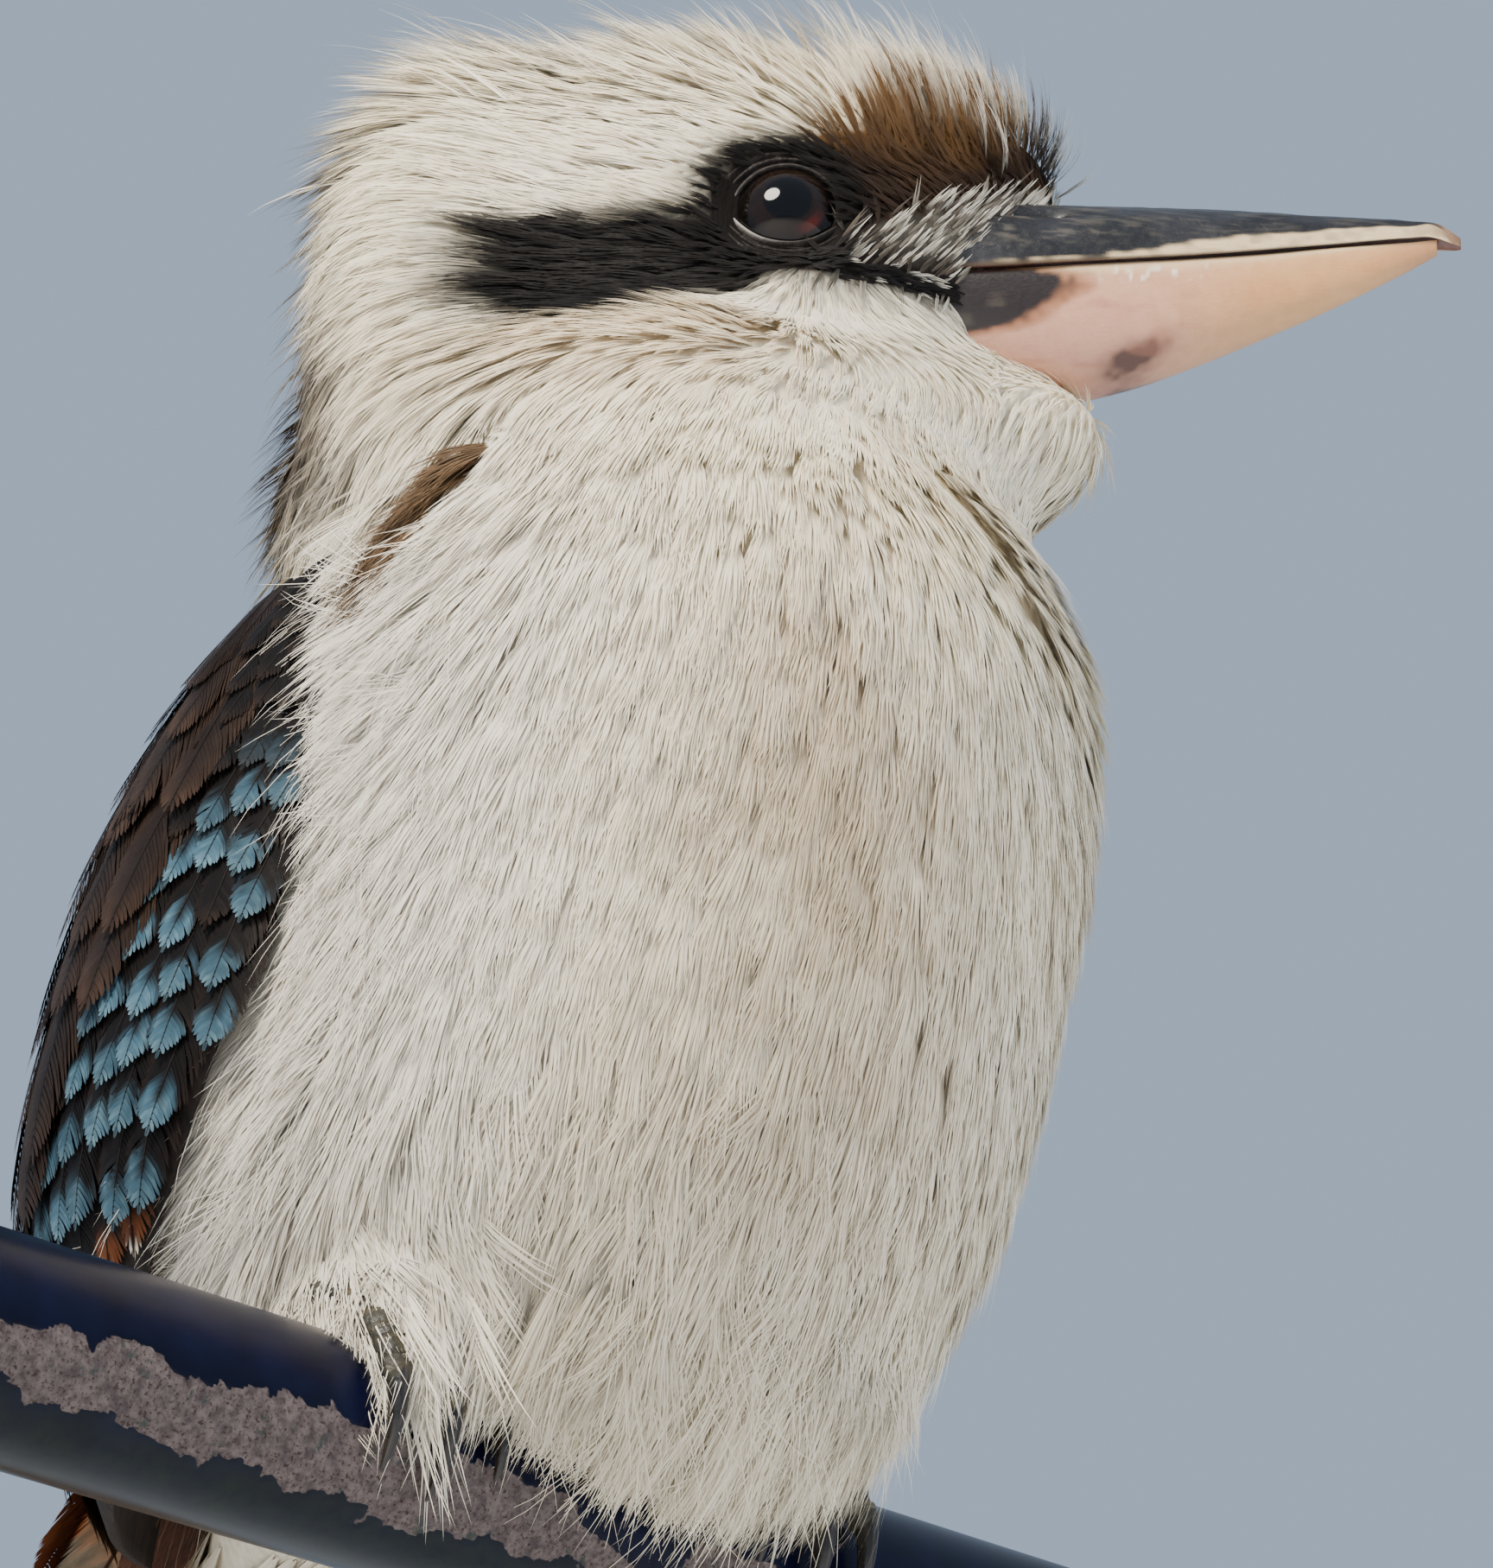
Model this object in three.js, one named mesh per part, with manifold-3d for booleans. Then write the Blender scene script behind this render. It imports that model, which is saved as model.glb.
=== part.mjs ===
// A laughing kookaburra, life size, gripping a cut length of round rail that a plain display stand carries.
// Millimetres, +Z up. The rail runs along X, the bird's body faces -Y and its head is turned to its left (+X).
// The origin is the middle of the stand base's underside.
import * as THREE from "three";
import { mergeVertices } from "three/addons/utils/BufferGeometryUtils.js";
import Module from "manifold-3d";

const wasm = await Module();
wasm.setup();

// ---------- driving dimensions ----------
const RAIL_TOP = 320; // height of the rail's top above the floor
const RAIL_R = 14.5;
const RAIL_LENGTH = 300;
const GAP = 0.3; // between neighbouring pieces
const BASE = { x: 280, y: 220, z: 16, corner: 26, bevel: 3 };
const ROD = { r: 5, spacing: 236, footR: 13, footH: 5, cupR: 9, cupH: 16 };

const HEAD_TURN = 40; // degrees from straight ahead to the bird's left
const HEAD_AT = [0, -22, 172]; // middle of the skull above the rail's top
const EYE = { x: 12, y: 16.8, z: -7.3, r: 9.0 };

const BODY_GRID = 13.5,
  HEAD_GRID = 7.2;

// The back and folded wings: at each height, an ellipse with its middle at y, half width a and half depth b.
const BACK = {
  z: [-30, 0, 30, 60, 81, 101, 116, 135, 160],
  y: [28, 23, 20, 18, 14, 8, 3, -2, -8],
  a: [34, 52, 65, 65, 62, 57, 51, 43, 34],
  b: [50, 60, 66, 63, 60, 52, 46, 42, 32],
};
// The breast and belly in the same terms, with the middle at x, y.
const FRONT = {
  z: [-20, -6, 8, 22, 40, 60, 80, 100, 118, 135, 155],
  x: [0, 0, 0, -1, -2, -2, -2, -2, -3, -4, -4],
  y: [3, 1, 0, -3, -8, -13, -17, -20, -21, -19, -16],
  a: [20, 36, 47, 53, 56, 57, 57, 55, 50, 43, 38],
  b: [16, 33, 45, 52, 56, 58, 59, 56, 49, 42, 38],
};
// The folded wing on that ellipse: the angle of its front and back edges at each height, 0 at the side and 90 at the spine.
const WING = {
  top: 131,
  bottom: -8,
  depth: 4.6,
  z: [-8, 0, 20, 40, 70, 100, 120, 131],
  front: [54, 38, 9, -9, -13, -5, 5, 20],
  back: [72, 78, 85, 86, 86, 78, 62, 40],
};
// The bill along the head's length: ridge, cutting edge and keel heights, and half widths.
const BILL = {
  x: [24, 34, 44, 51, 60, 70, 80, 90, 99, 104, 106.4],
  ridge: [3.0, 2.8, 2.5, 2.2, 1.9, 1.4, 0.7, -0.1, -1.0, -1.9, -3.8],
  edge: [-14.0, -12.8, -11.8, -11.0, -10.0, -8.9, -7.6, -6.2, -4.9, -4.3, -4.4],
  half: [15.0, 13.8, 12.3, 11.0, 9.3, 7.5, 5.8, 4.1, 2.6, 1.5, 0.5],
  lowX: [24, 34, 44, 51, 60, 70, 80, 90, 98, 103],
  keel: [-22.0, -25.0, -26.6, -26.4, -24.6, -21.2, -17.2, -12.8, -8.9, -6.2],
  lowHalf: [14.0, 13.0, 11.6, 10.4, 8.8, 7.1, 5.4, 3.8, 2.2, 1.2],
};
const TAIL = {
  root: [0, 50, 42],
  slope: [0.625, -0.78], // along +Y and +Z
  from: 14,
  length: 168,
  s: [0, 0.25, 0.6, 0.9, 1],
  half: [14, 20, 26, 29, 26],
  ts: [0, 0.5, 1],
  thick: [5, 3, 1.2],
  arch: 5,
  notch: 10,
};
const FEET = [
  { side: "R", x: -43, inner: 1 },
  { side: "L", x: 27, inner: -1 },
];
// Each toe: distance along the rail from the foot's middle (+ towards the other foot), where it starts and ends round the rail in degrees (0 on top, + to the front), and its radii.
const TOES = [
  { name: "2", at: 7.2, spread: 3.5, to: 62, r0: 3.3, r1: 2.5 },
  { name: "3", at: 0.0, spread: 0.5, to: 80, r0: 3.6, r1: 2.7 },
  { name: "4", at: -6.6, spread: -1.6, to: 72, r0: 3.4, r1: 2.5 },
  { name: "1", at: 1.0, spread: 0.5, to: -66, r0: 3.6, r1: 2.7 },
];
const CLAW = { turn: 42, r: 1.75, tip: 0.45 };
const TOE_LIFT = 0.6; // daylight between a toe and the rail
const COAT_CLEAR = 1.1; // daylight between the feet and the coat's hem

// ---------- small maths ----------
const rad = THREE.MathUtils.degToRad;
const V = (x, y, z) => new THREE.Vector3(x, y, z);
const turn = rad(HEAD_TURN);
const HX = [Math.sin(turn), -Math.cos(turn), 0]; // where the bill points
const HL = [Math.cos(turn), Math.sin(turn), 0]; // the head's left
const headPoint = (x, y, z) => [
  HEAD_AT[0] + x * HX[0] + y * HL[0],
  HEAD_AT[1] + x * HX[1] + y * HL[1],
  HEAD_AT[2] + z,
];
// Smooth curve through the knots X, Y.
function along(x, X, Y) {
  const n = X.length;
  x = Math.min(Math.max(x, X[0]), X[n - 1]);
  let i = 0;
  while (i < n - 2 && x >= X[i + 1]) i++;
  const slope = (k) => {
    if (k === 0) return (Y[1] - Y[0]) / (X[1] - X[0]);
    if (k === n - 1) return (Y[k] - Y[k - 1]) / (X[k] - X[k - 1]);
    const h0 = X[k] - X[k - 1],
      h1 = X[k + 1] - X[k];
    return (
      (h0 * h0 * Y[k + 1] + (h1 * h1 - h0 * h0) * Y[k] - h1 * h1 * Y[k - 1]) /
      (h0 * h1 * (h0 + h1))
    );
  };
  const h = X[i + 1] - X[i],
    t = (x - X[i]) / h;
  return (
    (2 * t ** 3 - 3 * t * t + 1) * Y[i] +
    (t ** 3 - 2 * t * t + t) * h * slope(i) +
    (3 * t * t - 2 * t ** 3) * Y[i + 1] +
    (t ** 3 - t * t) * h * slope(i + 1)
  );
}

// ---------- distance fields ----------
function blend(a, b, k) {
  const h = Math.max(k - Math.abs(a - b), 0) / k;
  return Math.min(a, b) - h * h * k * 0.25;
}
function common(a, b, k) {
  const h = Math.max(k - Math.abs(a - b), 0) / k;
  return Math.max(a, b) + h * h * k * 0.25;
}
function ellipsoid(x, y, z, c, r) {
  const u = x - c[0],
    v = y - c[1],
    w = z - c[2];
  const k0 = Math.hypot(u / r[0], v / r[1], w / r[2]);
  const k1 = Math.hypot(u / r[0] ** 2, v / r[1] ** 2, w / r[2] ** 2);
  return (k0 * (k0 - 1)) / Math.max(k1, 1e-9);
}
function headEllipsoid(x, y, z, c, r) {
  const u = x - HEAD_AT[0],
    v = y - HEAD_AT[1];
  return ellipsoid(u * HX[0] + v * HX[1], u * HL[0] + v * HL[1], z - HEAD_AT[2], c, r);
}
function taper(x, y, z, a, b, r1, r2) {
  const ba = [b[0] - a[0], b[1] - a[1], b[2] - a[2]];
  const l2 = ba[0] ** 2 + ba[1] ** 2 + ba[2] ** 2,
    rr = r1 - r2,
    a2 = l2 - rr * rr,
    il2 = 1 / l2;
  const pa = [x - a[0], y - a[1], z - a[2]];
  const py = pa[0] * ba[0] + pa[1] * ba[1] + pa[2] * ba[2],
    pz = py - l2;
  const vx = pa[0] * l2 - ba[0] * py,
    vy = pa[1] * l2 - ba[1] * py,
    vz = pa[2] * l2 - ba[2] * py;
  const x2 = vx * vx + vy * vy + vz * vz,
    y2 = py * py * l2,
    z2 = pz * pz * l2,
    k = Math.sign(rr) * rr * rr * x2;
  if (Math.sign(pz) * a2 * z2 > k) return Math.sqrt(x2 + z2) * il2 - r2;
  if (Math.sign(py) * a2 * y2 < k) return Math.sqrt(x2 + y2) * il2 - r1;
  return (Math.sqrt(x2 * a2 * il2) + py * rr) * il2 - r1;
}
function sweptEllipse(x, y, z, T, cx, inset, lo, hi, k) {
  const a = along(z, T.z, T.a) - inset,
    b = along(z, T.z, T.b) - inset;
  const q = Math.hypot((x - cx) / a, (y - along(z, T.z, T.y)) / b);
  return common((q - 1) * Math.min(a, b), Math.max(z - hi, lo - z), k);
}
// The bird's whole coat, without wings, tail, bill and feet. Heights count from the rail's top.
function coat(x, y, z) {
  let d = sweptEllipse(x, y, z, FRONT, along(z, FRONT.z, FRONT.x), 0, -15, 150, 16);
  d = blend(d, sweptEllipse(x, y, z, BACK, 0, 7.5, 4, 140, 30), 9);
  d = blend(d, ellipsoid(x, y, z, [-5, 11, 131], [37, 32, 35]), 14); // mantle
  d = blend(d, taper(x, y, z, [0, 26, 24], [0, 66, -7], 32, 13), 16); // vent and undertail
  d = blend(d, ellipsoid(x, y, z, [-38, -2, 4], [16, 20, 17]), 9); // thighs
  d = blend(d, ellipsoid(x, y, z, [27, 2, 6], [17, 20, 17]), 10);
  d = blend(d, headEllipsoid(x, y, z, [-4, 0, -6], [45, 29, 34]), 14); // skull
  d = blend(d, headEllipsoid(x, y, z, [-32, 0, -12], [22, 27, 36]), 14); // nape
  d = blend(d, headEllipsoid(x, y, z, [29, 0, 4], [21, 12.5, 16]), 10); // forehead
  d = blend(d, taper(x, y, z, headPoint(9, 0, -12), headPoint(39, 0, -10), 23.5, 7.5), 8); // lores
  d = blend(d, headEllipsoid(x, y, z, [36, 0, -34], [20, 12.5, 12.5]), 8); // chin
  d = blend(d, headEllipsoid(x, y, z, [22, 0, -42], [24, 22, 20]), 12); // throat
  for (const s of [-1, 1])
    d = common(d, -headEllipsoid(x, y, z, [EYE.x + 1, s * 35, EYE.z], [15, 12.5, 13]), 5); // eye sockets
  return d;
}

// Naive surface nets: one vertex in each grid cell that the surface crosses.
function surface(field, lo, hi, h) {
  const n = lo.map((l, i) => Math.ceil((hi[i] - l) / h) + 1);
  const at = (i, j, k) => (i * n[1] + j) * n[2] + k;
  const F = new Float64Array(n[0] * n[1] * n[2]);
  for (let i = 0; i < n[0]; i++)
    for (let j = 0; j < n[1]; j++)
      for (let k = 0; k < n[2]; k++)
        F[at(i, j, k)] = field(lo[0] + h * i, lo[1] + h * j, lo[2] + h * k);
  const id = new Int32Array(F.length).fill(-1),
    points = [];
  for (let i = 0; i < n[0] - 1; i++)
    for (let j = 0; j < n[1] - 1; j++)
      for (let k = 0; k < n[2] - 1; k++) {
        const s = [0, 0, 0];
        let m = 0;
        for (let c = 0; c < 8; c++)
          for (let a = 0; a < 3; a++) {
            if ((c >> a) & 1) continue;
            const o = [c & 1, (c >> 1) & 1, (c >> 2) & 1],
              q = [...o];
            q[a] = 1;
            const A = F[at(i + o[0], j + o[1], k + o[2])],
              B = F[at(i + q[0], j + q[1], k + q[2])];
            if (A < 0 === B < 0) continue;
            o[a] += A / (A - B);
            for (let e = 0; e < 3; e++) s[e] += o[e];
            m++;
          }
        if (!m) continue;
        id[at(i, j, k)] = points.length;
        const p = [
          lo[0] + h * (i + s[0] / m),
          lo[1] + h * (j + s[1] / m),
          lo[2] + h * (k + s[2] / m),
        ];
        // one Newton step puts the vertex on the surface
        const e = 0.2,
          d = field(...p);
        const g = [0, 1, 2].map((a) => {
          const u = [...p],
            v = [...p];
          u[a] += e;
          v[a] -= e;
          return (field(...u) - field(...v)) / (2 * e);
        });
        const gg = Math.max(g[0] ** 2 + g[1] ** 2 + g[2] ** 2, 0.3),
          step = Math.max(-0.45 * h, Math.min(0.45 * h, d / gg));
        points.push(p.map((v, a) => v - step * g[a]));
      }
  const tri = [];
  const strides = [
    [1, 0, 0],
    [0, 1, 0],
    [0, 0, 1],
  ];
  for (let i = 1; i < n[0] - 1; i++)
    for (let j = 1; j < n[1] - 1; j++)
      for (let k = 1; k < n[2] - 1; k++)
        for (let a = 0; a < 3; a++) {
          const o = strides[a],
            A = F[at(i, j, k)] < 0,
            B = F[at(i + o[0], j + o[1], k + o[2])] < 0;
          if (A === B) continue;
          const b = strides[(a + 1) % 3],
            c = strides[(a + 2) % 3];
          const v = (p, q) =>
            id[at(i - p * b[0] - q * c[0], j - p * b[1] - q * c[1], k - p * b[2] - q * c[2])];
          let Q = [v(1, 1), v(0, 1), v(0, 0), v(1, 0)];
          if (!A) Q.reverse();
          const len = (m, w) =>
            (points[m][0] - points[w][0]) ** 2 +
            (points[m][1] - points[w][1]) ** 2 +
            (points[m][2] - points[w][2]) ** 2;
          if (len(Q[0], Q[2]) <= len(Q[1], Q[3])) tri.push(Q[0], Q[1], Q[2], Q[0], Q[2], Q[3]);
          else tri.push(Q[1], Q[2], Q[3], Q[1], Q[3], Q[0]);
        }
  return geometryOf(points, tri);
}
function geometryOf(points, tri) {
  const g = new THREE.BufferGeometry();
  g.setAttribute("position", new THREE.BufferAttribute(new Float32Array(points.flat()), 3));
  g.setIndex(tri);
  return g;
}

// ---------- solids ----------
function solid(geometry) {
  const g = geometry.clone();
  g.deleteAttribute("normal");
  g.deleteAttribute("uv");
  const m = mergeVertices(g, 1e-4);
  return new wasm.Manifold(
    new wasm.Mesh({
      numProp: 3,
      vertProperties: new Float32Array(m.attributes.position.array),
      triVerts: new Uint32Array(m.index.array),
    }),
  );
}
// The largest body of a solid, as a geometry.
function largest(s) {
  return s.decompose().reduce((a, b) => (b.volume() > a.volume() ? b : a));
}
// Its corners are snapped to a fine grid, and the faces that close up there are dropped.
function back(s) {
  const m = s.getMesh();
  for (const grid of [0.02, 0.01, 0.04, 0.005]) {
    const v = [],
      seen = new Map(),
      id = [];
    for (let i = 0; i < m.numVert; i++) {
      const p = [...m.vertProperties.subarray(i * m.numProp, i * m.numProp + 3)].map(
        (c) => Math.round(c / grid) * grid,
      );
      const key = p.map((c) => Math.round(c / grid)).join();
      if (!seen.has(key)) {
        seen.set(key, v.length);
        v.push(p);
      }
      id.push(seen.get(key));
    }
    const tri = [];
    for (let i = 0; i < m.triVerts.length; i += 3) {
      const [a, b, c] = [id[m.triVerts[i]], id[m.triVerts[i + 1]], id[m.triVerts[i + 2]]];
      if (a !== b && b !== c && a !== c) tri.push(a, b, c);
    }
    const edges = new Map();
    for (let i = 0; i < tri.length; i += 3)
      for (let k = 0; k < 3; k++) {
        const a = tri[i + k],
          b = tri[i + ((k + 1) % 3)],
          key = a < b ? a + "," + b : b + "," + a;
        edges.set(key, (edges.get(key) ?? 0) + 1);
      }
    if ([...edges.values()].every((n) => n === 2)) return geometryOf(v, tri);
  }
  throw new Error("a solid stays open after snapping");
}
// A block on one side of a plane: below is true for the side against the normal.
function halfSpace(point, normal, below, shift = 0) {
  const size = 600;
  const g = new THREE.BoxGeometry(size, size, size);
  g.translate(0, 0, below ? -size / 2 : size / 2);
  const q = new THREE.Quaternion().setFromUnitVectors(V(0, 0, 1), V(...normal).normalize());
  g.applyQuaternion(q);
  const n = V(...normal).normalize();
  g.translate(point[0] + n.x * shift, point[1] + n.y * shift, point[2] + n.z * shift);
  return solid(g);
}
// Closed skin over rings of equal length, with flat ends fanned from their middle.
function skinned(rings, closedEnds = true) {
  const m = rings.length,
    n = rings[0].length,
    points = rings.flat(),
    tri = [];
  for (let i = 0; i < m - 1; i++)
    for (let j = 0; j < n; j++) {
      const k = (j + 1) % n,
        a = i * n + j,
        b = (i + 1) * n + j,
        c = (i + 1) * n + k,
        d = i * n + k;
      tri.push(a, b, c, a, c, d);
    }
  if (closedEnds)
    for (const [r, flip] of [
      [0, false],
      [m - 1, true],
    ]) {
      const mid = [0, 1, 2].map((e) => rings[r].reduce((s, p) => s + p[e], 0) / n);
      points.push(mid);
      const c = points.length - 1;
      for (let j = 0; j < n; j++) {
        const k = (j + 1) % n;
        if (flip) tri.push(c, r * n + k, r * n + j);
        else tri.push(c, r * n + j, r * n + k);
      }
    }
  return geometryOf(points, tri);
}
// Turns the skin over if it faces inwards.
function facingOut(g) {
  const s = solid(g);
  if (s.volume() > 0) return s;
  const i = g.index.array;
  for (let k = 0; k < i.length; k += 3) [i[k + 1], i[k + 2]] = [i[k + 2], i[k + 1]];
  return solid(g);
}

// Folded wing: a curved leaf that lies on the back's ellipse.
function wingLeaf(side, grow = 0, outward = 0) {
  const rows = 12,
    cols = 6,
    rings = [];
  for (let i = 0; i < rows; i++) {
    const z = WING.top + grow + (WING.bottom - WING.top - 2 * grow) * (i / (rows - 1));
    const f = along(z, WING.z, WING.front),
      e = along(z, WING.z, WING.back);
    const a = along(z, BACK.z, BACK.a),
      b = along(z, BACK.z, BACK.b),
      c = along(z, BACK.z, BACK.y);
    const extra = grow / a / rad(1);
    const at = (t, off) => {
      const p = rad(f - extra + (e - f + 2 * extra) * t);
      return [side * (a + off) * Math.cos(p), c + (b + off) * Math.sin(p), z];
    };
    const depth = (t) => WING.depth * (0.3 + 0.7 * (1 - Math.abs(2 * t - 1) ** 4)) + 2 * grow;
    const ring = [];
    for (let j = 0; j < cols; j++) ring.push(at(j / (cols - 1), grow + outward));
    for (let j = cols - 1; j >= 0; j--) ring.push(at(j / (cols - 1), grow - depth(j / (cols - 1))));
    rings.push(ring);
  }
  return facingOut(skinned(rings));
}
function tailFan(grow = 0, above = 0, below = 0) {
  const rows = 8,
    cols = 7,
    rings = [];
  const d = V(0, TAIL.slope[0], TAIL.slope[1]).normalize(),
    n = V(0, -d.z, d.y); // towards the back's side
  for (let i = 0; i < rows; i++) {
    const s = TAIL.from / TAIL.length + (1 - TAIL.from / TAIL.length) * (i / (rows - 1));
    const w = along(s, TAIL.s, TAIL.half) + grow,
      th = along(s, TAIL.ts, TAIL.thick);
    const at = (t, sign) => {
      const len = TAIL.length * s - (3 + TAIL.notch * t * t) * s + (i === rows - 1 ? grow : i === 0 ? -grow : 0);
      const off = -TAIL.arch * s * t * t + sign * (th * (1 - 0.6 * t * t) + grow) + (sign > 0 ? above : -below);
      return [
        TAIL.root[0] + w * t,
        TAIL.root[1] + d.y * len + n.y * off,
        TAIL.root[2] + d.z * len + n.z * off,
      ];
    };
    const ring = [];
    for (let j = 0; j < cols; j++) ring.push(at(-1 + (2 * j) / (cols - 1), 1));
    for (let j = cols - 1; j >= 0; j--) ring.push(at(-1 + (2 * j) / (cols - 1), -1));
    rings.push(ring);
  }
  return facingOut(skinned(rings));
}
// Upper (u) or lower (l) half of the bill, as rings along the head's length.
function billHalf(part, grow = 0) {
  const rows = 14,
    cols = 9,
    rings = [];
  const end = part === "u" ? BILL.x.at(-1) : BILL.lowX.at(-1);
  for (let i = 0; i < rows; i++) {
    const x = BILL.x[0] + (end - BILL.x[0]) * Math.pow(i / (rows - 1), 0.9);
    const edge = along(x, BILL.x, BILL.edge);
    const w = (part === "u" ? along(x, BILL.x, BILL.half) : along(x, BILL.lowX, BILL.lowHalf)) + grow;
    const top = part === "u" ? along(x, BILL.x, BILL.ridge) + grow : along(x, BILL.lowX, BILL.keel) - grow;
    const from = part === "u" ? edge - grow + GAP / 2 : edge + grow - GAP / 2;
    const ring = [];
    for (let j = 0; j < cols; j++) {
      const a = (Math.PI * j) / (cols - 1);
      ring.push(
        headPoint(
          x + (i === 0 ? -grow : i === rows - 1 ? grow : 0),
          w * Math.sign(Math.cos(a)) * Math.abs(Math.cos(a)) ** 0.8,
          from + (top - from) * Math.max(Math.sin(a), 0) ** 0.9,
        ),
      );
    }
    rings.push(ring);
  }
  return facingOut(skinned(rings));
}
function ball(c, r, w = 12, h = 8) {
  const g = new THREE.SphereGeometry(r, w, h);
  g.rotateX(Math.PI / 2);
  g.translate(...c);
  return solid(g);
}
// A toe's middle line round the rail: angle in degrees from the top towards the front.
function roundRail(x, angle, r) {
  const a = rad(angle);
  return [x, -r * Math.sin(a), -RAIL_R + r * Math.cos(a)];
}
function toePoint(foot, toe, t, grow = 0) {
  const r = toe.r0 + (toe.r1 - toe.r0) * t;
  const start = toe.to > 0 ? 6 : -8;
  return {
    p: roundRail(
      foot.x + foot.inner * (toe.at + toe.spread * t),
      start + (toe.to - start) * t,
      RAIL_R + TOE_LIFT + r,
    ),
    r: r + grow,
  };
}
// One toe: rings round its middle line, with swellings at the joints and a domed end.
function toeFlesh(foot, toe, grow) {
  const rows = 4,
    sides = 6,
    rings = [];
  const sign = Math.sign(toe.to);
  for (let i = 0; i <= rows + 1; i++) {
    const t = Math.min(i / rows, 1);
    const { r } = toePoint(foot, toe, t);
    const knuckle = 1 + 0.06 * Math.cos(t * Math.PI * 6);
    const radius = r * knuckle * (i > rows ? 0.55 : 1) + grow;
    const start = sign > 0 ? 4 : -6;
    const angle = start + (toe.to - start) * t + (i > rows ? sign * (4.5 + grow * 3.5) : i === 0 ? -sign * grow * 3.5 : 0);
    const c = roundRail(foot.x + foot.inner * (toe.at + toe.spread * t), angle, RAIL_R + TOE_LIFT + r);
    const out = [-Math.sin(rad(angle)), Math.cos(rad(angle))];
    const ring = [];
    for (let j = 0; j < sides; j++) {
      const b = (2 * Math.PI * (j + 0.5)) / sides;
      ring.push([
        c[0] + radius * Math.cos(b),
        c[1] + out[0] * radius * Math.sin(b),
        c[2] + out[1] * radius * Math.sin(b),
      ]);
    }
    rings.push(ring);
  }
  return facingOut(skinned(rings));
}
// Shank from the sole up into the belly's coat.
function shank(foot, grow) {
  const from = [foot.x, 1.5, 6.0],
    to = [foot.x, 13, 26],
    sides = 7,
    rings = [];
  const d = V(to[0] - from[0], to[1] - from[1], to[2] - from[2]).normalize(),
    n = V(0, -d.z, d.y);
  for (let i = 0; i <= 2; i++) {
    const t = i / 2 + ((i - 1) * grow) / 22,
      r = 4.6 - 1.1 * Math.sin(Math.PI * Math.min((i / 2) * 1.2, 1)) * 0.8 + grow;
    const ring = [];
    for (let j = 0; j < sides; j++) {
      const b = (2 * Math.PI * j) / sides;
      ring.push([
        from[0] + r * 0.85 * Math.cos(b),
        from[1] + (to[1] - from[1]) * t + n.y * r * Math.sin(b),
        from[2] + (to[2] - from[2]) * t + n.z * r * Math.sin(b),
      ]);
    }
    rings.push(ring);
  }
  return facingOut(skinned(rings));
}
function footFlesh(foot, grow) {
  const sole = new THREE.SphereGeometry(1, 7, 4);
  sole.rotateX(Math.PI / 2);
  sole.scale(9 + grow, 6 + grow, 3.6 + grow);
  sole.translate(foot.x, 0, 4.3);
  let s = solid(sole).add(shank(foot, grow));
  for (const toe of TOES) s = s.add(toeFlesh(foot, toe, grow));
  return s;
}
// A curved claw that carries on round the rail from the toe's end.
function clawHorn(foot, toe, grow = 0) {
  const sign = Math.sign(toe.to),
    rows = 5,
    cols = 6,
    rings = [];
  const x = foot.x + foot.inner * (toe.at + toe.spread);
  for (let i = 0; i < rows; i++) {
    const t = i / (rows - 1);
    const r = CLAW.r + (CLAW.tip - CLAW.r) * t + grow;
    const a = toe.to + sign * (2 + CLAW.turn * t + (2 * t - 1) * grow * 3.5);
    const lift = RAIL_R + TOE_LIFT + toe.r1 + 0.8 - 1.7 * t;
    const c = roundRail(x, a, Math.max(lift, RAIL_R + TOE_LIFT + r + 0.1));
    const out = [0, -Math.sin(rad(a)), Math.cos(rad(a))];
    const ring = [];
    for (let j = 0; j < cols; j++) {
      const b = (2 * Math.PI * j) / cols;
      ring.push([
        c[0] + r * 0.8 * Math.cos(b),
        c[1] + out[1] * r * Math.sin(b),
        c[2] + out[2] * r * Math.sin(b),
      ]);
    }
    rings.push(ring);
  }
  return facingOut(skinned(rings));
}
function railSolid(grow = 0) {
  const L = RAIL_LENGTH / 2 + grow,
    r = RAIL_R + grow,
    c = 1.5;
  const g = new THREE.LatheGeometry(
    [
      new THREE.Vector2(0, -L),
      new THREE.Vector2(r - c, -L),
      new THREE.Vector2(r, -L + c),
      new THREE.Vector2(r, L - c),
      new THREE.Vector2(r - c, L),
      new THREE.Vector2(0, L),
    ],
    28,
  );
  g.rotateZ(-Math.PI / 2);
  g.translate(0, 0, -RAIL_R);
  return facingOut(mergeVertices(strip(g), 1e-3));
}
function strip(g) {
  g.deleteAttribute("normal");
  g.deleteAttribute("uv");
  return g;
}
function rodSolid(x) {
  const foot = BASE.z + GAP - RAIL_TOP,
    top = -RAIL_R;
  const p = [
    [0, foot],
    [ROD.footR, foot],
    [ROD.footR, foot + ROD.footH - 1],
    [ROD.footR - 1, foot + ROD.footH],
    [ROD.r + 2, foot + ROD.footH + 1],
    [ROD.r, foot + ROD.footH + 4],
    [ROD.r, top - RAIL_R - ROD.cupH + 4],
    [ROD.cupR, top - RAIL_R - ROD.cupH + 12],
    [ROD.cupR, top - RAIL_R + 5],
    [0, top - RAIL_R + 5],
  ].map(([r, z]) => new THREE.Vector2(r, z));
  const g = new THREE.LatheGeometry(p, 16);
  g.rotateX(Math.PI / 2);
  g.translate(x, 0, 0);
  return facingOut(mergeVertices(strip(g), 1e-3));
}
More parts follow.
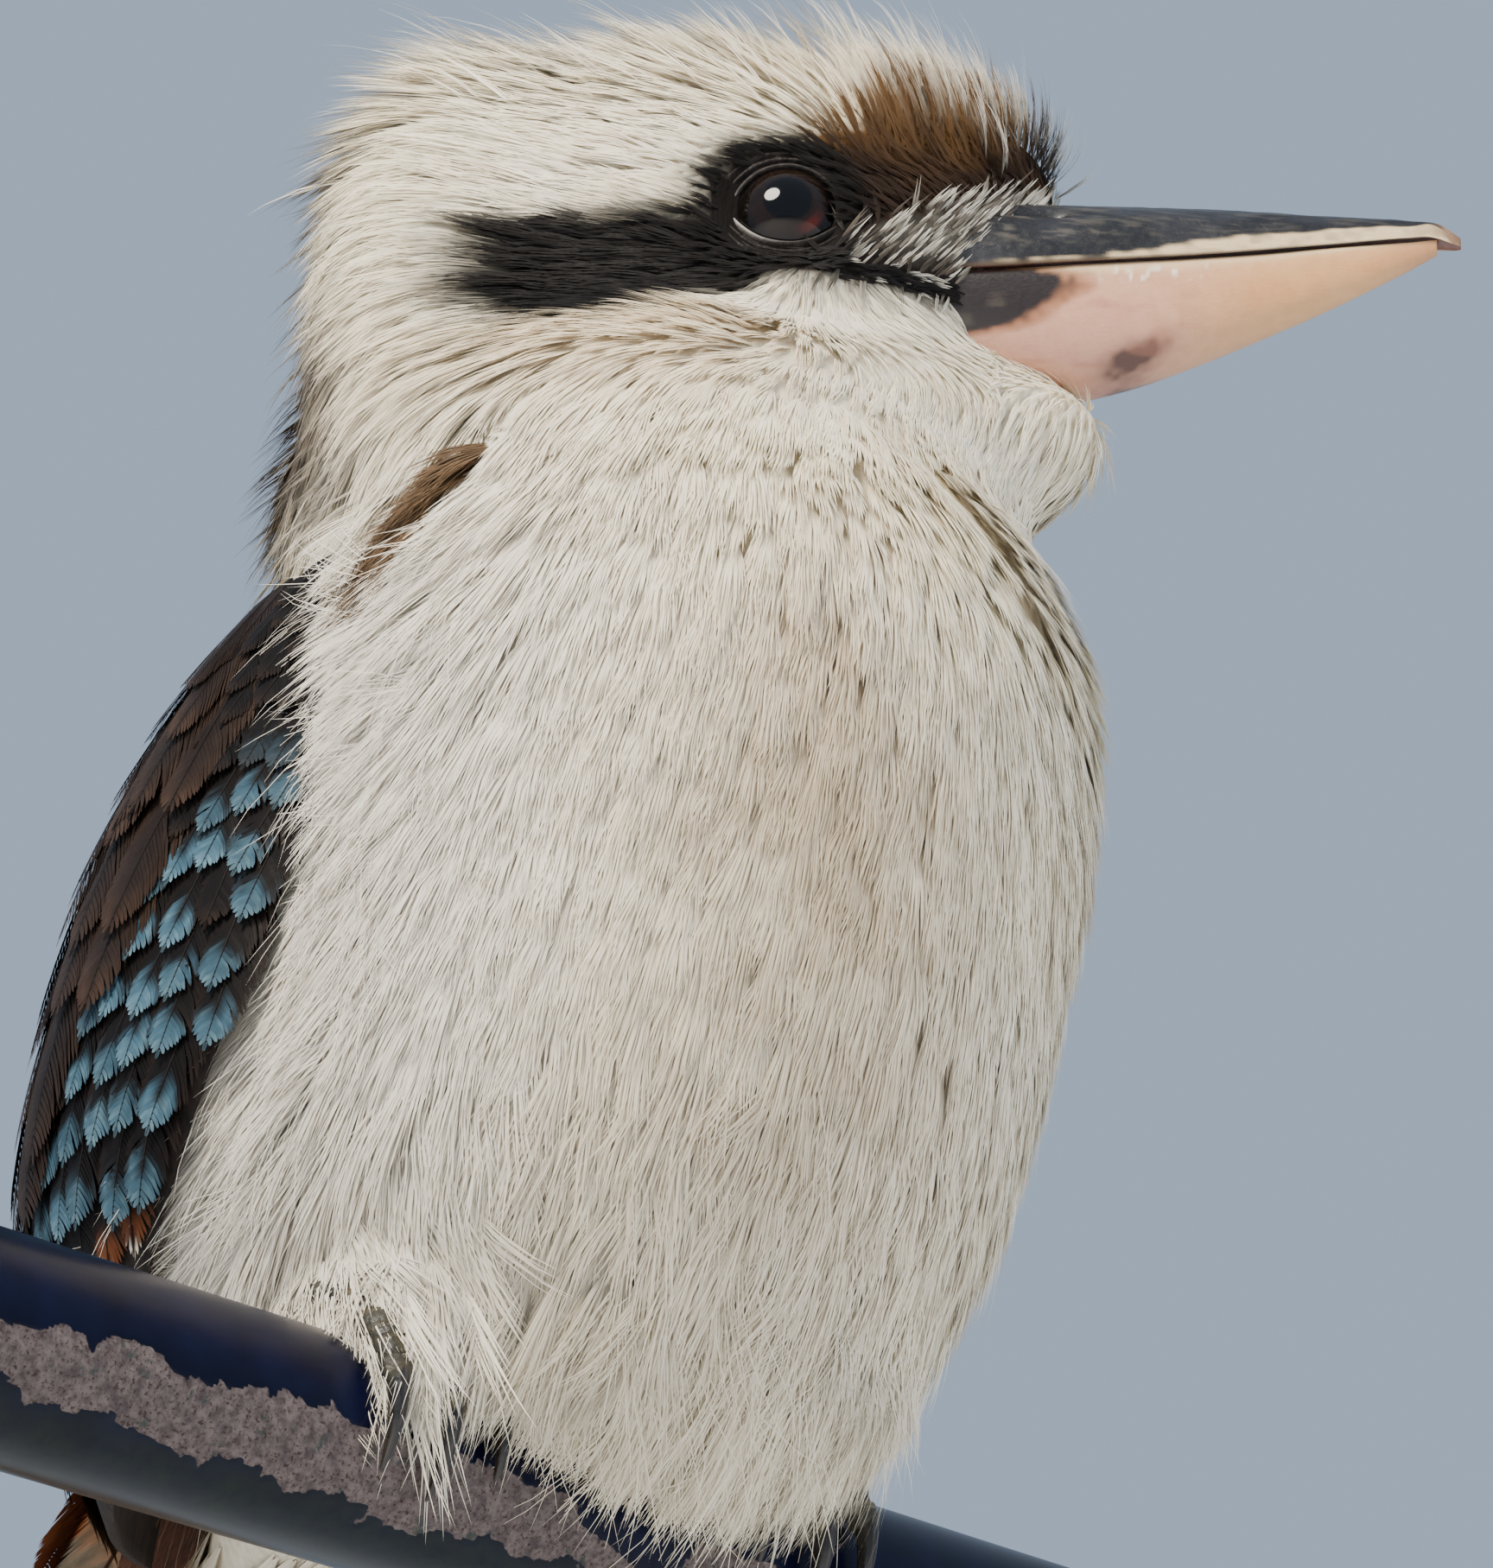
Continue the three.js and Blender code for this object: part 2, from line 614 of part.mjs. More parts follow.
function baseSolid() {
  const w = BASE.x / 2 - BASE.bevel,
    d = BASE.y / 2 - BASE.bevel,
    c = BASE.corner - BASE.bevel;
  const s = new THREE.Shape();
  s.moveTo(-w + c, -d);
  s.lineTo(w - c, -d);
  s.absarc(w - c, -d + c, c, -Math.PI / 2, 0);
  s.lineTo(w, d - c);
  s.absarc(w - c, d - c, c, 0, Math.PI / 2);
  s.lineTo(-w + c, d);
  s.absarc(-w + c, d - c, c, Math.PI / 2, Math.PI);
  s.lineTo(-w, -d + c);
  s.absarc(-w + c, -d + c, c, Math.PI, Math.PI * 1.5);
  const g = new THREE.ExtrudeGeometry(s, {
    depth: BASE.z - BASE.bevel,
    bevelEnabled: true,
    bevelThickness: BASE.bevel,
    bevelSize: BASE.bevel,
    bevelSegments: 1,
    curveSegments: 5,
  });
  g.translate(0, 0, -RAIL_TOP);
  // the underside is flat from edge to edge: what the bevel left below it is cut away
  return facingOut(mergeVertices(strip(g), 1e-3)).intersect(halfSpace([0, 0, -RAIL_TOP], [0, 0, 1], false));
}

// ---------- assembly ----------
const boxLo = [-76, -92, -36],
  boxHi = [76, 104, 218];
const bodyAll = solid(surface(coat, boxLo, boxHi, BODY_GRID));
const HEAD_FLOOR = 112; // where the head's own block starts, below its cut from the neck
const headAll = solid(
  surface((x, y, z) => Math.max(coat(x, y, z), HEAD_FLOOR - z), [-72, -98, HEAD_FLOOR - 10], [72, 72, 218], HEAD_GRID),
);

const headCut = { p: headPoint(0, 0, -36), n: [0.21 * HX[0], 0.21 * HX[1], 1] };
const neckCut = { p: [0, 0, 116], n: [0, -0.18, 1] };
const rail = railSolid(),
  railGrown = railSolid(GAP);
const tail = tailFan();
const billU = billHalf("u"),
  billL = billHalf("l"),
  billGrown = billHalf("u", GAP).add(billHalf("l", GAP));
const eyes = [-1, 1].map((s) => headPoint(EYE.x, s * EYE.y, EYE.z));
const feet = FEET.map((f) => ({
  ...f,
  flesh: footFlesh(f, 0),
  grown: footFlesh(f, COAT_CLEAR),
  claws: TOES.map((t) => ({
    name: t.name,
    horn: clawHorn(f, t),
    grown: clawHorn(f, t, GAP),
    clear: clawHorn(f, t, COAT_CLEAR),
  })),
}));

// the wings' tips lie over the tail, and nothing of the coat stays as a thin shell outside a wing or over the tail
const wings = [-1, 1].map((s) => wingLeaf(s).subtract(tailFan(GAP, 0, 30))),
  wingsGrown = wingLeaf(-1, GAP, 9).add(wingLeaf(1, GAP, 9)),
  tailClear = tailFan(GAP, 4, 0);
let trunk = bodyAll
  .intersect(halfSpace(neckCut.p, neckCut.n, true, -GAP / 2))
  .subtract(railGrown)
  .subtract(tailClear)
  .subtract(wingsGrown);
for (const f of feet) {
  trunk = trunk.subtract(f.grown);
  for (const c of f.claws) trunk = trunk.subtract(c.clear);
}
const neck = bodyAll
  .intersect(halfSpace(neckCut.p, neckCut.n, false, GAP / 2))
  .intersect(halfSpace(headCut.p, headCut.n, true, -GAP / 2))
  .subtract(wingsGrown)
  .subtract(billGrown);
const eyesGrown = eyes.map((c) => ball(c, EYE.r + GAP));
const head = headAll
  .intersect(halfSpace(headCut.p, headCut.n, false, GAP / 2))
  .subtract(billGrown)
  .subtract(eyesGrown[0])
  .subtract(eyesGrown[1]);

const group = new THREE.Group();
const perched = new THREE.Group(); // everything is laid out from the rail's top
perched.position.z = RAIL_TOP;
group.add(perched);
function put(name, s, colour, roughness, metalness = 0) {
  const g = back(largest(s));
  g.computeVertexNormals();
  const mesh = new THREE.Mesh(g, new THREE.MeshStandardMaterial({ color: colour, roughness, metalness }));
  mesh.name = name;
  perched.add(mesh);
}
put("trunk", trunk, 0xe6ddcd, 0.9);
put("neck", neck, 0xe9e0cf, 0.9);
put("head", head, 0xeee8dc, 0.9);
put("bill_upper", billU, 0x262a33, 0.45);
put("bill_lower", billL, 0xd9a887, 0.5);
put("eye_R", ball(eyes[0], EYE.r), 0x1c0f0a, 0.08);
put("eye_L", ball(eyes[1], EYE.r), 0x1c0f0a, 0.08);
put("wing_R", wings[0], 0x3a2c24, 0.75);
put("wing_L", wings[1], 0x3a2c24, 0.75);
put("tail", tail, 0x9a5f38, 0.75);
for (const f of feet) {
  let flesh = f.flesh;
  for (const c of f.claws) flesh = flesh.subtract(c.grown);
  put("leg_" + f.side, flesh, 0x6b6a4c, 0.7);
  for (const c of f.claws) put("claw_" + f.side + c.name, c.horn, 0x17161a, 0.35);
}
put("perch", rail, 0x14245c, 0.35);
put("stand_base", baseSolid(), 0xd8d5cd, 0.5);
for (const [name, s] of [
  ["stand_rod_A", -1],
  ["stand_rod_B", 1],
])
  put(name, rodSolid((s * ROD.spacing) / 2).subtract(railGrown), 0xb9bcc0, 0.35, 1);

export default group;
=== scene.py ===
import math

import bpy
import numpy as np
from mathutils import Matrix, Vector


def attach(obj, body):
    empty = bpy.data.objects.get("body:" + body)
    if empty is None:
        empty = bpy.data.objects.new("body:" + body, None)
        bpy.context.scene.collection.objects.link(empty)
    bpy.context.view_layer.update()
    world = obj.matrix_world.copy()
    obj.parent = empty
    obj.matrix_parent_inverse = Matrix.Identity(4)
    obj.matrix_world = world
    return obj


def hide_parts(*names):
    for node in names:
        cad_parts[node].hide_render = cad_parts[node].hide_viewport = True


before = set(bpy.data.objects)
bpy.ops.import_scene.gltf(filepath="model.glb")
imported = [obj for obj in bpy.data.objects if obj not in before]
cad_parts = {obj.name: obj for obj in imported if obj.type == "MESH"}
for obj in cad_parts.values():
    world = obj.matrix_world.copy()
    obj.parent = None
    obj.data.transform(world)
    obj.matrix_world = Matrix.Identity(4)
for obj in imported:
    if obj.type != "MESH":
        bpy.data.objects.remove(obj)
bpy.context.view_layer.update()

PI = math.pi

# Everything below is laid out in millimetres from the rail's top under the bird; LIFT brings it into the row's frame.
LIFT = np.array([0.0, 0.0, 320.0])
RAIL_R = 14.5


def rng(seed):
    return np.random.default_rng(seed)


def unit(v):
    return v / np.maximum(np.linalg.norm(v, axis=-1, keepdims=True), 1e-9)


def step(a, b, x):
    t = np.clip((x - a) / (b - a), 0, 1)
    return t * t * (3 - 2 * t)


def mix(a, b, t):
    return a + (b - a) * t


# ---------------------------------------------------------------- the bird's form
TURN = math.radians(40)
HC = np.array([0.0, -22.0, 172.0])
HX = np.array([math.sin(TURN), -math.cos(TURN), 0.0])
HL = np.array([math.cos(TURN), math.sin(TURN), 0.0])
HZ = np.array([0.0, 0.0, 1.0])
MH = np.stack([HX, HL, HZ], 1)


def hd(x, y, z):
    return HC + x * HX + y * HL + z * HZ


def to_head(p):
    return (p - HC) @ MH


def from_head(q):
    return HC + q @ MH.T


def curve(x, X, Y):
    X = np.asarray(X, float)
    Y = np.asarray(Y, float)
    x = np.clip(x, X[0], X[-1])
    i = np.clip(np.searchsorted(X, x, side="right") - 1, 0, len(X) - 2)
    h = X[i + 1] - X[i]
    t = (x - X[i]) / h
    m = np.gradient(Y, X)
    return (
        (2 * t**3 - 3 * t**2 + 1) * Y[i]
        + (t**3 - 2 * t**2 + t) * h * m[i]
        + (3 * t**2 - 2 * t**3) * Y[i + 1]
        + (t**3 - t**2) * h * m[i + 1]
    )


def smin(a, b, k):
    h = np.maximum(k - np.abs(a - b), 0) / k
    return np.minimum(a, b) - h * h * k * 0.25


def smax(a, b, k):
    h = np.maximum(k - np.abs(a - b), 0) / k
    return np.maximum(a, b) + h * h * k * 0.25


def ell(p, c, r, frame3=None):
    q = p - np.asarray(c, float)
    if frame3 is not None:
        q = q @ frame3
    r = np.asarray(r, float)
    k0 = np.sqrt(((q / r) ** 2).sum(-1))
    k1 = np.sqrt(((q / r**2) ** 2).sum(-1))
    return k0 * (k0 - 1) / np.maximum(k1, 1e-9)


def taper(p, a, b, r1, r2):
    a = np.asarray(a, float)
    b = np.asarray(b, float)
    ba = b - a
    l2 = ba @ ba
    rr = r1 - r2
    a2 = l2 - rr * rr
    il2 = 1 / l2
    pa = p - a
    y = pa @ ba
    z = y - l2
    v = pa * l2 - y[..., None] * ba
    x2 = (v * v).sum(-1)
    y2 = y * y * l2
    z2 = z * z * l2
    k = np.sign(rr) * rr * rr * x2
    d1 = np.sqrt(x2 + z2) * il2 - r2
    d2 = np.sqrt(x2 + y2) * il2 - r1
    d3 = (np.sqrt(x2 * a2 * il2) + y * rr) * il2 - r1
    return np.where(np.sign(z) * a2 * z2 > k, d1, np.where(np.sign(y) * a2 * y2 < k, d2, d3))


BACK = dict(
    z=[-30, 0, 30, 60, 81, 101, 116, 135, 160],
    y=[28, 23, 20, 18, 14, 8, 3, -2, -8],
    a=[34, 52, 65, 65, 62, 57, 51, 43, 34],
    b=[50, 60, 66, 63, 60, 52, 46, 42, 32],
)
FRONT = dict(
    z=[-20, -6, 8, 22, 40, 60, 80, 100, 118, 135, 155],
    x=[0, 0, 0, -1, -2, -2, -2, -2, -3, -4, -4],
    y=[3, 1, 0, -3, -8, -13, -17, -20, -21, -19, -16],
    a=[20, 36, 47, 53, 56, 57, 57, 55, 50, 43, 38],
    b=[16, 33, 45, 52, 56, 58, 59, 56, 49, 42, 38],
)


def swept(p, T, cx, inset, lo, hi, k):
    z = p[..., 2]
    a = curve(z, T["z"], T["a"]) - inset
    b = curve(z, T["z"], T["b"]) - inset
    q = np.sqrt(((p[..., 0] - cx) / a) ** 2 + ((p[..., 1] - curve(z, T["z"], T["y"])) / b) ** 2)
    return smax((q - 1) * np.minimum(a, b), np.maximum(z - hi, lo - z), k)


EYE = (12.0, 16.8, -7.3, 9.0)


def coat(p):
    """Signed distance to the coat's outline, in millimetres."""
    z = p[..., 2]
    d = swept(p, FRONT, curve(z, FRONT["z"], FRONT["x"]), 0, -15, 150, 16)
    d = smin(d, swept(p, BACK, 0, 7.5, 4, 140, 30), 9)
    d = smin(d, ell(p, (-5, 11, 131), (37, 32, 35)), 14)
    d = smin(d, taper(p, (0, 26, 24), (0, 66, -7), 32, 13), 16)
    d = smin(d, ell(p, (-38, -2, 4), (16, 20, 17)), 9)
    d = smin(d, ell(p, (27, 2, 6), (17, 20, 17)), 10)
    d = smin(d, ell(p, hd(-4, 0, -6), (45, 29, 34), MH), 14)
    d = smin(d, ell(p, hd(-32, 0, -12), (22, 27, 36), MH), 14)
    d = smin(d, ell(p, hd(29, 0, 4), (21, 12.5, 16), MH), 10)
    d = smin(d, taper(p, hd(9, 0, -12), hd(39, 0, -10), 23.5, 7.5), 8)
    d = smin(d, ell(p, hd(36, 0, -34), (20, 12.5, 12.5), MH), 8)
    d = smin(d, ell(p, hd(22, 0, -42), (24, 22, 20), MH), 12)
    for s in (-1, 1):
        d = smax(d, -ell(p, hd(13, s * 35, -7.3), (15, 12.5, 13), MH), 5)
    return d


def headness(p):
    """1 on the head, 0 on the body, blended over the upper neck."""
    q = to_head(p)
    return step(-52, -34, q[..., 2] + 0.10 * q[..., 0])


def near_bill(q):
    """1 beside the bill and the eye, 0 away from them (q in head axes)."""
    a = step(8, 34, q[..., 0]) * step(-44, -30, q[..., 2])
    b = 1 - step(9, 19, np.sqrt((q[..., 0] - 12) ** 2 + (q[..., 2] + 7.3) ** 2))
    return np.maximum(a, b)


def depth(p):
    """How deep the skin lies under the tips of the coat."""
    q = to_head(p)
    h = headness(p)
    face = near_bill(q)
    x, y, z = p[..., 0], p[..., 1] + 8, p[..., 2]
    round_ = (0.70 * x - 0.71 * y) / np.maximum(np.hypot(x, y), 1.0)
    body = 3.9 + 0.8 * step(30, 0, z) - 1.7 * step(0.2, 0.9, round_) * step(14, 40, z) * step(128, 112, z)
    head = mix(2.7, 1.1, face)
    return mix(body, head, h)


def skin_field(p):
    return coat(p) + depth(p)


def grad(f, p, e=0.25):
    g = np.empty(p.shape)
    for a in range(3):
        o = np.zeros(3)
        o[a] = e
        g[..., a] = (f(p + o) - f(p - o)) / (2 * e)
    return g


def onto(f, p, steps=3):
    for _ in range(steps):
        g = grad(f, p)
        p = p - (f(p) / np.maximum((g * g).sum(-1), 0.2))[:, None] * g
    return p


def surface_nets(f, lo, hi, h):
    lo = np.asarray(lo, float)
    n = np.ceil((np.asarray(hi, float) - lo) / h).astype(int) + 1
    ax = [lo[i] + h * np.arange(n[i]) for i in range(3)]
    F = np.empty(n)
    for i in range(n[0]):
        G = np.stack(np.meshgrid([ax[0][i]], ax[1], ax[2], indexing="ij"), -1)[0]
        F[i] = f(G)
    S = F < 0
    corners = [(i, j, k) for i in (0, 1) for j in (0, 1) for k in (0, 1)]
    m = tuple(n - 1)
    cnt = sum(S[o[0] : o[0] + m[0], o[1] : o[1] + m[1], o[2] : o[2] + m[2]].astype(np.int8) for o in corners)
    act = (cnt > 0) & (cnt < 8)
    idx = np.argwhere(act)
    pos = np.zeros((len(idx), 3))
    w = np.zeros(len(idx))
    for o in corners:
        for a in range(3):
            if o[a]:
                continue
            o2 = list(o)
            o2[a] = 1
            A = F[tuple((idx + o).T)]
            B = F[tuple((idx + o2).T)]
            x = (A < 0) != (B < 0)
            t = np.where(x, A / np.where(x, A - B, 1), 0)
            q = np.array(o, float)[None].repeat(len(idx), 0)
            q[:, a] += t
            pos += q * x[:, None]
            w += x
    pos = lo + h * (idx + pos / w[:, None])
    vid = -np.ones(m, int)
    vid[act] = np.arange(len(idx))
    quads = []
    for a in range(3):
        b, c = (a + 1) % 3, (a + 2) % 3
        s0 = [slice(None)] * 3
        s1 = [slice(None)] * 3
        s0[a] = slice(0, -1)
        s1[a] = slice(1, None)
        e = np.argwhere(S[tuple(s0)] != S[tuple(s1)])
        e = e[(e[:, b] > 0) & (e[:, c] > 0) & (e[:, b] < n[b] - 1) & (e[:, c] < n[c] - 1)]
        inside = S[tuple(e.T)]

        def v(db, dc):
            q = e.copy()
            q[:, b] -= db
            q[:, c] -= dc
            return vid[tuple(q.T)]

        Q = np.stack([v(1, 1), v(0, 1), v(0, 0), v(1, 0)], 1)
        quads.append(np.where(inside[:, None], Q, Q[:, ::-1]))
    return pos, np.concatenate(quads)


# ---------------------------------------------------------------- smooth noise for markings and jitter
def _hash(i, j, k, seed):
    h = (i * 374761393 + j * 668265263 + k * 2147483647 + seed * 1274126177) & 0xFFFFFFFF
    h = ((h ^ (h >> 13)) * 1274126177) & 0xFFFFFFFF
    return ((h ^ (h >> 16)) & 0xFFFF) / 65535.0


def noise(p, scale, seed=0):
    """Value noise in 0..1 with features of about scale millimetres."""
    q = np.asarray(p, float) / scale
    i = np.floor(q).astype(np.int64)
    f = q - i
    f = f * f * (3 - 2 * f)
    out = 0
    for a in (0, 1):
        for b in (0, 1):
            for c in (0, 1):
                w = (
                    np.where(a, f[..., 0], 1 - f[..., 0])
                    * np.where(b, f[..., 1], 1 - f[..., 1])
                    * np.where(c, f[..., 2], 1 - f[..., 2])
                )
                out = out + w * _hash(i[..., 0] + a, i[..., 1] + b, i[..., 2] + c, seed)
    return out


# ---------------------------------------------------------------- colours (linear)
def srgb(r, g, b):
    c = np.array([r, g, b], float) / 255
    return np.where(c <= 0.04045, c / 12.92, ((c + 0.055) / 1.055) ** 2.4)


WHITE = srgb(247, 240, 222)
CREAM = srgb(243, 228, 194)
BUFF = srgb(214, 184, 138)
GREYWHITE = srgb(232, 228, 220)
SMUDGE = srgb(190, 164, 128)
STRIPE = srgb(17, 13, 11)
BROW = srgb(102, 74, 44)
BROWDARK = srgb(40, 27, 18)
CROWN = srgb(86, 62, 44)
DARKTIP = srgb(44, 30, 22)
MANTLE = srgb(66, 47, 34)
RUFOUS = srgb(160, 92, 50)
SHOULDER = srgb(158, 122, 82)


def lerp(a, b, t):
    t = np.asarray(t)[..., None]
    return a * (1 - t) + b * t


def seg_distance(p, a, b, side=False):
    """Distance from p to the line from a to b; with side, the same on both flanks."""
    q = np.stack([-np.abs(p[..., 0]), p[..., 1], p[..., 2]], -1) if side else p
    a, b = np.array(a, float), np.array(b, float)
    ab = b - a
    t = np.clip(((q - a) @ ab) / (ab @ ab), 0, 1)
    return np.linalg.norm(q - (a + t[..., None] * ab), axis=-1)


def lore_top(x):
    """Where the brow's brown ends above the lores."""
    return curve(x, [18, 23, 29, 35, 41, 52], [-12.5, -10.5, -7.5, -4.2, -0.6, 4.0])


def lore_place(x, z):
    """1 on the dark bristly skin between the eye and the bill (head axes)."""
    return step(19.5, 22, x) * step(-18.0, -16.0, z) * step(1.0, -1.0, z - lore_top(x)) * step(52, 46, x)


def markings(p):
    """Colour of the coat at skin points p."""
    q = to_head(p)
    x, y, z = q[..., 0], np.abs(q[..., 1]), q[..., 2]
    h = headness(p)
    X, Y, Z = p[..., 0], p[..., 1], p[..., 2]
    n1 = noise(p, 9, 1)
    n2 = noise(p, 3.2, 2)
    n3 = noise(p, 22, 3)
    # body
    c = lerp(WHITE, CREAM, np.clip(0.40 + 0.35 * (n3 - 0.5) + 0.25 * step(70, 130, Z), 0, 1))
    c = lerp(c, GREYWHITE, step(-30, -62, X) * 0.7)
    smudge = np.exp(-(((X + 26) / 15) ** 2 + ((Z - 78) / 17) ** 2)) * step(0, -30, Y)
    smudge2 = np.exp(-(((X + 16) / 22) ** 2 + ((Z - 40) / 34) ** 2)) * step(10, -20, Y) * 0.75
    s = np.clip((smudge * 0.85 + smudge2 * 0.8) * (0.30 + 1.0 * n1), 0, 0.62)
    c = lerp(c, SMUDGE, s)
    # the brown patch over the bend of the wing
    dark = seg_distance(p, (-55, -22, 119), (-60, -8, 106), True) + 2.5 * (n2 - 0.5)
    c = lerp(c, MANTLE * 0.45, step(4.6, 2.6, dark))
    sh = seg_distance(p, (-51, -32, 123), (-55, -20, 110), True) + 2.5 * (n2 - 0.5)
    c = lerp(c, lerp(SHOULDER * 0.62, MANTLE, step(1.0, 4.0, sh) * 0.6), step(4.8, 2.8, sh))
    # back and rump
    back = step(-6, 7, Y - curve(Z, [0, 12, 40, 60, 120, 160], [44, 40, 27, 22, 27, 34])) * step(-4, 14, Z)
    back = back * step(178, 150, Z + 0.3 * Y)
    c = lerp(c, lerp(MANTLE, RUFOUS, step(50, 20, Z) * 0.35), back * (1 - h))
    # head
    head = lerp(WHITE, CREAM, 0.25 + 0.3 * n3)
    buff = step(-23, -31, z) * step(-50, -40, z) * step(-30, -16, x) * step(24, 4, x) * step(20, 30, y)
    head = lerp(head, BUFF, buff * 0.40)
    nape_buff = step(-20, -34, x) * step(-14, -34, z) * 0.35
    head = lerp(head, BUFF, nape_buff * n3)
    # dark streak down the middle of the crown to the nape
    streak = step(8, 3, y + 6 * (n2 - 0.5))
    streak = streak * step(22, 8, x) * step(-14, 0, z + 0.55 * (-x - 20)) * step(0.25, 0.6, noise(p, 5, 9))
    head = lerp(head, CROWN, np.clip(streak * 0.75, 0, 1))
    nape = step(-36, -48, x + 3 * (n2 - 0.5)) * step(-6, -16, z) * step(26, 12, y)
    head = lerp(head, CROWN, nape * 0.7)
    # forehead and brow patch, dark beside the eye and golden further up
    top = curve(x, [8, 12, 16, 20, 26, 32, 54], [0, 2.0, 4.5, 8.0, 12.5, 15, 15]) + 4 * (n1 - 0.5)
    brow = step(9, 13, x) * step(-1.5, 0.5, z - lore_top(x)) * step(top + 1.5, top - 1.5, z)
    gold = step(-4, 7, z - 0.25 * (x - 20)) * step(50, 38, x) * step(12, 17, x)
    head = lerp(head, lerp(BROWDARK, BROW, np.clip(gold * 1.0 + 0.7 * (n2 - 0.55), 0, 1)), np.clip(brow, 0, 1))
    # eye stripe
    low = curve(x, [-36, -28, -22, -11, 0, 8, 14, 22], [-20, -23, -27, -31, -28.5, -22, -17, -13])
    high = curve(x, [-36, -28, -18, -5, 6, 14, 22], [-13, -11.5, -10.2, -9.6, -5, 2.0, -4])
    zz = z + 2.0 * (n2 - 0.5)
    stripe = step(low - 1.0, low + 1.2, zz) * step(high + 1.4, high - 0.8, zz) * step(-33, -26, x + 5 * (n2 - 0.5)) * step(24, 19, x) * step(14, 19, y)
    head = lerp(head, STRIPE, stripe)
    orbit = step(13.5, 10.5, np.sqrt((x - 12.6) ** 2 * 0.85 + (z + 7.3) ** 2 * 1.15)) * step(14, 19, y)
    head = lerp(head, STRIPE, orbit)
    # the stripe runs on thinly below the eye to the gape
    gape = step(-19.5, -17.5, zz + 0.02 * x) * step(-12.5, -14.5, zz + 0.02 * x) * step(8, 13, x) * step(37, 31, x)
    head = lerp(head, STRIPE, gape * 0.9)
    c = lerp(c, head, h)
    return c * (0.93 + 0.14 * n2)[..., None]


# ---------------------------------------------------------------- meshes and materials
def mesh_of(name, verts, faces=None, loops=None, starts=None, totals=None, smooth=True, material=None):
    """A mesh object from millimetre points. faces is an (n, k) array, or loops/starts/totals for mixed faces."""
    me = bpy.data.meshes.new(name)
    v = (np.asarray(verts, float) + LIFT) / 1000.0
    me.vertices.add(len(v))
    me.vertices.foreach_set("co", v.astype(np.float32).ravel())
    if faces is not None:
        faces = np.asarray(faces)
        loops = faces.ravel()
        k = faces.shape[1]
        starts = np.arange(0, len(loops), k)
        totals = np.full(len(faces), k)
    me.loops.add(len(loops))
    me.loops.foreach_set("vertex_index", np.asarray(loops, np.int32))
    me.polygons.add(len(starts))
    me.polygons.foreach_set("loop_start", np.asarray(starts, np.int32))
    me.polygons.foreach_set("loop_total", np.asarray(totals, np.int32))
    me.polygons.foreach_set("use_smooth", np.full(len(starts), smooth))
    me.update(calc_edges=True)
    me.validate()
    o = bpy.data.objects.new(name, me)
    bpy.context.scene.collection.objects.link(o)
    if material is not None:
        me.materials.append(material)
    return o


def paint(o, colours, name="Col"):
    a = o.data.color_attributes.new(name, "FLOAT_COLOR", "POINT")
    c = np.ones((len(o.data.vertices), 4), np.float32)
    c[:, :3] = colours
    a.data.foreach_set("color", c.ravel())


def scalar(o, name, values):
    a = o.data.attributes.new(name, "FLOAT", "POINT")
    a.data.foreach_set("value", np.asarray(values, np.float32))


def set_uv(o, uv_of_vertex, name="OFBake"):
    layer = o.data.uv_layers.new(name=name)
    idx = np.empty(len(o.data.loops), np.int32)
    o.data.loops.foreach_get("vertex_index", idx)
    layer.data.foreach_set("uv", np.asarray(uv_of_vertex, np.float32)[idx].ravel())


def set_loop_uv(o, uv, name="OFBake"):
    layer = o.data.uv_layers.new(name=name)
    layer.data.foreach_set("uv", np.asarray(uv, np.float32).ravel())


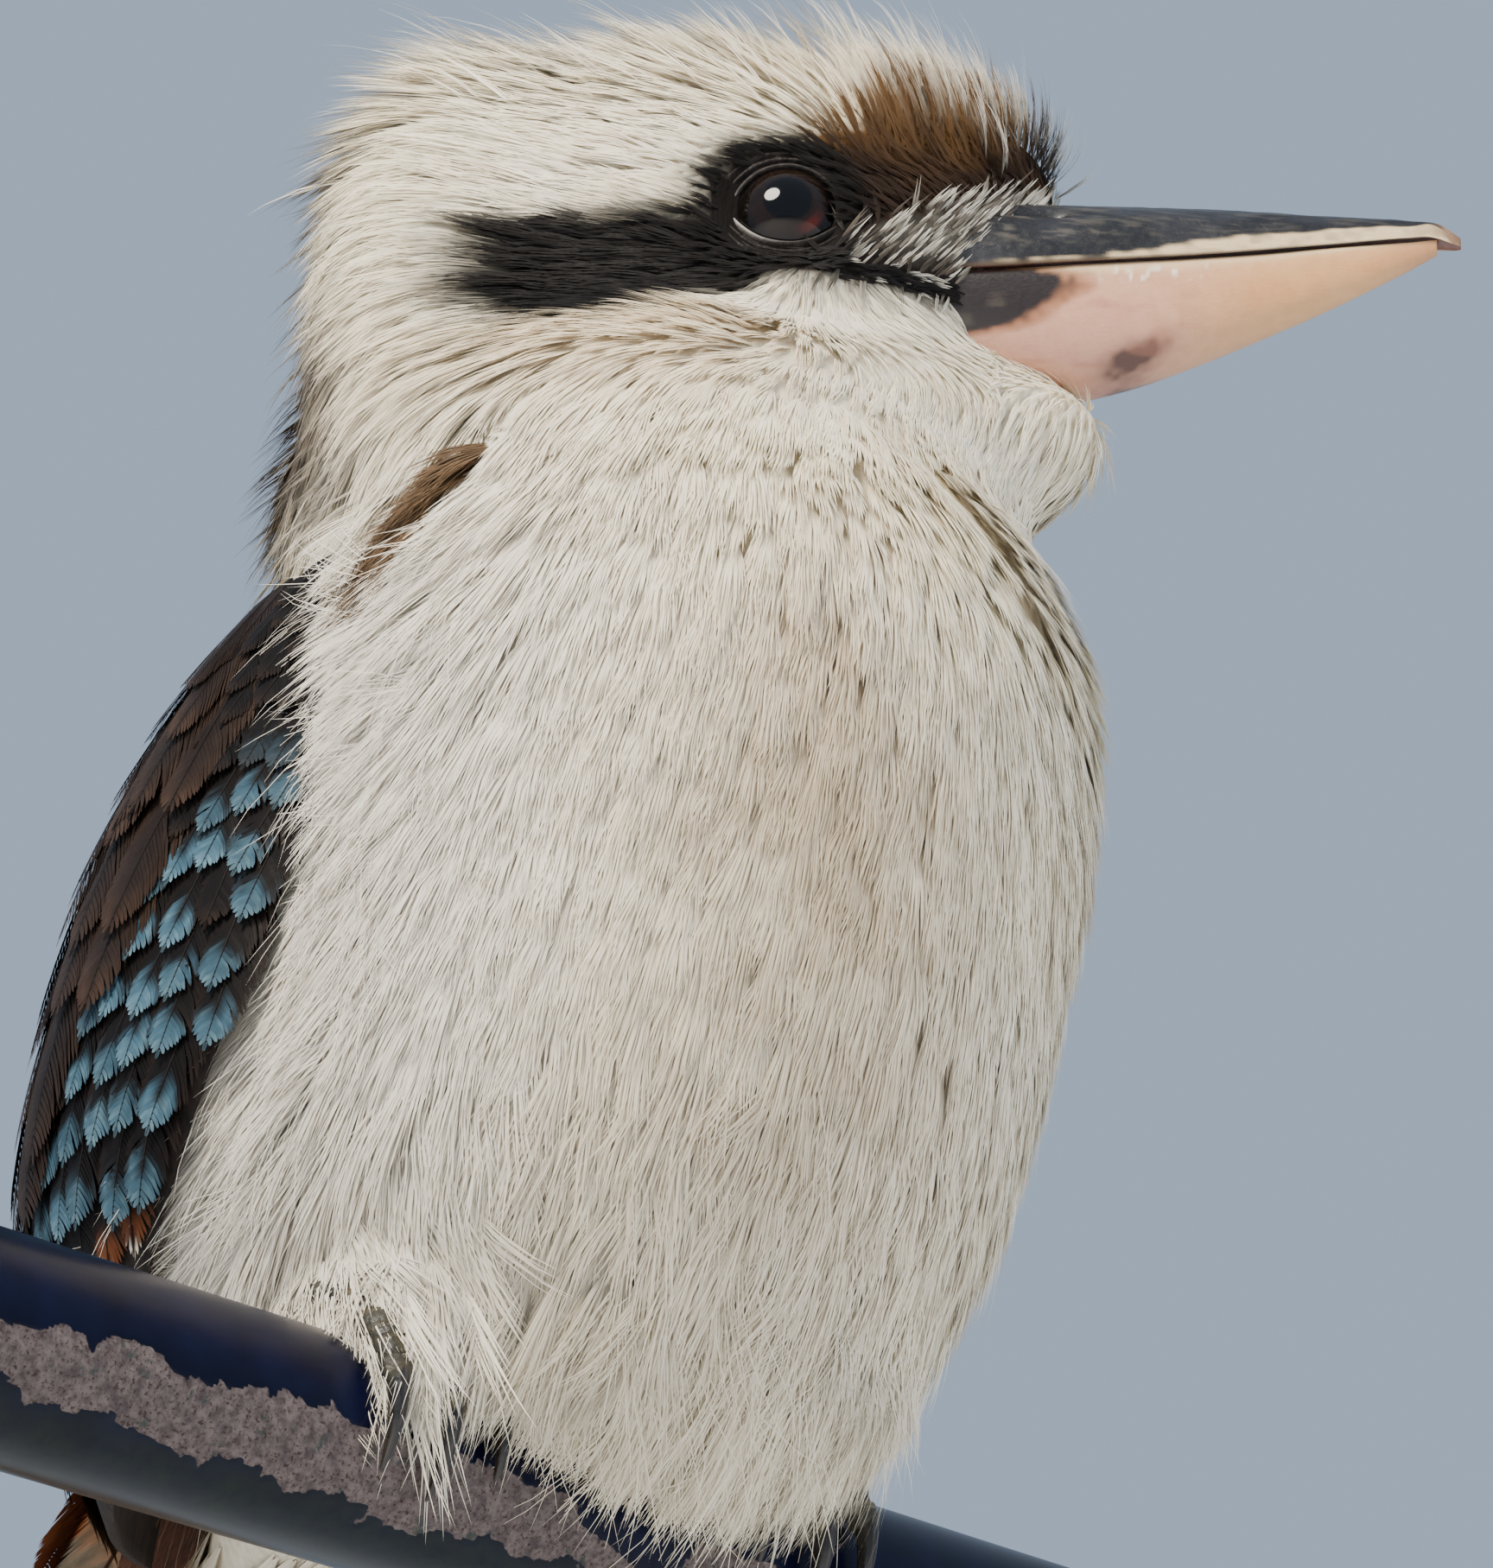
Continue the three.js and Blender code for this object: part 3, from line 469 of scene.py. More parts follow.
class Nodes:
    """Short hand for a material's node tree."""

    def __init__(self, name):
        self.m = bpy.data.materials.new(name)
        self.m.use_nodes = True
        self.t = self.m.node_tree
        self.t.nodes.clear()
        self.out = self.t.nodes.new("ShaderNodeOutputMaterial")
        self.b = self.t.nodes.new("ShaderNodeBsdfPrincipled")
        self.link(self.b.outputs[0], self.out.inputs[0])

    def link(self, a, b):
        self.t.links.new(a, b)

    def node(self, kind, **kw):
        n = self.t.nodes.new(kind)
        for k, v in kw.items():
            setattr(n, k, v)
        return n

    def put(self, socket, value):
        if isinstance(value, bpy.types.NodeSocket):
            self.link(value, socket)
        elif hasattr(socket.default_value, "__len__") and not isinstance(value, (int, float)):
            v = list(value)
            if len(socket.default_value) == 4 and len(v) == 3:
                v = v + [1.0]
            socket.default_value = v
        else:
            socket.default_value = value

    def set(self, **kw):
        for k, v in kw.items():
            self.put(self.b.inputs[k.replace("_", " ")], v)

    def coords(self, kind="Object"):
        return self.node("ShaderNodeTexCoord").outputs[kind]

    def attr(self, name, out="Color"):
        n = self.node("ShaderNodeAttribute", attribute_name=name)
        n.attribute_type = "GEOMETRY"
        return n.outputs[out]

    def noise(self, vector, scale, detail=4.0, rough=0.55, dist=0.0, out="Fac"):
        n = self.node("ShaderNodeTexNoise")
        self.put(n.inputs["Vector"], vector)
        self.put(n.inputs["Scale"], scale)
        self.put(n.inputs["Detail"], detail)
        self.put(n.inputs["Roughness"], rough)
        self.put(n.inputs["Distortion"], dist)
        return n.outputs[out]

    def voronoi(self, vector, scale, feature="F1", out="Distance", rand=1.0):
        n = self.node("ShaderNodeTexVoronoi", feature=feature)
        self.put(n.inputs["Vector"], vector)
        self.put(n.inputs["Scale"], scale)
        self.put(n.inputs["Randomness"], rand)
        return n.outputs[out]

    def math(self, op, a, b=0.0, c=0.0, clamp=False):
        n = self.node("ShaderNodeMath", operation=op, use_clamp=clamp)
        self.put(n.inputs[0], a)
        self.put(n.inputs[1], b)
        if op in ("MULTIPLY_ADD", "SMOOTH_MIN"):
            self.put(n.inputs[2], c)
        return n.outputs[0]

    def ramp(self, value, a, b, to0=0.0, to1=1.0, smooth=True):
        n = self.node("ShaderNodeMapRange", interpolation_type="SMOOTHSTEP" if smooth else "LINEAR")
        self.put(n.inputs["Value"], value)
        self.put(n.inputs["From Min"], a)
        self.put(n.inputs["From Max"], b)
        self.put(n.inputs["To Min"], to0)
        self.put(n.inputs["To Max"], to1)
        return n.outputs["Result"]

    def mix(self, fac, a, b, blend="MIX"):
        n = self.node("ShaderNodeMix", data_type="RGBA", blend_type=blend)
        self.put(n.inputs[0], fac)
        self.put(n.inputs[6], a)
        self.put(n.inputs[7], b)
        return n.outputs[2]

    def bump(self, height, distance, strength=1.0):
        n = self.node("ShaderNodeBump")
        self.put(n.inputs["Height"], height)
        self.put(n.inputs["Distance"], distance)
        self.put(n.inputs["Strength"], strength)
        self.link(n.outputs[0], self.b.inputs["Normal"])
        return n.outputs[0]

    def scale(self, vector, x, y, z):
        n = self.node("ShaderNodeMapping")
        self.put(n.inputs["Vector"], vector)
        self.put(n.inputs["Scale"], (x, y, z))
        return n.outputs[0]


# ---------------------------------------------------------------- skin
SKIN_H = 2.4
skin_v, skin_q = surface_nets(skin_field, (-74, -88, -34), (74, 96, 214), SKIN_H)
skin_v = onto(skin_field, skin_v)
skin_n = unit(grad(skin_field, skin_v))


def charts(p, centre):
    """The skin's own unwrap: the body rolled out round its upright axis, the head round the line of the bill."""
    h = headness(centre) > 0.5
    ang = np.arctan2(p[..., 0], -(p[..., 1] - 6))
    mid = np.arctan2(centre[..., 0], -(centre[..., 1] - 6))
    ang = mid + np.mod(ang - mid + PI, 2 * PI) - PI
    body = np.stack([0.04 + 0.56 * (ang + PI) / (2 * PI), 0.04 + 0.9 * (p[..., 2] + 36) / 190], -1)
    q, c = to_head(p), to_head(centre)
    roll = np.arctan2(q[..., 1], q[..., 2] + 10)
    rmid = np.arctan2(c[..., 1], c[..., 2] + 10)
    roll = rmid + np.mod(roll - rmid + PI, 2 * PI) - PI
    head = np.stack([0.66 + 0.30 * (q[..., 0] + 62) / 122, 0.04 + 0.92 * (roll + PI) / (2 * PI)], -1)
    return np.clip(np.where(h[..., None], head, body), 0.003, 0.997)


def make_skin():
    m = Nodes("skin_coat")
    co = m.coords()
    fine = m.noise(m.scale(co, 1, 1, 0.35), 900.0, 3.0, 0.6)
    base = m.mix(m.ramp(fine, 0.3, 0.75), m.attr("Col"), m.mix(1.0, m.attr("Col"), (0.84, 0.82, 0.80), "MULTIPLY"))
    m.set(Base_Color=base, Roughness=0.85)
    m.put(m.b.inputs["Specular IOR Level"], 0.15)
    m.bump(fine, 0.0006, 0.6)
    o = mesh_of("skin", skin_v, skin_q, material=m.m)
    q = to_head(skin_v)
    c = markings(skin_v) * 0.94
    c = lerp(c, srgb(32, 27, 25), lore_place(q[:, 0], q[:, 2]) * headness(skin_v) * step(6, 9, np.abs(q[:, 1])) * 0.9)
    line = step(-20.0, -18.5, q[:, 2]) * step(-11.5, -13.5, q[:, 2]) * step(13, 16, q[:, 0]) * step(46, 42, q[:, 0]) * step(8, 11, np.abs(q[:, 1]))
    c = lerp(c, srgb(26, 21, 19), line * headness(skin_v) * 0.95)
    paint(o, c)
    mid = skin_v[skin_q].mean(1)
    uv = charts(skin_v[skin_q], mid[:, None, :].repeat(4, 1))
    set_loop_uv(o, uv.reshape(-1, 2))
    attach(o, "root")
    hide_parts("trunk", "neck", "head")
    return o


skin = make_skin()


# ---------------------------------------------------------------- where feathers grow
def scatter(spacing, keep, seed):
    """Roots spread over the skin: spacing(p) gives the gap between them, keep(p) where they grow."""
    r = rng(seed)
    tri = np.concatenate([skin_q[:, [0, 1, 2]], skin_q[:, [0, 2, 3]]])
    A, B, C = skin_v[tri[:, 0]], skin_v[tri[:, 1]], skin_v[tri[:, 2]]
    area = np.linalg.norm(np.cross(B - A, C - A), axis=1) / 2
    mid = (A + B + C) / 3
    gap = spacing(mid)
    want = area / (0.866 * gap * gap) * 4.0 * keep(mid)
    count = np.floor(want + r.random(len(want))).astype(int)
    idx = np.repeat(np.arange(len(tri)), count)
    u, v = r.random(len(idx)), r.random(len(idx))
    flip = u + v > 1
    u[flip], v[flip] = 1 - u[flip], 1 - v[flip]
    p = A[idx] + (B - A)[idx] * u[:, None] + (C - A)[idx] * v[:, None]
    order = r.permutation(len(p))
    p = p[order]
    gap = spacing(p)
    cell = float(gap.max())
    taken = {}
    out = []
    keys = np.floor(p / cell).astype(int)
    for i in range(len(p)):
        k = (keys[i][0], keys[i][1], keys[i][2])
        pi = p[i]
        gi = gap[i] * 0.82
        ok = True
        for a in (-1, 0, 1):
            for b in (-1, 0, 1):
                for c in (-1, 0, 1):
                    for j in taken.get((k[0] + a, k[1] + b, k[2] + c), ()):
                        d0 = p[j][0] - pi[0]
                        d1 = p[j][1] - pi[1]
                        d2 = p[j][2] - pi[2]
                        if d0 * d0 + d1 * d1 + d2 * d2 < gi * gi:
                            ok = False
                            break
                    if not ok:
                        break
                if not ok:
                    break
            if not ok:
                break
        if ok:
            taken.setdefault(k, []).append(i)
            out.append(i)
    p = onto(skin_field, p[out], 1)
    return p, unit(grad(skin_field, p))


def toe_cover(p):
    """1 on the flank's lower edge, whose feathers bulge over the right foot's outer toe."""
    X, Y, Z = p[..., 0], p[..., 1], p[..., 2]
    return step(-34, -45, X) * step(14, 3, Y) * step(-28, -18, Y) * step(30, 18, Z) * step(-4, 2, Z)


def flow(p, n):
    """Lie of the coat: the direction feathers point, along the skin."""
    q = to_head(p)
    h = headness(p)
    x, y, z = q[..., 0], q[..., 1], q[..., 2]
    X, Y, Z = p[..., 0], p[..., 1], p[..., 2]
    # body: down, spreading sideways over the breast, back under the belly, straight down before the feet
    side = np.clip(X / 55, -1, 1)
    under = step(24, 0, Z) * step(-34, -16, Y)
    body = np.stack([0.30 * side * step(120, 60, Z) + 0.16 * side, 0.04 + 0.55 * under + 0.25 * step(10, 40, Y), -np.ones_like(X)], -1)
    # forward over the right foot's outer toe
    over = toe_cover(p)
    body = mix(body, np.array([-0.42, -0.40, -0.81]), over[..., None])
    # turned back over the wing's front edge
    turn = step(-40, -8, wing_edge(p)) * step(0, 16, Z)
    body = mix(body, np.stack([0.1 * side, 1.15 + 0 * X, -0.75 + 0.35 * step(60, 100, Z)], -1), (turn * 0.85)[..., None])
    # head: back from the bill, sinking below the eye and down over the throat
    hx = -1.0 + 0 * x
    hz = 0.16 - 0.42 * step(-6, -28, z) - 0.55 * step(-24, -42, x)
    down = step(-33, -47, z)
    hz = hz - 1.1 * down
    hx = hx * (1 - 0.62 * down)
    hy = 0.10 * np.sign(y)
    chin = step(8, 18, x) * step(-27, -33, z)
    hx = mix(hx, -0.40, chin)
    hz = mix(hz, -1.0, chin)
    # forward and up over the lores, forward and down over the edge of the lower bill
    up_ = step(16.5, 20, x) * step(-17.5, -15.5, z) * step(2, -1, z - lore_top(x))
    hx = mix(hx, 0.75, up_)
    hz = mix(hz, 0.62, up_)
    gape = step(3, 29, x) * step(44, 36, x) * step(-16.0, -18.0, z) * step(-36, -28, z)
    hx = mix(hx, 0.80, gape)
    hz = mix(hz, -0.42, gape) - 2.4 * gape * (1 - gape)
    fore = step(14, 26, x) * step(-3, 3, z - 0.25 * (x - 20))
    hz = mix(hz, 1.3, fore * 0.7)
    head = hx[..., None] * HX + hy[..., None] * HL + hz[..., None] * HZ
    d = mix(body, head, h[..., None])
    d = d - (d * n).sum(-1, keepdims=True) * n
    return unit(d)

BILL = dict(
    x=[24, 34, 44, 51, 60, 70, 80, 90, 99, 104, 106.4],
    ridge=[3.0, 2.8, 2.5, 2.2, 1.9, 1.4, 0.7, -0.1, -1.0, -1.9, -3.8],
    edge=[-14.0, -12.8, -11.8, -11.0, -10.0, -8.9, -7.6, -6.2, -4.9, -4.3, -4.4],
    half=[15.0, 13.8, 12.3, 11.0, 9.3, 7.5, 5.8, 4.1, 2.6, 1.5, 0.5],
    lowX=[24, 34, 44, 51, 60, 70, 80, 90, 98, 103],
    keel=[-22.0, -25.0, -26.6, -26.4, -24.6, -21.2, -17.2, -12.8, -8.9, -6.2],
    lowHalf=[14.0, 13.0, 11.6, 10.4, 8.8, 7.1, 5.4, 3.8, 2.2, 1.2],
)


def in_bill(q):
    """True where a point (head axes) lies inside the bill's own horn."""
    x, y, z = q[:, 0], q[:, 1], q[:, 2]
    e = curve(x, BILL["x"], BILL["edge"])
    upper = z > e
    w = np.where(upper, curve(x, BILL["x"], BILL["half"]), curve(x, BILL["lowX"], BILL["lowHalf"]))
    top = np.where(upper, curve(x, BILL["x"], BILL["ridge"]), curve(x, BILL["lowX"], BILL["keel"]))
    return (x > 28) & ((y / w) ** 2 + ((z - e) / (top - e)) ** 2 < 1.0)


# ---------------------------------------------------------------- folds between the feathers of the throat, neck and flank
FOLDS = [
    # strength, then the fold's line over the coat
    (0.5, [(-45, -30, 136), (-33, -51, 133), (-21, -56, 138), (-7, -59, 139), (8, -59, 146)]),
    (0.65, [(-34, -51, 132), (-11, -62, 131), (-2, -66, 125.5), (1, -71.5, 114), (5, -74, 105), (14, -75, 97)]),
    (0.45, [(-31, -61, 119), (-22, -70, 109), (-21, -72, 104)]),
    (0.3, [(-7, -74, 108), (0, -76, 102), (8, -76, 96), (21, -72, 92.5)]),
    (0.7, [(-43, -30, 17.5), (-32, -35, 11), (-25, -40, 6)]),
]


def fold_place(p):
    """Distance to the nearest fold's line, whether the point is above it, and the fold's strength there."""
    best = np.full(len(p), 1e9)
    above = np.zeros(len(p))
    power = np.zeros(len(p))
    for strength, line in FOLDS:
        P = np.array(line, float)
        total = len(P) - 1
        for i in range(total):
            a, b = P[i], P[i + 1]
            ab = b - a
            t = np.clip(((p - a) @ ab) / (ab @ ab), 0, 1)
            near = a + t[:, None] * ab
            d = np.linalg.norm(p - near, axis=1)
            # away from the skin's own depth, only the distance along the surface counts
            g = (i + t) / total
            w = strength * step(0, 0.12, g) * step(1, 0.88, g)
            s = d < best
            best = np.where(s, d, best)
            above = np.where(s, (p - near)[:, 2] + 0.35 * (p - near)[:, 0], above)
            power = np.where(s, w, power)
    return best, above, power


def fold_depth(p):
    """How far the skin sinks along a fold."""
    out = np.zeros(len(p))
    m = (p[:, 2] < 160) & (p[:, 1] < 0) & (p[:, 1] > -90)
    q = p[m] + unit(grad(skin_field, p[m])) * depth(p[m])[:, None] * 0.8
    d, above, w = fold_place(q)
    out[m] = 2.6 * w * np.exp(-((d / 2.6) ** 2)) * np.where(above < 0, 1.0, 0.55)
    return out


def fold_lip(p):
    """1 for the short feathers that stand along a fold's upper lip."""
    out = np.zeros(len(p))
    m = (p[:, 2] < 160) & (p[:, 1] < 0) & (p[:, 1] > -90)
    q = p[m] + unit(grad(skin_field, p[m])) * depth(p[m])[:, None] * 0.8
    d, above, w = fold_place(q)
    out[m] = np.clip(w, 0, 1) * np.exp(-(((d - 5) / 4.5) ** 2)) * (above > 0)
    return out


# ---------------------------------------------------------------- feathers as heaps of thin strips
STRIP = np.array([[0, 1, 3, 2], [2, 3, 5, 4]])
STRIP_END = np.array([4, 5, 6])
T7 = np.array([0, 0, 0.5, 0.5, 0.8, 0.8, 1.0])


class Heap:
    """Strips of seven points each (two quads and an end triangle), gathered into joined meshes."""

    def __init__(self):
        self.v, self.n, self.c, self.t = [], [], [], []

    def add(self, V, N, C, T):
        self.v.append(V.reshape(-1, 7, 3).astype(np.float32))
        self.n.append(N.reshape(-1, 7, 3).astype(np.float32))
        self.c.append(C.reshape(-1, 7, 3).astype(np.float32))
        self.t.append(T.reshape(-1, 7, 2).astype(np.float32))

    def build(self, name, material, most=190000):
        V, N, C, T = (np.concatenate(a) for a in (self.v, self.n, self.c, self.t))
        total = len(V)
        parts = int(math.ceil(total * 5 / most))
        per = int(math.ceil(total / parts))
        made = []
        for g in range(parts):
            s = slice(g * per, min(total, (g + 1) * per))
            v = V[s]
            M = len(v)
            base = (np.arange(M) * 7)[:, None]
            # each strip's front side faces the way its normals point
            gn = np.cross(v[:, 1] - v[:, 0], v[:, 3] - v[:, 1])
            flip = ((gn * N[s][:, 0]).sum(-1) < 0)[:, None]
            q = np.where(flip, STRIP[0][::-1], STRIP[0]), np.where(flip, STRIP[1][::-1], STRIP[1]), np.where(flip, STRIP_END[::-1], STRIP_END)
            loops = np.concatenate([base + q[0], base + q[1], base + q[2]], 1).ravel()
            totals = np.tile([4, 4, 3], M)
            starts = np.concatenate([[0], np.cumsum(totals)[:-1]])
            o = mesh_of(f"{name}_{g + 1}" if parts > 1 else name, v.reshape(-1, 3), loops=loops, starts=starts, totals=totals, material=material)
            paint(o, C[s].reshape(-1, 3))
            set_uv(o, T[s].reshape(-1, 2))
            o.data.normals_split_custom_set_from_vertices(N[s].reshape(-1, 3))
            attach(o, "root")
            made.append(o)
        print(name, total * 5, "triangles")
        return made


def arc(along, lift0, lift1, length):
    """Distance out along the skin and height above it, after a way `along` on an arc that starts at lift0 and ends at lift1."""
    d = lift1 - lift0
    d = np.where(np.abs(d) < 1e-4, 1e-4, d)
    a = lift0 + d * along / length
    return (np.sin(a) - np.sin(lift0)) * length / d, (np.cos(lift0) - np.cos(a)) * length / d


def tufts(heap, root, normal, lie, length, width, lift0, lift1, strips, seed, colour_base, colour_tip, barb=0.30, ragged=0.10,
          round_tip=0.30, point=0.0, fluff=0.10, wave=0.0, gap=0.14, shade=0.3, cell=0.003, tone=0.025, droop=0.0, slim=0.6,
          widths=(1.25, 1.25, 0.62)):
    """Feathers as fans of thin barbs. Arrays hold one value for each feather; strips is how many barbs each has."""
    r = rng(seed)
    N, K = len(root), strips
    if not N:
        return
    side = unit(np.cross(normal, lie))
    u = np.linspace(-1, 1, K)[None, :] + r.normal(0, 0.4 / K, (N, K))
    L = length[:, None] * (1 - round_tip * u**2) * (1 + r.normal(0, ragged, (N, K)))
    start = gap * (1 - 0.6 * np.abs(u)) * r.uniform(0.5, 1.0, (N, K))
    l0 = lift0[:, None] + r.normal(0, 0.02, (N, K))
    l1 = lift1[:, None] + r.normal(0, 0.03, (N, K)) * (1 + 7 * fluff)
    bend = r.normal(0, fluff, (N, K)) * width[:, None]
    curl = r.normal(0, wave, (N, 1)) + r.normal(0, wave * 0.35, (N, K))
    stations = np.array([0.0, 0.5, 0.8, 1.0])
    pts = np.empty((N, K, 4, 3))
    for k, s in enumerate(stations):
        along = (start + (1 - start) * s) * L
        f = along / length[:, None]
        out, up = arc(along, l0, l1, length[:, None])
        lateral = width[:, None] * u * f ** slim * (1 - point * f**1.5) + bend * s * s + curl * along * f
        pts[:, :, k] = root[:, None] + lie[:, None] * out[..., None] + side[:, None] * lateral[..., None] + normal[:, None] * up[..., None]
        if droop:
            pts[:, :, k, 2] -= droop * along**2 / 100.0
    tang = unit(pts[:, :, 1:] - pts[:, :, :-1])
    tang = np.concatenate([tang, tang[:, :, -1:]], 2)
    nn = np.broadcast_to(normal[:, None, None], tang.shape)
    across = unit(np.cross(nn, tang))
    w = (barb * np.array(widths))[None, None] * (1 + r.normal(0, 0.14, (N, K, 1)))
    V = np.empty((N, K, 7, 3))
    V[:, :, 0:6:2] = pts[:, :, :3] - across[:, :, :3] * (w / 2)[..., None]
    V[:, :, 1:6:2] = pts[:, :, :3] + across[:, :, :3] * (w / 2)[..., None]
    V[:, :, 6] = pts[:, :, 3]
    own = unit(np.cross(tang, across))
    own = np.where((own * nn).sum(-1, keepdims=True) < 0, -own, own)
    tilt = across * (u * 0.35)[..., None, None]
    nrm = unit(nn * (1 - shade) + own * shade + tilt * 0.6)
    VN = np.empty((N, K, 7, 3), np.float32)
    VN[:, :, 0:6:2] = nrm[:, :, :3]
    VN[:, :, 1:6:2] = nrm[:, :, :3]
    VN[:, :, 6] = nrm[:, :, 3]
    C = np.empty((N, K, 7, 3), np.float32)
    tn = (1 + r.normal(0, tone, (N, 1, 1))) * (1 + r.normal(0, tone, (N, K, 1)))
    for k in range(7):
        f = T7[k] ** 1.5
        C[:, :, k] = (colour_base * (1 - f) + colour_tip * f)[:, None] * tn
    uvr = charts(root, root)
    UV = np.empty((N, K, 7, 2), np.float32)
    for k in range(7):
        edge = (-0.3 if k % 2 == 0 else 0.3) if k < 6 else 0.0
        UV[:, :, k, 0] = uvr[:, None, 0] + np.clip(u / 2 + edge / K, -0.5, 0.5) * cell
        UV[:, :, k, 1] = uvr[:, None, 1] + (T7[k] - 0.5) * cell
    heap.add(V, VN, C, UV)


def atlas(n):
    """Corner and size of each of n cells laid out in a square."""
    cols = int(math.ceil(math.sqrt(n)))
    i = np.arange(n)
    return np.stack([(i % cols) / cols, (i // cols) / cols], -1), 1.0 / cols


_ATLAS = atlas(400)


def atlas_part(first, n):
    i = (np.arange(n) + first) % 400
    return _ATLAS[0][i], _ATLAS[1]


def vanes(heap, spine, normal, half, colour_of, barbs, seed, cells, sweep=1.0, camber=0.12, ragged=0.03, splits=0.25, end=0.94,
          shaft=0.5, shaft_colour=None, thick=1.25, shade=0.85, inner=0.0):
    """Flat feathers: barbs on both sides of a shaft. spine and normal are (N, M, 3), half is the (N, M) outline's half width;
    colour_of(i, t, u) gives the colour at t along and u across; cells gives each feather's own square of the unwrap."""
    r = rng(seed)
    N, M = spine.shape[:2]
    run = np.linalg.norm(np.diff(spine, axis=1), axis=2).sum(1)
    corner, size = cells
    grid = np.linspace(0, 1, M)

    def at(values, t):
        """Values (N, M, ...) read at t (N, K)."""
        x = np.clip(t, 0, 1) * (M - 1)
        i = np.minimum(x.astype(int), M - 2)
        f = x - i
        if values.ndim == 3:
            i, f = i[..., None], f[..., None]
        return np.take_along_axis(values, i, 1) * (1 - f) + np.take_along_axis(values, i + 1, 1) * f

    tangent = unit(np.gradient(spine, axis=1))
    side = unit(np.cross(normal, tangent))
    K = barbs
    idx = np.repeat(np.arange(N)[:, None], K, 1)
    most = np.maximum(half.max(1)[:, None], 1e-6)
    for sgn in (-1, 1):
        tb = np.repeat(np.linspace(inner, end, K)[None], N, 0)
        q = (tb - inner) / (end - inner)
        walk = np.cumsum(r.normal(0, 1, (N, K)), 1)
        walk = walk - walk.mean(1, keepdims=True)
        walk = walk / np.maximum(np.abs(walk).max(1, keepdims=True), 1e-6)
        gapn = (r.random((N, K)) < 0.05) * r.uniform(0, 1, (N, K))
        sw = sweep * at(half, tb + 0.08) / run[:, None] * (1 + 0.22 * splits * walk)
        te = tb + sw * (1 - q**3) + (1 - end) * q**3
        H = at(half, np.minimum(te, 1.0)) * (1 + r.normal(0, ragged, (N, K)) + splits * 0.10 * walk - 0.5 * splits * gapn)
        P = np.empty((N, K, 4, 3))
        U = np.empty((N, K, 4))
        TT = np.empty((N, K, 4))
        for k, s in enumerate((0.0, 0.55, 0.88, 1.0)):
            t = tb + (te - tb) * s**1.35
            a = H * s**0.9
            U[:, :, k] = sgn * a / most
            TT[:, :, k] = t
            over = np.maximum(t - 1, 0) * run[:, None]
            P[:, :, k] = (at(spine, t) + at(tangent, t) * over[..., None] + at(side, t) * (sgn * a)[..., None]
                          - at(normal, t) * (camber * a * a / most)[..., None])
        d = unit(P[:, :, 1:] - P[:, :, :-1])
        d = np.concatenate([d, d[:, :, -1:]], 2)
        nb = at(normal, te)[:, :, None].repeat(4, 2)
        across = unit(np.cross(nb, d))
        pitch = run[:, None] * (end - inner) / K * thick
        w = pitch[..., None] * np.array([0.8, 0.85, 0.62])
        w = np.broadcast_to(w, (N, K, 3))
        V = np.empty((N, K, 7, 3))
        V[:, :, 0:6:2] = P[:, :, :3] - across[:, :, :3] * (w / 2)[..., None]
        V[:, :, 1:6:2] = P[:, :, :3] + across[:, :, :3] * (w / 2)[..., None]
        V[:, :, 6] = P[:, :, 3]
        slope = 2 * camber * np.abs(U)
        nrm = unit(nb + at(side, te)[:, :, None] * (sgn * slope)[..., None] * shade + across * r.normal(0, 0.05, (N, K, 1, 1)))
        VN = np.empty((N, K, 7, 3))
        VN[:, :, 0:6:2] = nrm[:, :, :3]
        VN[:, :, 1:6:2] = nrm[:, :, :3]
        VN[:, :, 6] = nrm[:, :, 3]
        C = np.empty((N, K, 7, 3))
        T = np.empty((N, K, 7, 2))
        tone = 1 + r.normal(0, 0.06, (N, K, 1))
        for k in range(7):
            j = (0, 0, 1, 1, 2, 2, 3)[k]
            C[:, :, k] = colour_of(idx, np.clip(TT[:, :, j], 0, 1), U[:, :, j]) * tone
            edge = (-0.35 if k % 2 == 0 else 0.35) if k < 6 else 0.0
            T[:, :, k, 0] = corner[:, None, 0] + size * (0.5 + 0.44 * np.clip(U[:, :, j], -1, 1))
            T[:, :, k, 1] = corner[:, None, 1] + size * np.clip(0.04 + 0.9 * TT[:, :, j] + edge * 0.9 / K, 0.01, 0.99)
        heap.add(V, VN, C, T)
    if shaft:
        J = M - 1
        cc = np.array(shaft_colour if shaft_colour is not None else srgb(60, 42, 30))
        t0 = grid[:-1][None].repeat(N, 0)
        A, B = spine[:, :-1], spine[:, 1:]
        wa = shaft * (1 - 0.8 * grid[:-1])[None, :, None]
        wb = shaft * (1 - 0.8 * grid[1:])[None, :, None]
        rise = normal[:, :-1] * 0.10
        V = np.empty((N, J, 7, 3))
        sd = side[:, :-1]
        mid = (A + B) / 2
        V[:, :, 0] = A - sd * wa / 2 + rise
        V[:, :, 1] = A + sd * wa / 2 + rise
        V[:, :, 2] = mid - sd * (wa + wb) / 4 + rise
        V[:, :, 3] = mid + sd * (wa + wb) / 4 + rise
        V[:, :, 4] = B - sd * wb / 2 + rise
        V[:, :, 5] = B + sd * wb / 2 + rise
        V[:, :, 6] = B + (B - A) * 0.08 + rise
        VN = np.repeat(normal[:, :-1][:, :, None], 7, 2)
        C = np.broadcast_to(cc, VN.shape).copy()
        T = np.empty((N, J, 7, 2))
        for k in range(7):
            f = (0, 0, 0.5, 0.5, 1, 1, 1)[k]
            T[:, :, k, 0] = corner[:, None, 0] + size * (0.5 + (0.01 if k % 2 else -0.01))
            T[:, :, k, 1] = corner[:, None, 1] + size * (0.04 + 0.9 * (t0 + f / J))
        heap.add(V, VN, C, T)


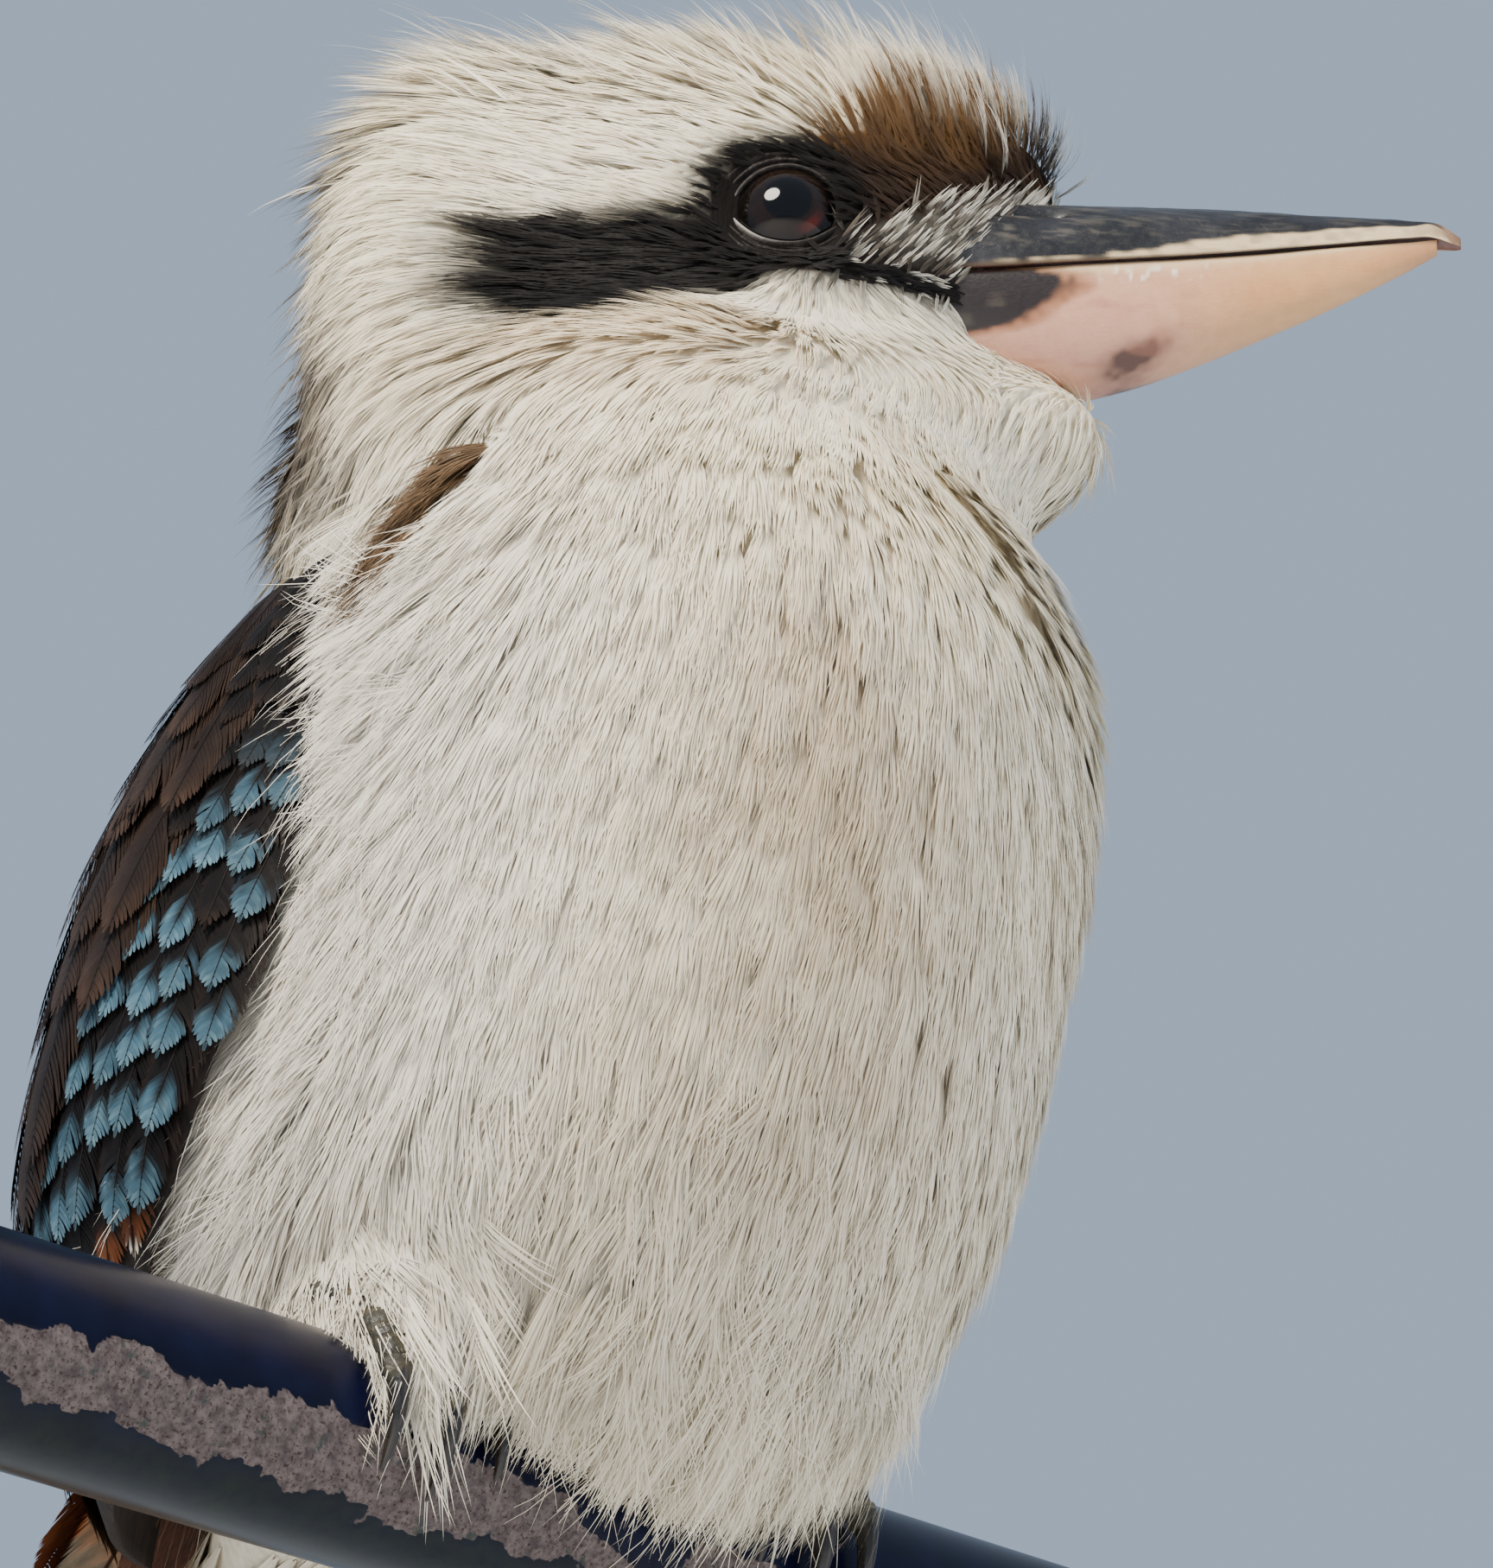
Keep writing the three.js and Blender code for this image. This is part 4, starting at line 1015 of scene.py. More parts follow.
def plumage_material(name="plumage", rough=0.62, sheen=0.05, streak=260.0, dark=(0.92, 0.90, 0.88), spec=0.14):
    m = Nodes(name)
    co = m.coords()
    patch = m.noise(co, streak, 3.0, 0.55)
    fine = m.noise(co, 1500.0, 2.0, 0.6)
    col = m.mix(m.ramp(patch, 0.35, 0.7), m.mix(1.0, m.attr("Col"), dark, "MULTIPLY"), m.attr("Col"))
    m.set(Base_Color=col, Roughness=m.ramp(fine, 0.2, 0.8, rough - 0.08, rough + 0.1))
    m.put(m.b.inputs["Specular IOR Level"], spec)
    m.put(m.b.inputs["Sheen Weight"], sheen)
    m.put(m.b.inputs["Sheen Roughness"], 0.5)
    return m.m


PLUMAGE = plumage_material()


# ---------------------------------------------------------------- the coat
WING = dict(
    z=[-8, 0, 20, 40, 70, 100, 120, 131],
    front=[50, 28, 3, -10, -15, -17, -14, 0],
    back=[72, 78, 85, 86, 86, 78, 62, 40],
)
GAP_SCALE = 1.0


# the height at which the neck's feathers give way to the wing's, by degrees from the side towards the spine
HOOD = dict(phi=[-40, -17, 0, 20, 45, 70, 92], z=[117, 116, 108, 106, 109, 113, 117])


# the line along the middle of each shoulder's brown patch
PATCH = ((-51.0, -29.5, 121.5), (-57.5, -11.0, 103.5))


def hood(phi):
    return curve(phi, HOOD["phi"], HOOD["z"])


def phi_of(p):
    """Degrees round the body from its side towards the spine."""
    return np.degrees(np.arctan2(p[..., 1] - curve(p[..., 2], BACK["z"], BACK["y"]), np.abs(p[..., 0])))


def wing_edge(p):
    """Degrees by which a point of the body lies behind the wing's front edge (negative in front of it)."""
    z = p[..., 2]
    ang = phi_of(p)
    inside = np.minimum(ang - curve(z, WING["z"], WING["front"]), curve(z, WING["z"], WING["back"]) - ang)
    return np.where((z > hood(ang)) | (z < WING["z"][0]), -30.0, inside)


def body_gap(p):
    h = headness(p)
    q = to_head(p)
    g = mix(2.55, 1.80, h)
    g = mix(g, 1.20, h * near_bill(q))
    return g * GAP_SCALE


def body_keep(p):
    k = np.where(wing_edge(p) > -1, 0.0, 1.0)
    q = to_head(p)
    eye = np.sqrt(((q[:, 0] - EYE[0]) / np.where(q[:, 0] > EYE[0], 9.8, 8.9)) ** 2 + ((q[:, 2] - EYE[2]) / 8.2) ** 2)
    k = np.where((eye < 1) & (np.abs(q[:, 1]) > 12), 0, k)
    k = k * (1 - 0.86 * lore_place(q[:, 0], q[:, 2]) * headness(p) * step(6, 9, np.abs(q[:, 1])))
    # nothing grows under the bill's own horn
    bill = in_bill(q)
    return np.where(bill, 0, k)


root, normal = scatter(body_gap, body_keep, 11)
sink = fold_depth(root)
root = root - normal * sink[:, None]
print("roots", len(root))
r0 = rng(3)
q = to_head(root)
hx, hy, hz = q[:, 0], np.abs(q[:, 1]), q[:, 2]
X, Y, Z = root[:, 0], root[:, 1], root[:, 2]
h = headness(root)
face = near_bill(q)
edge = wing_edge(root)
near_wing = step(-34, -8, edge) * step(4, 20, Z)
belly = step(60, 0, Z)
curtain = step(24, 6, Z) * step(-12, -28, Y)
crown = step(6, 18, hz) * step(46, 34, hx)
nape = step(-8, -26, hx)
fore = step(14, 26, hx) * step(-3, 3, hz - 0.25 * (hx - 20))
chin = step(8, 18, hx) * step(-27, -33, hz)
lore = lore_place(hx, hz) * step(6, 9, hy) * h
fold_near = fold_lip(root)

phi_ = phi_of(root)
hind = step(-34, -18, phi_) * step(26, 8, Z - hood(phi_)) * (Z > hood(phi_) - 0.5)
cover = toe_cover(root)
L_body = mix(12.5, 18.0, belly) + 4.5 * near_wing + 4.0 * curtain + 4.0 * hind + 5.0 * cover
L_head = 10.5 + 4.0 * crown + 4.0 * nape
L_head = mix(L_head, 4.8, face)
L_head = mix(L_head, 8.5, chin)
L_head = mix(L_head, 11.0, fore * step(16, 24, hx))
L_head = mix(L_head, 3.8, lore)
L = mix(L_body, L_head, h)
L = L * (1 - 0.35 * fold_near)
W = mix(mix(2.9, 2.7, belly), mix(1.6, 0.62, face), h)
W = mix(W, 1.5, fold_near)
W = mix(W, 0.9, fore * h)
W = mix(W, 0.34, lore)
# how steeply a feather leaves the skin, and how steeply it ends
up0 = mix(mix(19, 18, face), 40, crown * step(-50, 0, hx))
up0 = mix(up0, 62, fore)
up0 = mix(up0, 34, lore)
up1 = mix(mix(2, 4, face), 13, crown)
up1 = mix(up1, 26, fore)
up1 = mix(up1, -18, chin)
lift0 = np.radians(mix(21 + 5 * near_wing + 9 * hind + 6 * cover, up0, h) + (5 * hind + 4 * nape) * h)
lift1 = np.radians(mix(mix(1, 4, belly) - 1 * hind - 9 * cover, up1, h))
lift0 = lift0 + np.radians(12) * fold_near
lift1 = lift1 + np.radians(10) * fold_near
lie = flow(root, normal)
jit = r0.normal(0, 0.085, len(root)) * (1 + 0.8 * belly * (1 - h))
lie = unit(lie * np.cos(jit)[:, None] + np.cross(normal, lie) * np.sin(jit)[:, None])
L = L * (1 + r0.normal(0, 0.10, len(root)))
lift0 = lift0 * (1 + r0.normal(0, 0.07, len(root)))
# the feathers above each shoulder's brown patch stop short of it
for part in (0.5, 0.8, 1.0):
    near_patch = seg_distance(root + lie * (L * part)[:, None], PATCH[0], PATCH[1], True) < 4.6
    L = np.where(near_patch & (h < 0.8), L * 0.62, L)
colour = markings(root)
tipc = markings(root + lie * (L * 0.30)[:, None])
# painted shade: feathers sunk in a fold are darkened; every root is a little darker and every tip a little lighter,
# painted shade and painted light along each feather
shadow = 1 - 0.25 * np.clip(sink / 1.6, 0, 1)
colour = colour * shadow[:, None] * 0.97
tipc = np.clip(tipc * 1.04, 0, 0.95)
# white tips on some of the forehead's dark feathers, dark tips on a few of the crown's and nape's edge
rw = r0.random(len(root))
tipc = lerp(tipc, WHITE, np.clip(fore * step(4, 12, hz), 0, 1) * (rw < 0.5) * h * 0.85)
back_edge = np.clip(step(-30, -42, hx) * step(16, 6, hy) + 0.5 * nape * step(-34, -48, hz), 0, 1) * h
tipc = lerp(tipc, DARKTIP, back_edge * (rw < 0.45) * 0.9)
tipc = lerp(tipc, DARKTIP, crown * step(10, 0, hx) * (rw > 0.93) * h * 0.8)
colour = lerp(colour, srgb(56, 48, 44), lore * 0.8)
tipc = lerp(tipc, lerp(BROWDARK * np.ones((len(root), 3)), WHITE, (rw < 0.42) * 1.0), lore * 0.9)

order = np.lexsort((Z, np.floor(np.arctan2(X, -Y) * 2)))
breast = order[((h < 0.5) & (belly <= 0.35))[order]]
lower = order[((h < 0.5) & (belly > 0.35))[order]]
brow_set = order[((h >= 0.5) & (fore >= 0.5))[order]]
headset = order[((h >= 0.5) & (fore < 0.5) & (face < 0.5))[order]]
faceset = order[((h >= 0.5) & (fore < 0.5) & (face >= 0.5))[order]]


def grow(heap, s, K, seed, **kw):
    tufts(heap, root[s], normal[s], lie[s], L[s], W[s], lift0[s], lift1[s], K, seed, colour[s], tipc[s], **kw)


coat_body = Heap()
grow(coat_body, breast, 20, 5, barb=0.27, ragged=0.07, round_tip=0.30, fluff=0.05, shade=0.10)
grow(coat_body, lower, 20, 6, barb=0.24, ragged=0.12, round_tip=0.36, fluff=0.16, wave=0.08, shade=0.14)

# loose hair-like barbs over the wings' front edges and along the lower belly
rf = rng(31)
s_ = np.flatnonzero((h < 0.5) & (((edge > -22) & (edge < 4) & (Z > 8) & (Z < 112)) | ((curtain > 0.3) & (Z < 14))))
s_ = s_[rf.random(len(s_)) < (0.75)]
ns = len(s_)
turned = rf.normal(0, 0.30, ns)
fl = unit(lie[s_] * np.cos(turned)[:, None] + np.cross(normal[s_], lie[s_]) * np.sin(turned)[:, None])
tufts(coat_body, root[s_], normal[s_], fl, L[s_] * rf.uniform(0.95, 1.18, ns), np.full(ns, 3.4), lift0[s_] + np.radians(rf.normal(9, 5, ns)),
      np.radians(rf.normal(-3, 8, ns)), 8, 32, colour[s_], tipc[s_], barb=0.13, ragged=0.18, round_tip=0.2, fluff=0.45, wave=0.16,
      shade=0.15, widths=(1.0, 0.9, 0.7))
# fluff that hangs over the toes where they leave the belly
rt = rng(33)
for x0_, inner_ in ((-43.0, 1.0), (27.0, -1.0)):
    nt_ = 190
    tx = x0_ + inner_ * rt.uniform(-11, 24, nt_)
    out_ = inner_ * (tx - x0_) < -3
    tz = rt.uniform(2, 10, nt_)
    tp = np.stack([tx, np.full(nt_, -62.0), tz], -1)
    for _ in range(60):
        tp[:, 1] += np.clip(skin_field(tp), -2, 3) * 0.7
    tn = unit(grad(skin_field, tp))
    tn = unit(tn + np.array([0, -0.8, 0.1]))
    tl = np.stack([-0.30 * inner_ + rt.normal(0, 0.14, nt_), np.zeros(nt_), -np.ones(nt_)], -1)
    tl = unit(tl - (tl * tn).sum(-1, keepdims=True) * tn)
    reach = np.where(out_, -3.0, -14.0) if inner_ > 0 else np.where(out_, 2.0, -5.0)
    tL = np.clip(tz - reach, 8, 30) * rt.uniform(0.85, 1.12, nt_)
    # the fluff over the toes is darkened, with darker roots: painted shade under the belly
    tc = markings(tp) * (0.78 + 0.12 * rt.random((nt_, 1)))
    tufts(coat_body, tp, tn, tl, tL, np.full(nt_, 2.8), np.radians(rt.normal(18, 5, nt_)), np.radians(rt.normal(-3, 6, nt_)), 18, 34, tc * 0.97, tc,
          barb=0.20, ragged=0.14, round_tip=0.4, fluff=0.2, wave=0.10, shade=0.14)
# fluff on the flank's lowest edge, lying forward over the right foot's outer toe
no_ = 190
op_ = onto(skin_field, np.stack([rt.uniform(-57, -42, no_), rt.uniform(-17, 12, no_), rt.uniform(3, 10, no_)], -1), 6)
on_ = unit(grad(skin_field, op_) + np.array([-0.15, -0.25, 0.45]))
ol_ = np.array([-0.42, -0.44, -0.80]) + rt.normal(0, 0.16, (no_, 3))
ol_ = unit(ol_ - (ol_ * on_).sum(-1, keepdims=True) * on_)
# this fluff is darkened below the coat's own colour: painted shade over the foot
oc_ = markings(op_) * (0.74 + 0.12 * rt.random((no_, 1)))
tufts(coat_body, op_, on_, ol_, rt.uniform(10, 15, no_), np.full(no_, 2.8), np.radians(rt.normal(16, 6, no_)), np.radians(rt.normal(-10, 7, no_)), 18, 35,
      oc_, oc_, barb=0.20, ragged=0.16, round_tip=0.4, fluff=0.25, wave=0.12, shade=0.14)
# fine curved hairs that stray over the wings' front edges
s_ = np.flatnonzero((h < 0.5) & (edge > -18) & (edge < -3) & (Z > 12) & (Z < 104))
s_ = s_[rf.random(len(s_)) < (0.9)]
ns = len(s_)
turned = rf.normal(0.1, 0.42, ns)
fl = unit(lie[s_] * np.cos(turned)[:, None] + np.cross(normal[s_], lie[s_]) * np.sin(turned)[:, None])
tufts(coat_body, root[s_], normal[s_], fl, rf.uniform(10, 16, ns), np.full(ns, 6.5), lift0[s_] + np.radians(rf.normal(8, 6, ns)), np.radians(rf.normal(-8, 10, ns)),
      4, 36, colour[s_] * 0.8, tipc[s_] * 0.85, barb=0.065, ragged=0.28, round_tip=0.2, fluff=0.85, wave=0.34, shade=0.10, widths=(1.0, 0.85, 0.6))
# short brown feathers over the bend of each wing, dark where they meet it
nd_ = 150
for sd_ in (-1, 1):
    td = rf.uniform(0, 1, nd_)
    ac = rf.uniform(-1, 1, nd_)
    a_, b_ = np.array(PATCH[0]), np.array(PATCH[1])
    dp = a_ + (b_ - a_) * td[:, None] + (curve(td, [0, 0.5, 1], [1.6, 3.0, 4.6]) * ac)[:, None] * unit(np.array([0.0, 0.62, 0.78]))
    dp[:, 0] *= -sd_
    dp = onto(skin_field, dp, 8)
    dn = unit(grad(skin_field, dp))
    dl = np.array([sd_ * 0.25, 0.62, -0.72]) + rf.normal(0, 0.16, (nd_, 3))
    dl = unit(dl - (dl * dn).sum(-1, keepdims=True) * dn)
    dark_ = np.clip(step(0.55, 1.0, td) * 0.45 + step(0.0, 0.8, ac) * 0.5 + rf.normal(0, 0.2, nd_), 0, 1)
    dc = lerp(srgb(118, 93, 66) * np.ones((nd_, 3)), srgb(40, 30, 23), dark_)
    dr = np.argsort(td)[::-1]
    tufts(coat_body, dp[dr], dn[dr], dl[dr], rf.uniform(9.5, 13, nd_), np.full(nd_, 2.3), np.radians(rf.normal(40, 4, nd_)), np.radians(rf.normal(2, 5, nd_)),
          16, 37, dc[dr] * 0.8, dc[dr], barb=0.20, ragged=0.12, round_tip=0.35, fluff=0.16, wave=0.08, shade=0.14)
coat_body.build("coat_body", PLUMAGE)

coat_head = Heap()
grow(coat_head, headset, 13, 7, barb=0.22, ragged=0.10, round_tip=0.28, fluff=0.10, wave=0.05, point=0.30, shade=0.12)
grow(coat_head, faceset, 6, 8, barb=0.16, ragged=0.14, round_tip=0.35, fluff=0.12, point=0.5, shade=0.16)
grow(coat_head, brow_set, 8, 9, barb=0.20, ragged=0.12, round_tip=0.30, fluff=0.10, point=0.55, shade=0.22)

# the erect crest: narrow blades over the forehead and crown, brown below and white towards the tip
rc = rng(21)


def skin_point(hx_, hy_):
    """The skin below a place over the head (head axes)."""
    a = from_head(np.stack([hx_, hy_, np.full_like(hx_, 30.0)], -1))
    for _ in range(40):
        d = skin_field(a)
        a[:, 2] -= np.clip(d, -3, 3) * 0.8
    return a


nc = 420
cx = rc.uniform(4, 52, nc)
cy = rc.uniform(-1, 1, nc) * curve(cx, [4, 20, 30, 44, 52], [17, 17, 14, 9, 5])
cp = skin_point(cx, cy)
on_ = (to_head(cp)[:, 2] > -1) & (np.abs(skin_field(cp)) < 0.5)
cx, cy, cp = cx[on_], cy[on_], cp[on_]
nc = len(cx)
cn = unit(grad(skin_field, cp))
cl = -HX * 1.0 + HL * (0.20 * cy / 12)[:, None] + HZ * 0.35
cl = unit(cl - (cl * cn).sum(-1, keepdims=True) * cn)
cL = curve(cx, [4, 14, 24, 38, 46, 52], [11, 15, 17.5, 15, 11, 7]) * rc.uniform(0.72, 1.12, nc)
cb = markings(cp) * 0.85
pick = rc.random(nc)
ct = lerp(WHITE * np.ones((nc, 3)), srgb(112, 80, 50), (pick < 0.28) * 0.85)
tufts(coat_head, cp, cn, cl, cL, np.full(nc, 0.62), np.radians(rc.normal(70, 7, nc)), np.radians(curve(cx, [4, 20, 40, 52], [22, 30, 34, 40]) + rc.normal(0, 9, nc)),
      7, 22, cb, ct, barb=0.24, ragged=0.08, round_tip=0.45, point=0.55, fluff=0.05, shade=0.25, slim=0.45, tone=0.03)
# bristles over the lores, pale on the dark skin
nb_ = 300
bx = rc.uniform(20, 46, nb_)
bz = lore_top(bx) + 1.5 - rc.uniform(0.0, 12.0, nb_)
bs = np.where(rc.random(nb_) < 0.5, -1.0, 1.0)
keep_b = (bz > -16.5) & (bz < 3)
bx, bz, bs = bx[keep_b], bz[keep_b], bs[keep_b]
bp = from_head(np.stack([bx, bs * 30.0, bz], -1))
for _ in range(60):
    bp = bp - (bs * np.clip(skin_field(bp), -2, 2) * 0.7)[:, None] * HL
on_ = np.abs(skin_field(bp)) < 0.4
bp, bs = bp[on_], bs[on_]
bn = unit(grad(skin_field, bp))
bl = HX * 0.72 + HZ * 0.70 + 0 * bp
bl = unit(bl - (bl * bn).sum(-1, keepdims=True) * bn)
nb_ = len(bp)
bt = lerp(WHITE * np.ones((nb_, 3)), BROWDARK * 1.3, (rc.random(nb_) < 0.40) * 0.9)
tufts(coat_head, bp, bn, bl, rc.uniform(3.2, 6.0, nb_), np.full(nb_, 0.26), np.radians(rc.normal(34, 8, nb_)), np.radians(rc.normal(10, 8, nb_)), 3, 24,
      srgb(70, 60, 52) * np.ones((nb_, 3)), bt, barb=0.15, ragged=0.12, round_tip=0.4, point=0.6, fluff=0.08, shade=0.2, slim=0.45)
# the dark line of short feathers below the lores, from the eye to the gape
ng_ = 240
gx = rc.uniform(15, 40, ng_)
gz = curve(gx, [15, 24, 34, 40], [-15.2, -16.6, -16.4, -15.8]) + rc.normal(0, 0.7, ng_)
gs = np.where(rc.random(ng_) < 0.5, -1.0, 1.0)
gp = from_head(np.stack([gx, gs * 32.0, gz], -1))
for _ in range(60):
    gp = gp - (gs * np.clip(skin_field(gp), -2, 2) * 0.7)[:, None] * HL
on_ = np.abs(skin_field(gp)) < 0.4
gp, gs = gp[on_], gs[on_]
ng_ = len(gp)
gn = unit(grad(skin_field, gp))
gl = HX * 1.0 - HZ * 0.12 + rc.normal(0, 0.12, (ng_, 3))
gl = unit(gl - (gl * gn).sum(-1, keepdims=True) * gn)
gt = lerp(srgb(16, 13, 12) * np.ones((ng_, 3)), WHITE, (rc.random(ng_) < 0.10) * 0.8)
tufts(coat_head, gp, gn, gl, rc.uniform(2.6, 4.4, ng_), np.full(ng_, 0.55), np.radians(rc.normal(24, 6, ng_)), np.radians(rc.normal(4, 6, ng_)), 4, 26,
      srgb(20, 17, 15) * np.ones((ng_, 3)), gt, barb=0.20, ragged=0.12, round_tip=0.4, point=0.5, fluff=0.1, shade=0.2, slim=0.45)
# spiky ends along the nape and the crown's back, many of them dark
nn_ = 430
sx = rc.uniform(-30, 14, nn_)
sy = rc.uniform(-1, 1, nn_) * 22
sp_ = skin_point(sx, sy)
nk = nn_ // 2
sz = rc.uniform(-52, 4, nk)
sa = from_head(np.stack([np.full(nk, -90.0), rc.uniform(-19, 19, nk), sz], -1))
for _ in range(60):
    sa = sa + (np.clip(skin_field(sa), -2, 3) * 0.7)[:, None] * HX
sp_[:nk] = sa
isn = np.arange(nn_) < nk
sn = unit(grad(skin_field, sp_))
sl = np.where(isn[:, None], -HX * 0.55 - HZ * 0.8, -HX * 1.0 + HZ * 0.25) + HL * rc.normal(0, 0.12, (nn_, 1))
sl = unit(sl - (sl * sn).sum(-1, keepdims=True) * sn)
sq = to_head(sp_)
darkp = np.where(isn, 0.32 + 0.60 * step(-8, -20, sq[:, 2]) * step(-50, -40, sq[:, 2]), 0.12)
st = lerp(WHITE * np.ones((nn_, 3)), DARKTIP, (rc.random(nn_) < darkp) * 0.92)
tufts(coat_head, sp_, sn, sl, np.where(isn, rc.uniform(10, 15.5, nn_), rc.uniform(12, 17, nn_)), np.full(nn_, 0.85), np.radians(rc.normal(44, 6, nn_)),
      np.radians(rc.normal(22, 7, nn_)), 7, 25, markings(sp_), st, barb=0.20, ragged=0.12, round_tip=0.5, point=0.6, fluff=0.08, shade=0.2, slim=0.45)
# a few long loose filaments over the crown's back and the nape
nf = 110
fx = rc.uniform(-46, 10, nf)
fy = rc.uniform(-16, 16, nf)
fp = skin_point(fx, fy)
fn = unit(grad(skin_field, fp))
fl = -HX * 1.0 + HL * rc.normal(0, 0.3, (nf, 1)) + HZ * 0.1
fl = unit(fl - (fl * fn).sum(-1, keepdims=True) * fn)
tufts(coat_head, fp, fn, fl, rc.uniform(15, 23, nf), np.full(nf, 0.8), np.radians(rc.normal(44, 7, nf)), np.radians(rc.normal(14, 8, nf)), 4, 23,
      markings(fp), WHITE * np.ones((nf, 3)), barb=0.17, ragged=0.15, point=0.6, fluff=0.25, wave=0.1, shade=0.2)
coat_head.build("coat_head", PLUMAGE)
print("coat done")

# ---------------------------------------------------------------- folded wings
FEATHER = plumage_material("flight_feathers", rough=0.58, sheen=0.0, streak=420.0, dark=(0.80, 0.78, 0.76), spec=0.12)
WING_DARK = srgb(40, 30, 25)
WING_BLACK = srgb(17, 14, 14)
WING_BROWN = srgb(74, 55, 42)
BLUE = srgb(68, 100, 118)
BLUE_PALE = srgb(118, 150, 162)


def wing_at(side, z, phi, off):
    """A point of the folded wing: height z, degrees phi from the side towards the spine, off millimetres outwards."""
    a = curve(z, BACK["z"], BACK["a"]) + off
    b = curve(z, BACK["z"], BACK["b"]) + off
    p = np.radians(phi)
    return np.stack([side * a * np.cos(p), curve(z, BACK["z"], BACK["y"]) + b * np.sin(p), z + 0 * p], -1)


def wing_normal(side, z, phi):
    dz = wing_at(side, z + 0.5, phi, 0) - wing_at(side, z - 0.5, phi, 0)
    dp = wing_at(side, z, phi + 0.5, 0) - wing_at(side, z, phi - 0.5, 0)
    n = unit(np.cross(dz, dp))
    out = np.stack([side * np.cos(np.radians(phi)), np.sin(np.radians(phi)), 0 * z], -1)
    return np.where((n * out).sum(-1, keepdims=True) < 0, -n, n)


def wing_arc(z, phi):
    """Millimetres for each degree round the wing."""
    a = curve(z, BACK["z"], BACK["a"])
    b = curve(z, BACK["z"], BACK["b"])
    p = np.radians(phi)
    return np.radians(1.0) * np.sqrt((a * np.sin(p)) ** 2 + (b * np.cos(p)) ** 2)


def wing_spines(side, z0, phi0, length, tilt, M, low, high, bow=0.0):
    """Shafts that run down the wing from (z0, phi0), turned back by tilt degrees, rising from low to high outwards."""
    N = len(z0)
    t = np.linspace(0, 1, M)[None]
    ang = np.radians(tilt)[:, None] + np.radians(bow) * (t - 0.5)
    ds = (length / (M - 1))[:, None]
    z = np.empty((N, M))
    phi = np.empty((N, M))
    z[:, 0], phi[:, 0] = z0, phi0
    for k in range(1, M):
        z[:, k] = z[:, k - 1] - ds[:, 0] * np.cos(ang[:, k])
        phi[:, k] = phi[:, k - 1] + ds[:, 0] * np.sin(ang[:, k]) / wing_arc(z[:, k - 1], phi[:, k - 1])
    off = low[:, None] + (high - low)[:, None] * t
    return wing_at(side, z, phi, off), wing_normal(side, z, phi), z, phi


def outline(M, N, tc=0.55, p=2.2, root=0.35):
    """Half width of a round-ended feather at M places, for N feathers."""
    t = np.linspace(0, 1, M)[None].repeat(N, 0)
    body = np.minimum(1, (t / root + 0.25) ** 0.6)
    tip = np.sqrt(np.clip(1 - np.clip((t - tc) / (1 - tc), 0, 1) ** p, 0, 1))
    return body * tip


# where the dark outer feathers (from the shoulder down to the longest inner quills) begin, in degrees, at each height
DARK_EDGE = dict(z=[-10, 10, 22, 32, 42, 52, 62, 72, 84, 100, 116, 131], phi=[50, 38, 30, 25, 17, 10, 5, 2, 3, 8, 16, 24])


def wing_form(side, name):
    """The closed body under a wing's feathers, from just inside them to the skin."""
    rows, cols = 60, 36
    V = []
    for s in np.linspace(1.0, 0.0, rows):
        z = -6.5 + 119.5 * s
        f, e = curve(z, WING["z"], WING["front"]), curve(z, WING["z"], WING["back"])
        t = np.linspace(0, 1, cols)
        phi = f + (e - f) * t
        z = -6.5 + (hood(phi) + 7.5) * s
        edge = 1 - np.abs(2 * t - 1) ** 6
        fade = step(-8, 6, z) * step(1.0, 0.88, s)
        outer = wing_at(side, z, phi, -2.6 - 1.2 * (1 - edge) - 0.8 * (1 - fade))
        inner = wing_at(side, z[::-1], phi[::-1], -4.6 - 4.5 * edge[::-1] * fade[::-1])
        V.append(np.concatenate([outer, inner]))
    V = np.array(V)
    n = V.shape[1]
    faces = []
    for i in range(rows - 1):
        for j in range(n):
            k = (j + 1) % n
            faces.append([i * n + j, i * n + k, (i + 1) * n + k, (i + 1) * n + j])
    for j in range(cols - 1):
        faces.append([j, 2 * cols - 1 - j, 2 * cols - 2 - j, j + 1])
        b = (rows - 1) * n
        faces.append([b + j, b + j + 1, b + 2 * cols - 2 - j, b + 2 * cols - 1 - j])
    faces = np.array(faces)
    if side < 0:
        faces = faces[:, ::-1]
    m = Nodes(name + "_down")
    co = m.coords()
    fib = m.noise(m.scale(co, 1, 1, 0.12), 900.0, 3.0, 0.6)
    m.set(Base_Color=m.mix(m.ramp(fib, 0.3, 0.7), srgb(22, 17, 14), srgb(48, 36, 29)), Roughness=0.85)
    m.bump(fib, 0.0004, 0.5)
    o = mesh_of(name, V.reshape(-1, 3), faces, material=m.m)
    i, j = np.meshgrid(np.linspace(0.02, 0.98, rows), np.linspace(0.02, 0.98, n), indexing="ij")
    set_uv(o, np.stack([j.ravel(), i.ravel()], -1))
    return o


def covert_sites(side, seed):
    """Rows of covert feathers: tip height and angle, by zone."""
    r = rng(seed)
    tips = []
    z = 20.5
    row = 0
    while z < 116:
        gap = curve(z, [10, 30, 60, 90, 110, 130], [9.0, 8.6, 8.0, 6.4, 5.2, 4.6])
        f = curve(z, WING["z"], WING["front"]) - 1
        e = curve(z, DARK_EDGE["z"], DARK_EDGE["phi"]) + 6
        half = gap * 0.56
        deg = half * 1.42 / wing_arc(z, f)
        phi = f + deg * (0.5 * (row % 2))
        while phi < e:
            if z < hood(phi) - 4:
                tips.append([z + r.normal(0, 0.9), phi + r.normal(0, 0.10) * deg, gap, row, r.random()])
            phi += deg
        z += gap
        row += 1
    return np.array(tips)


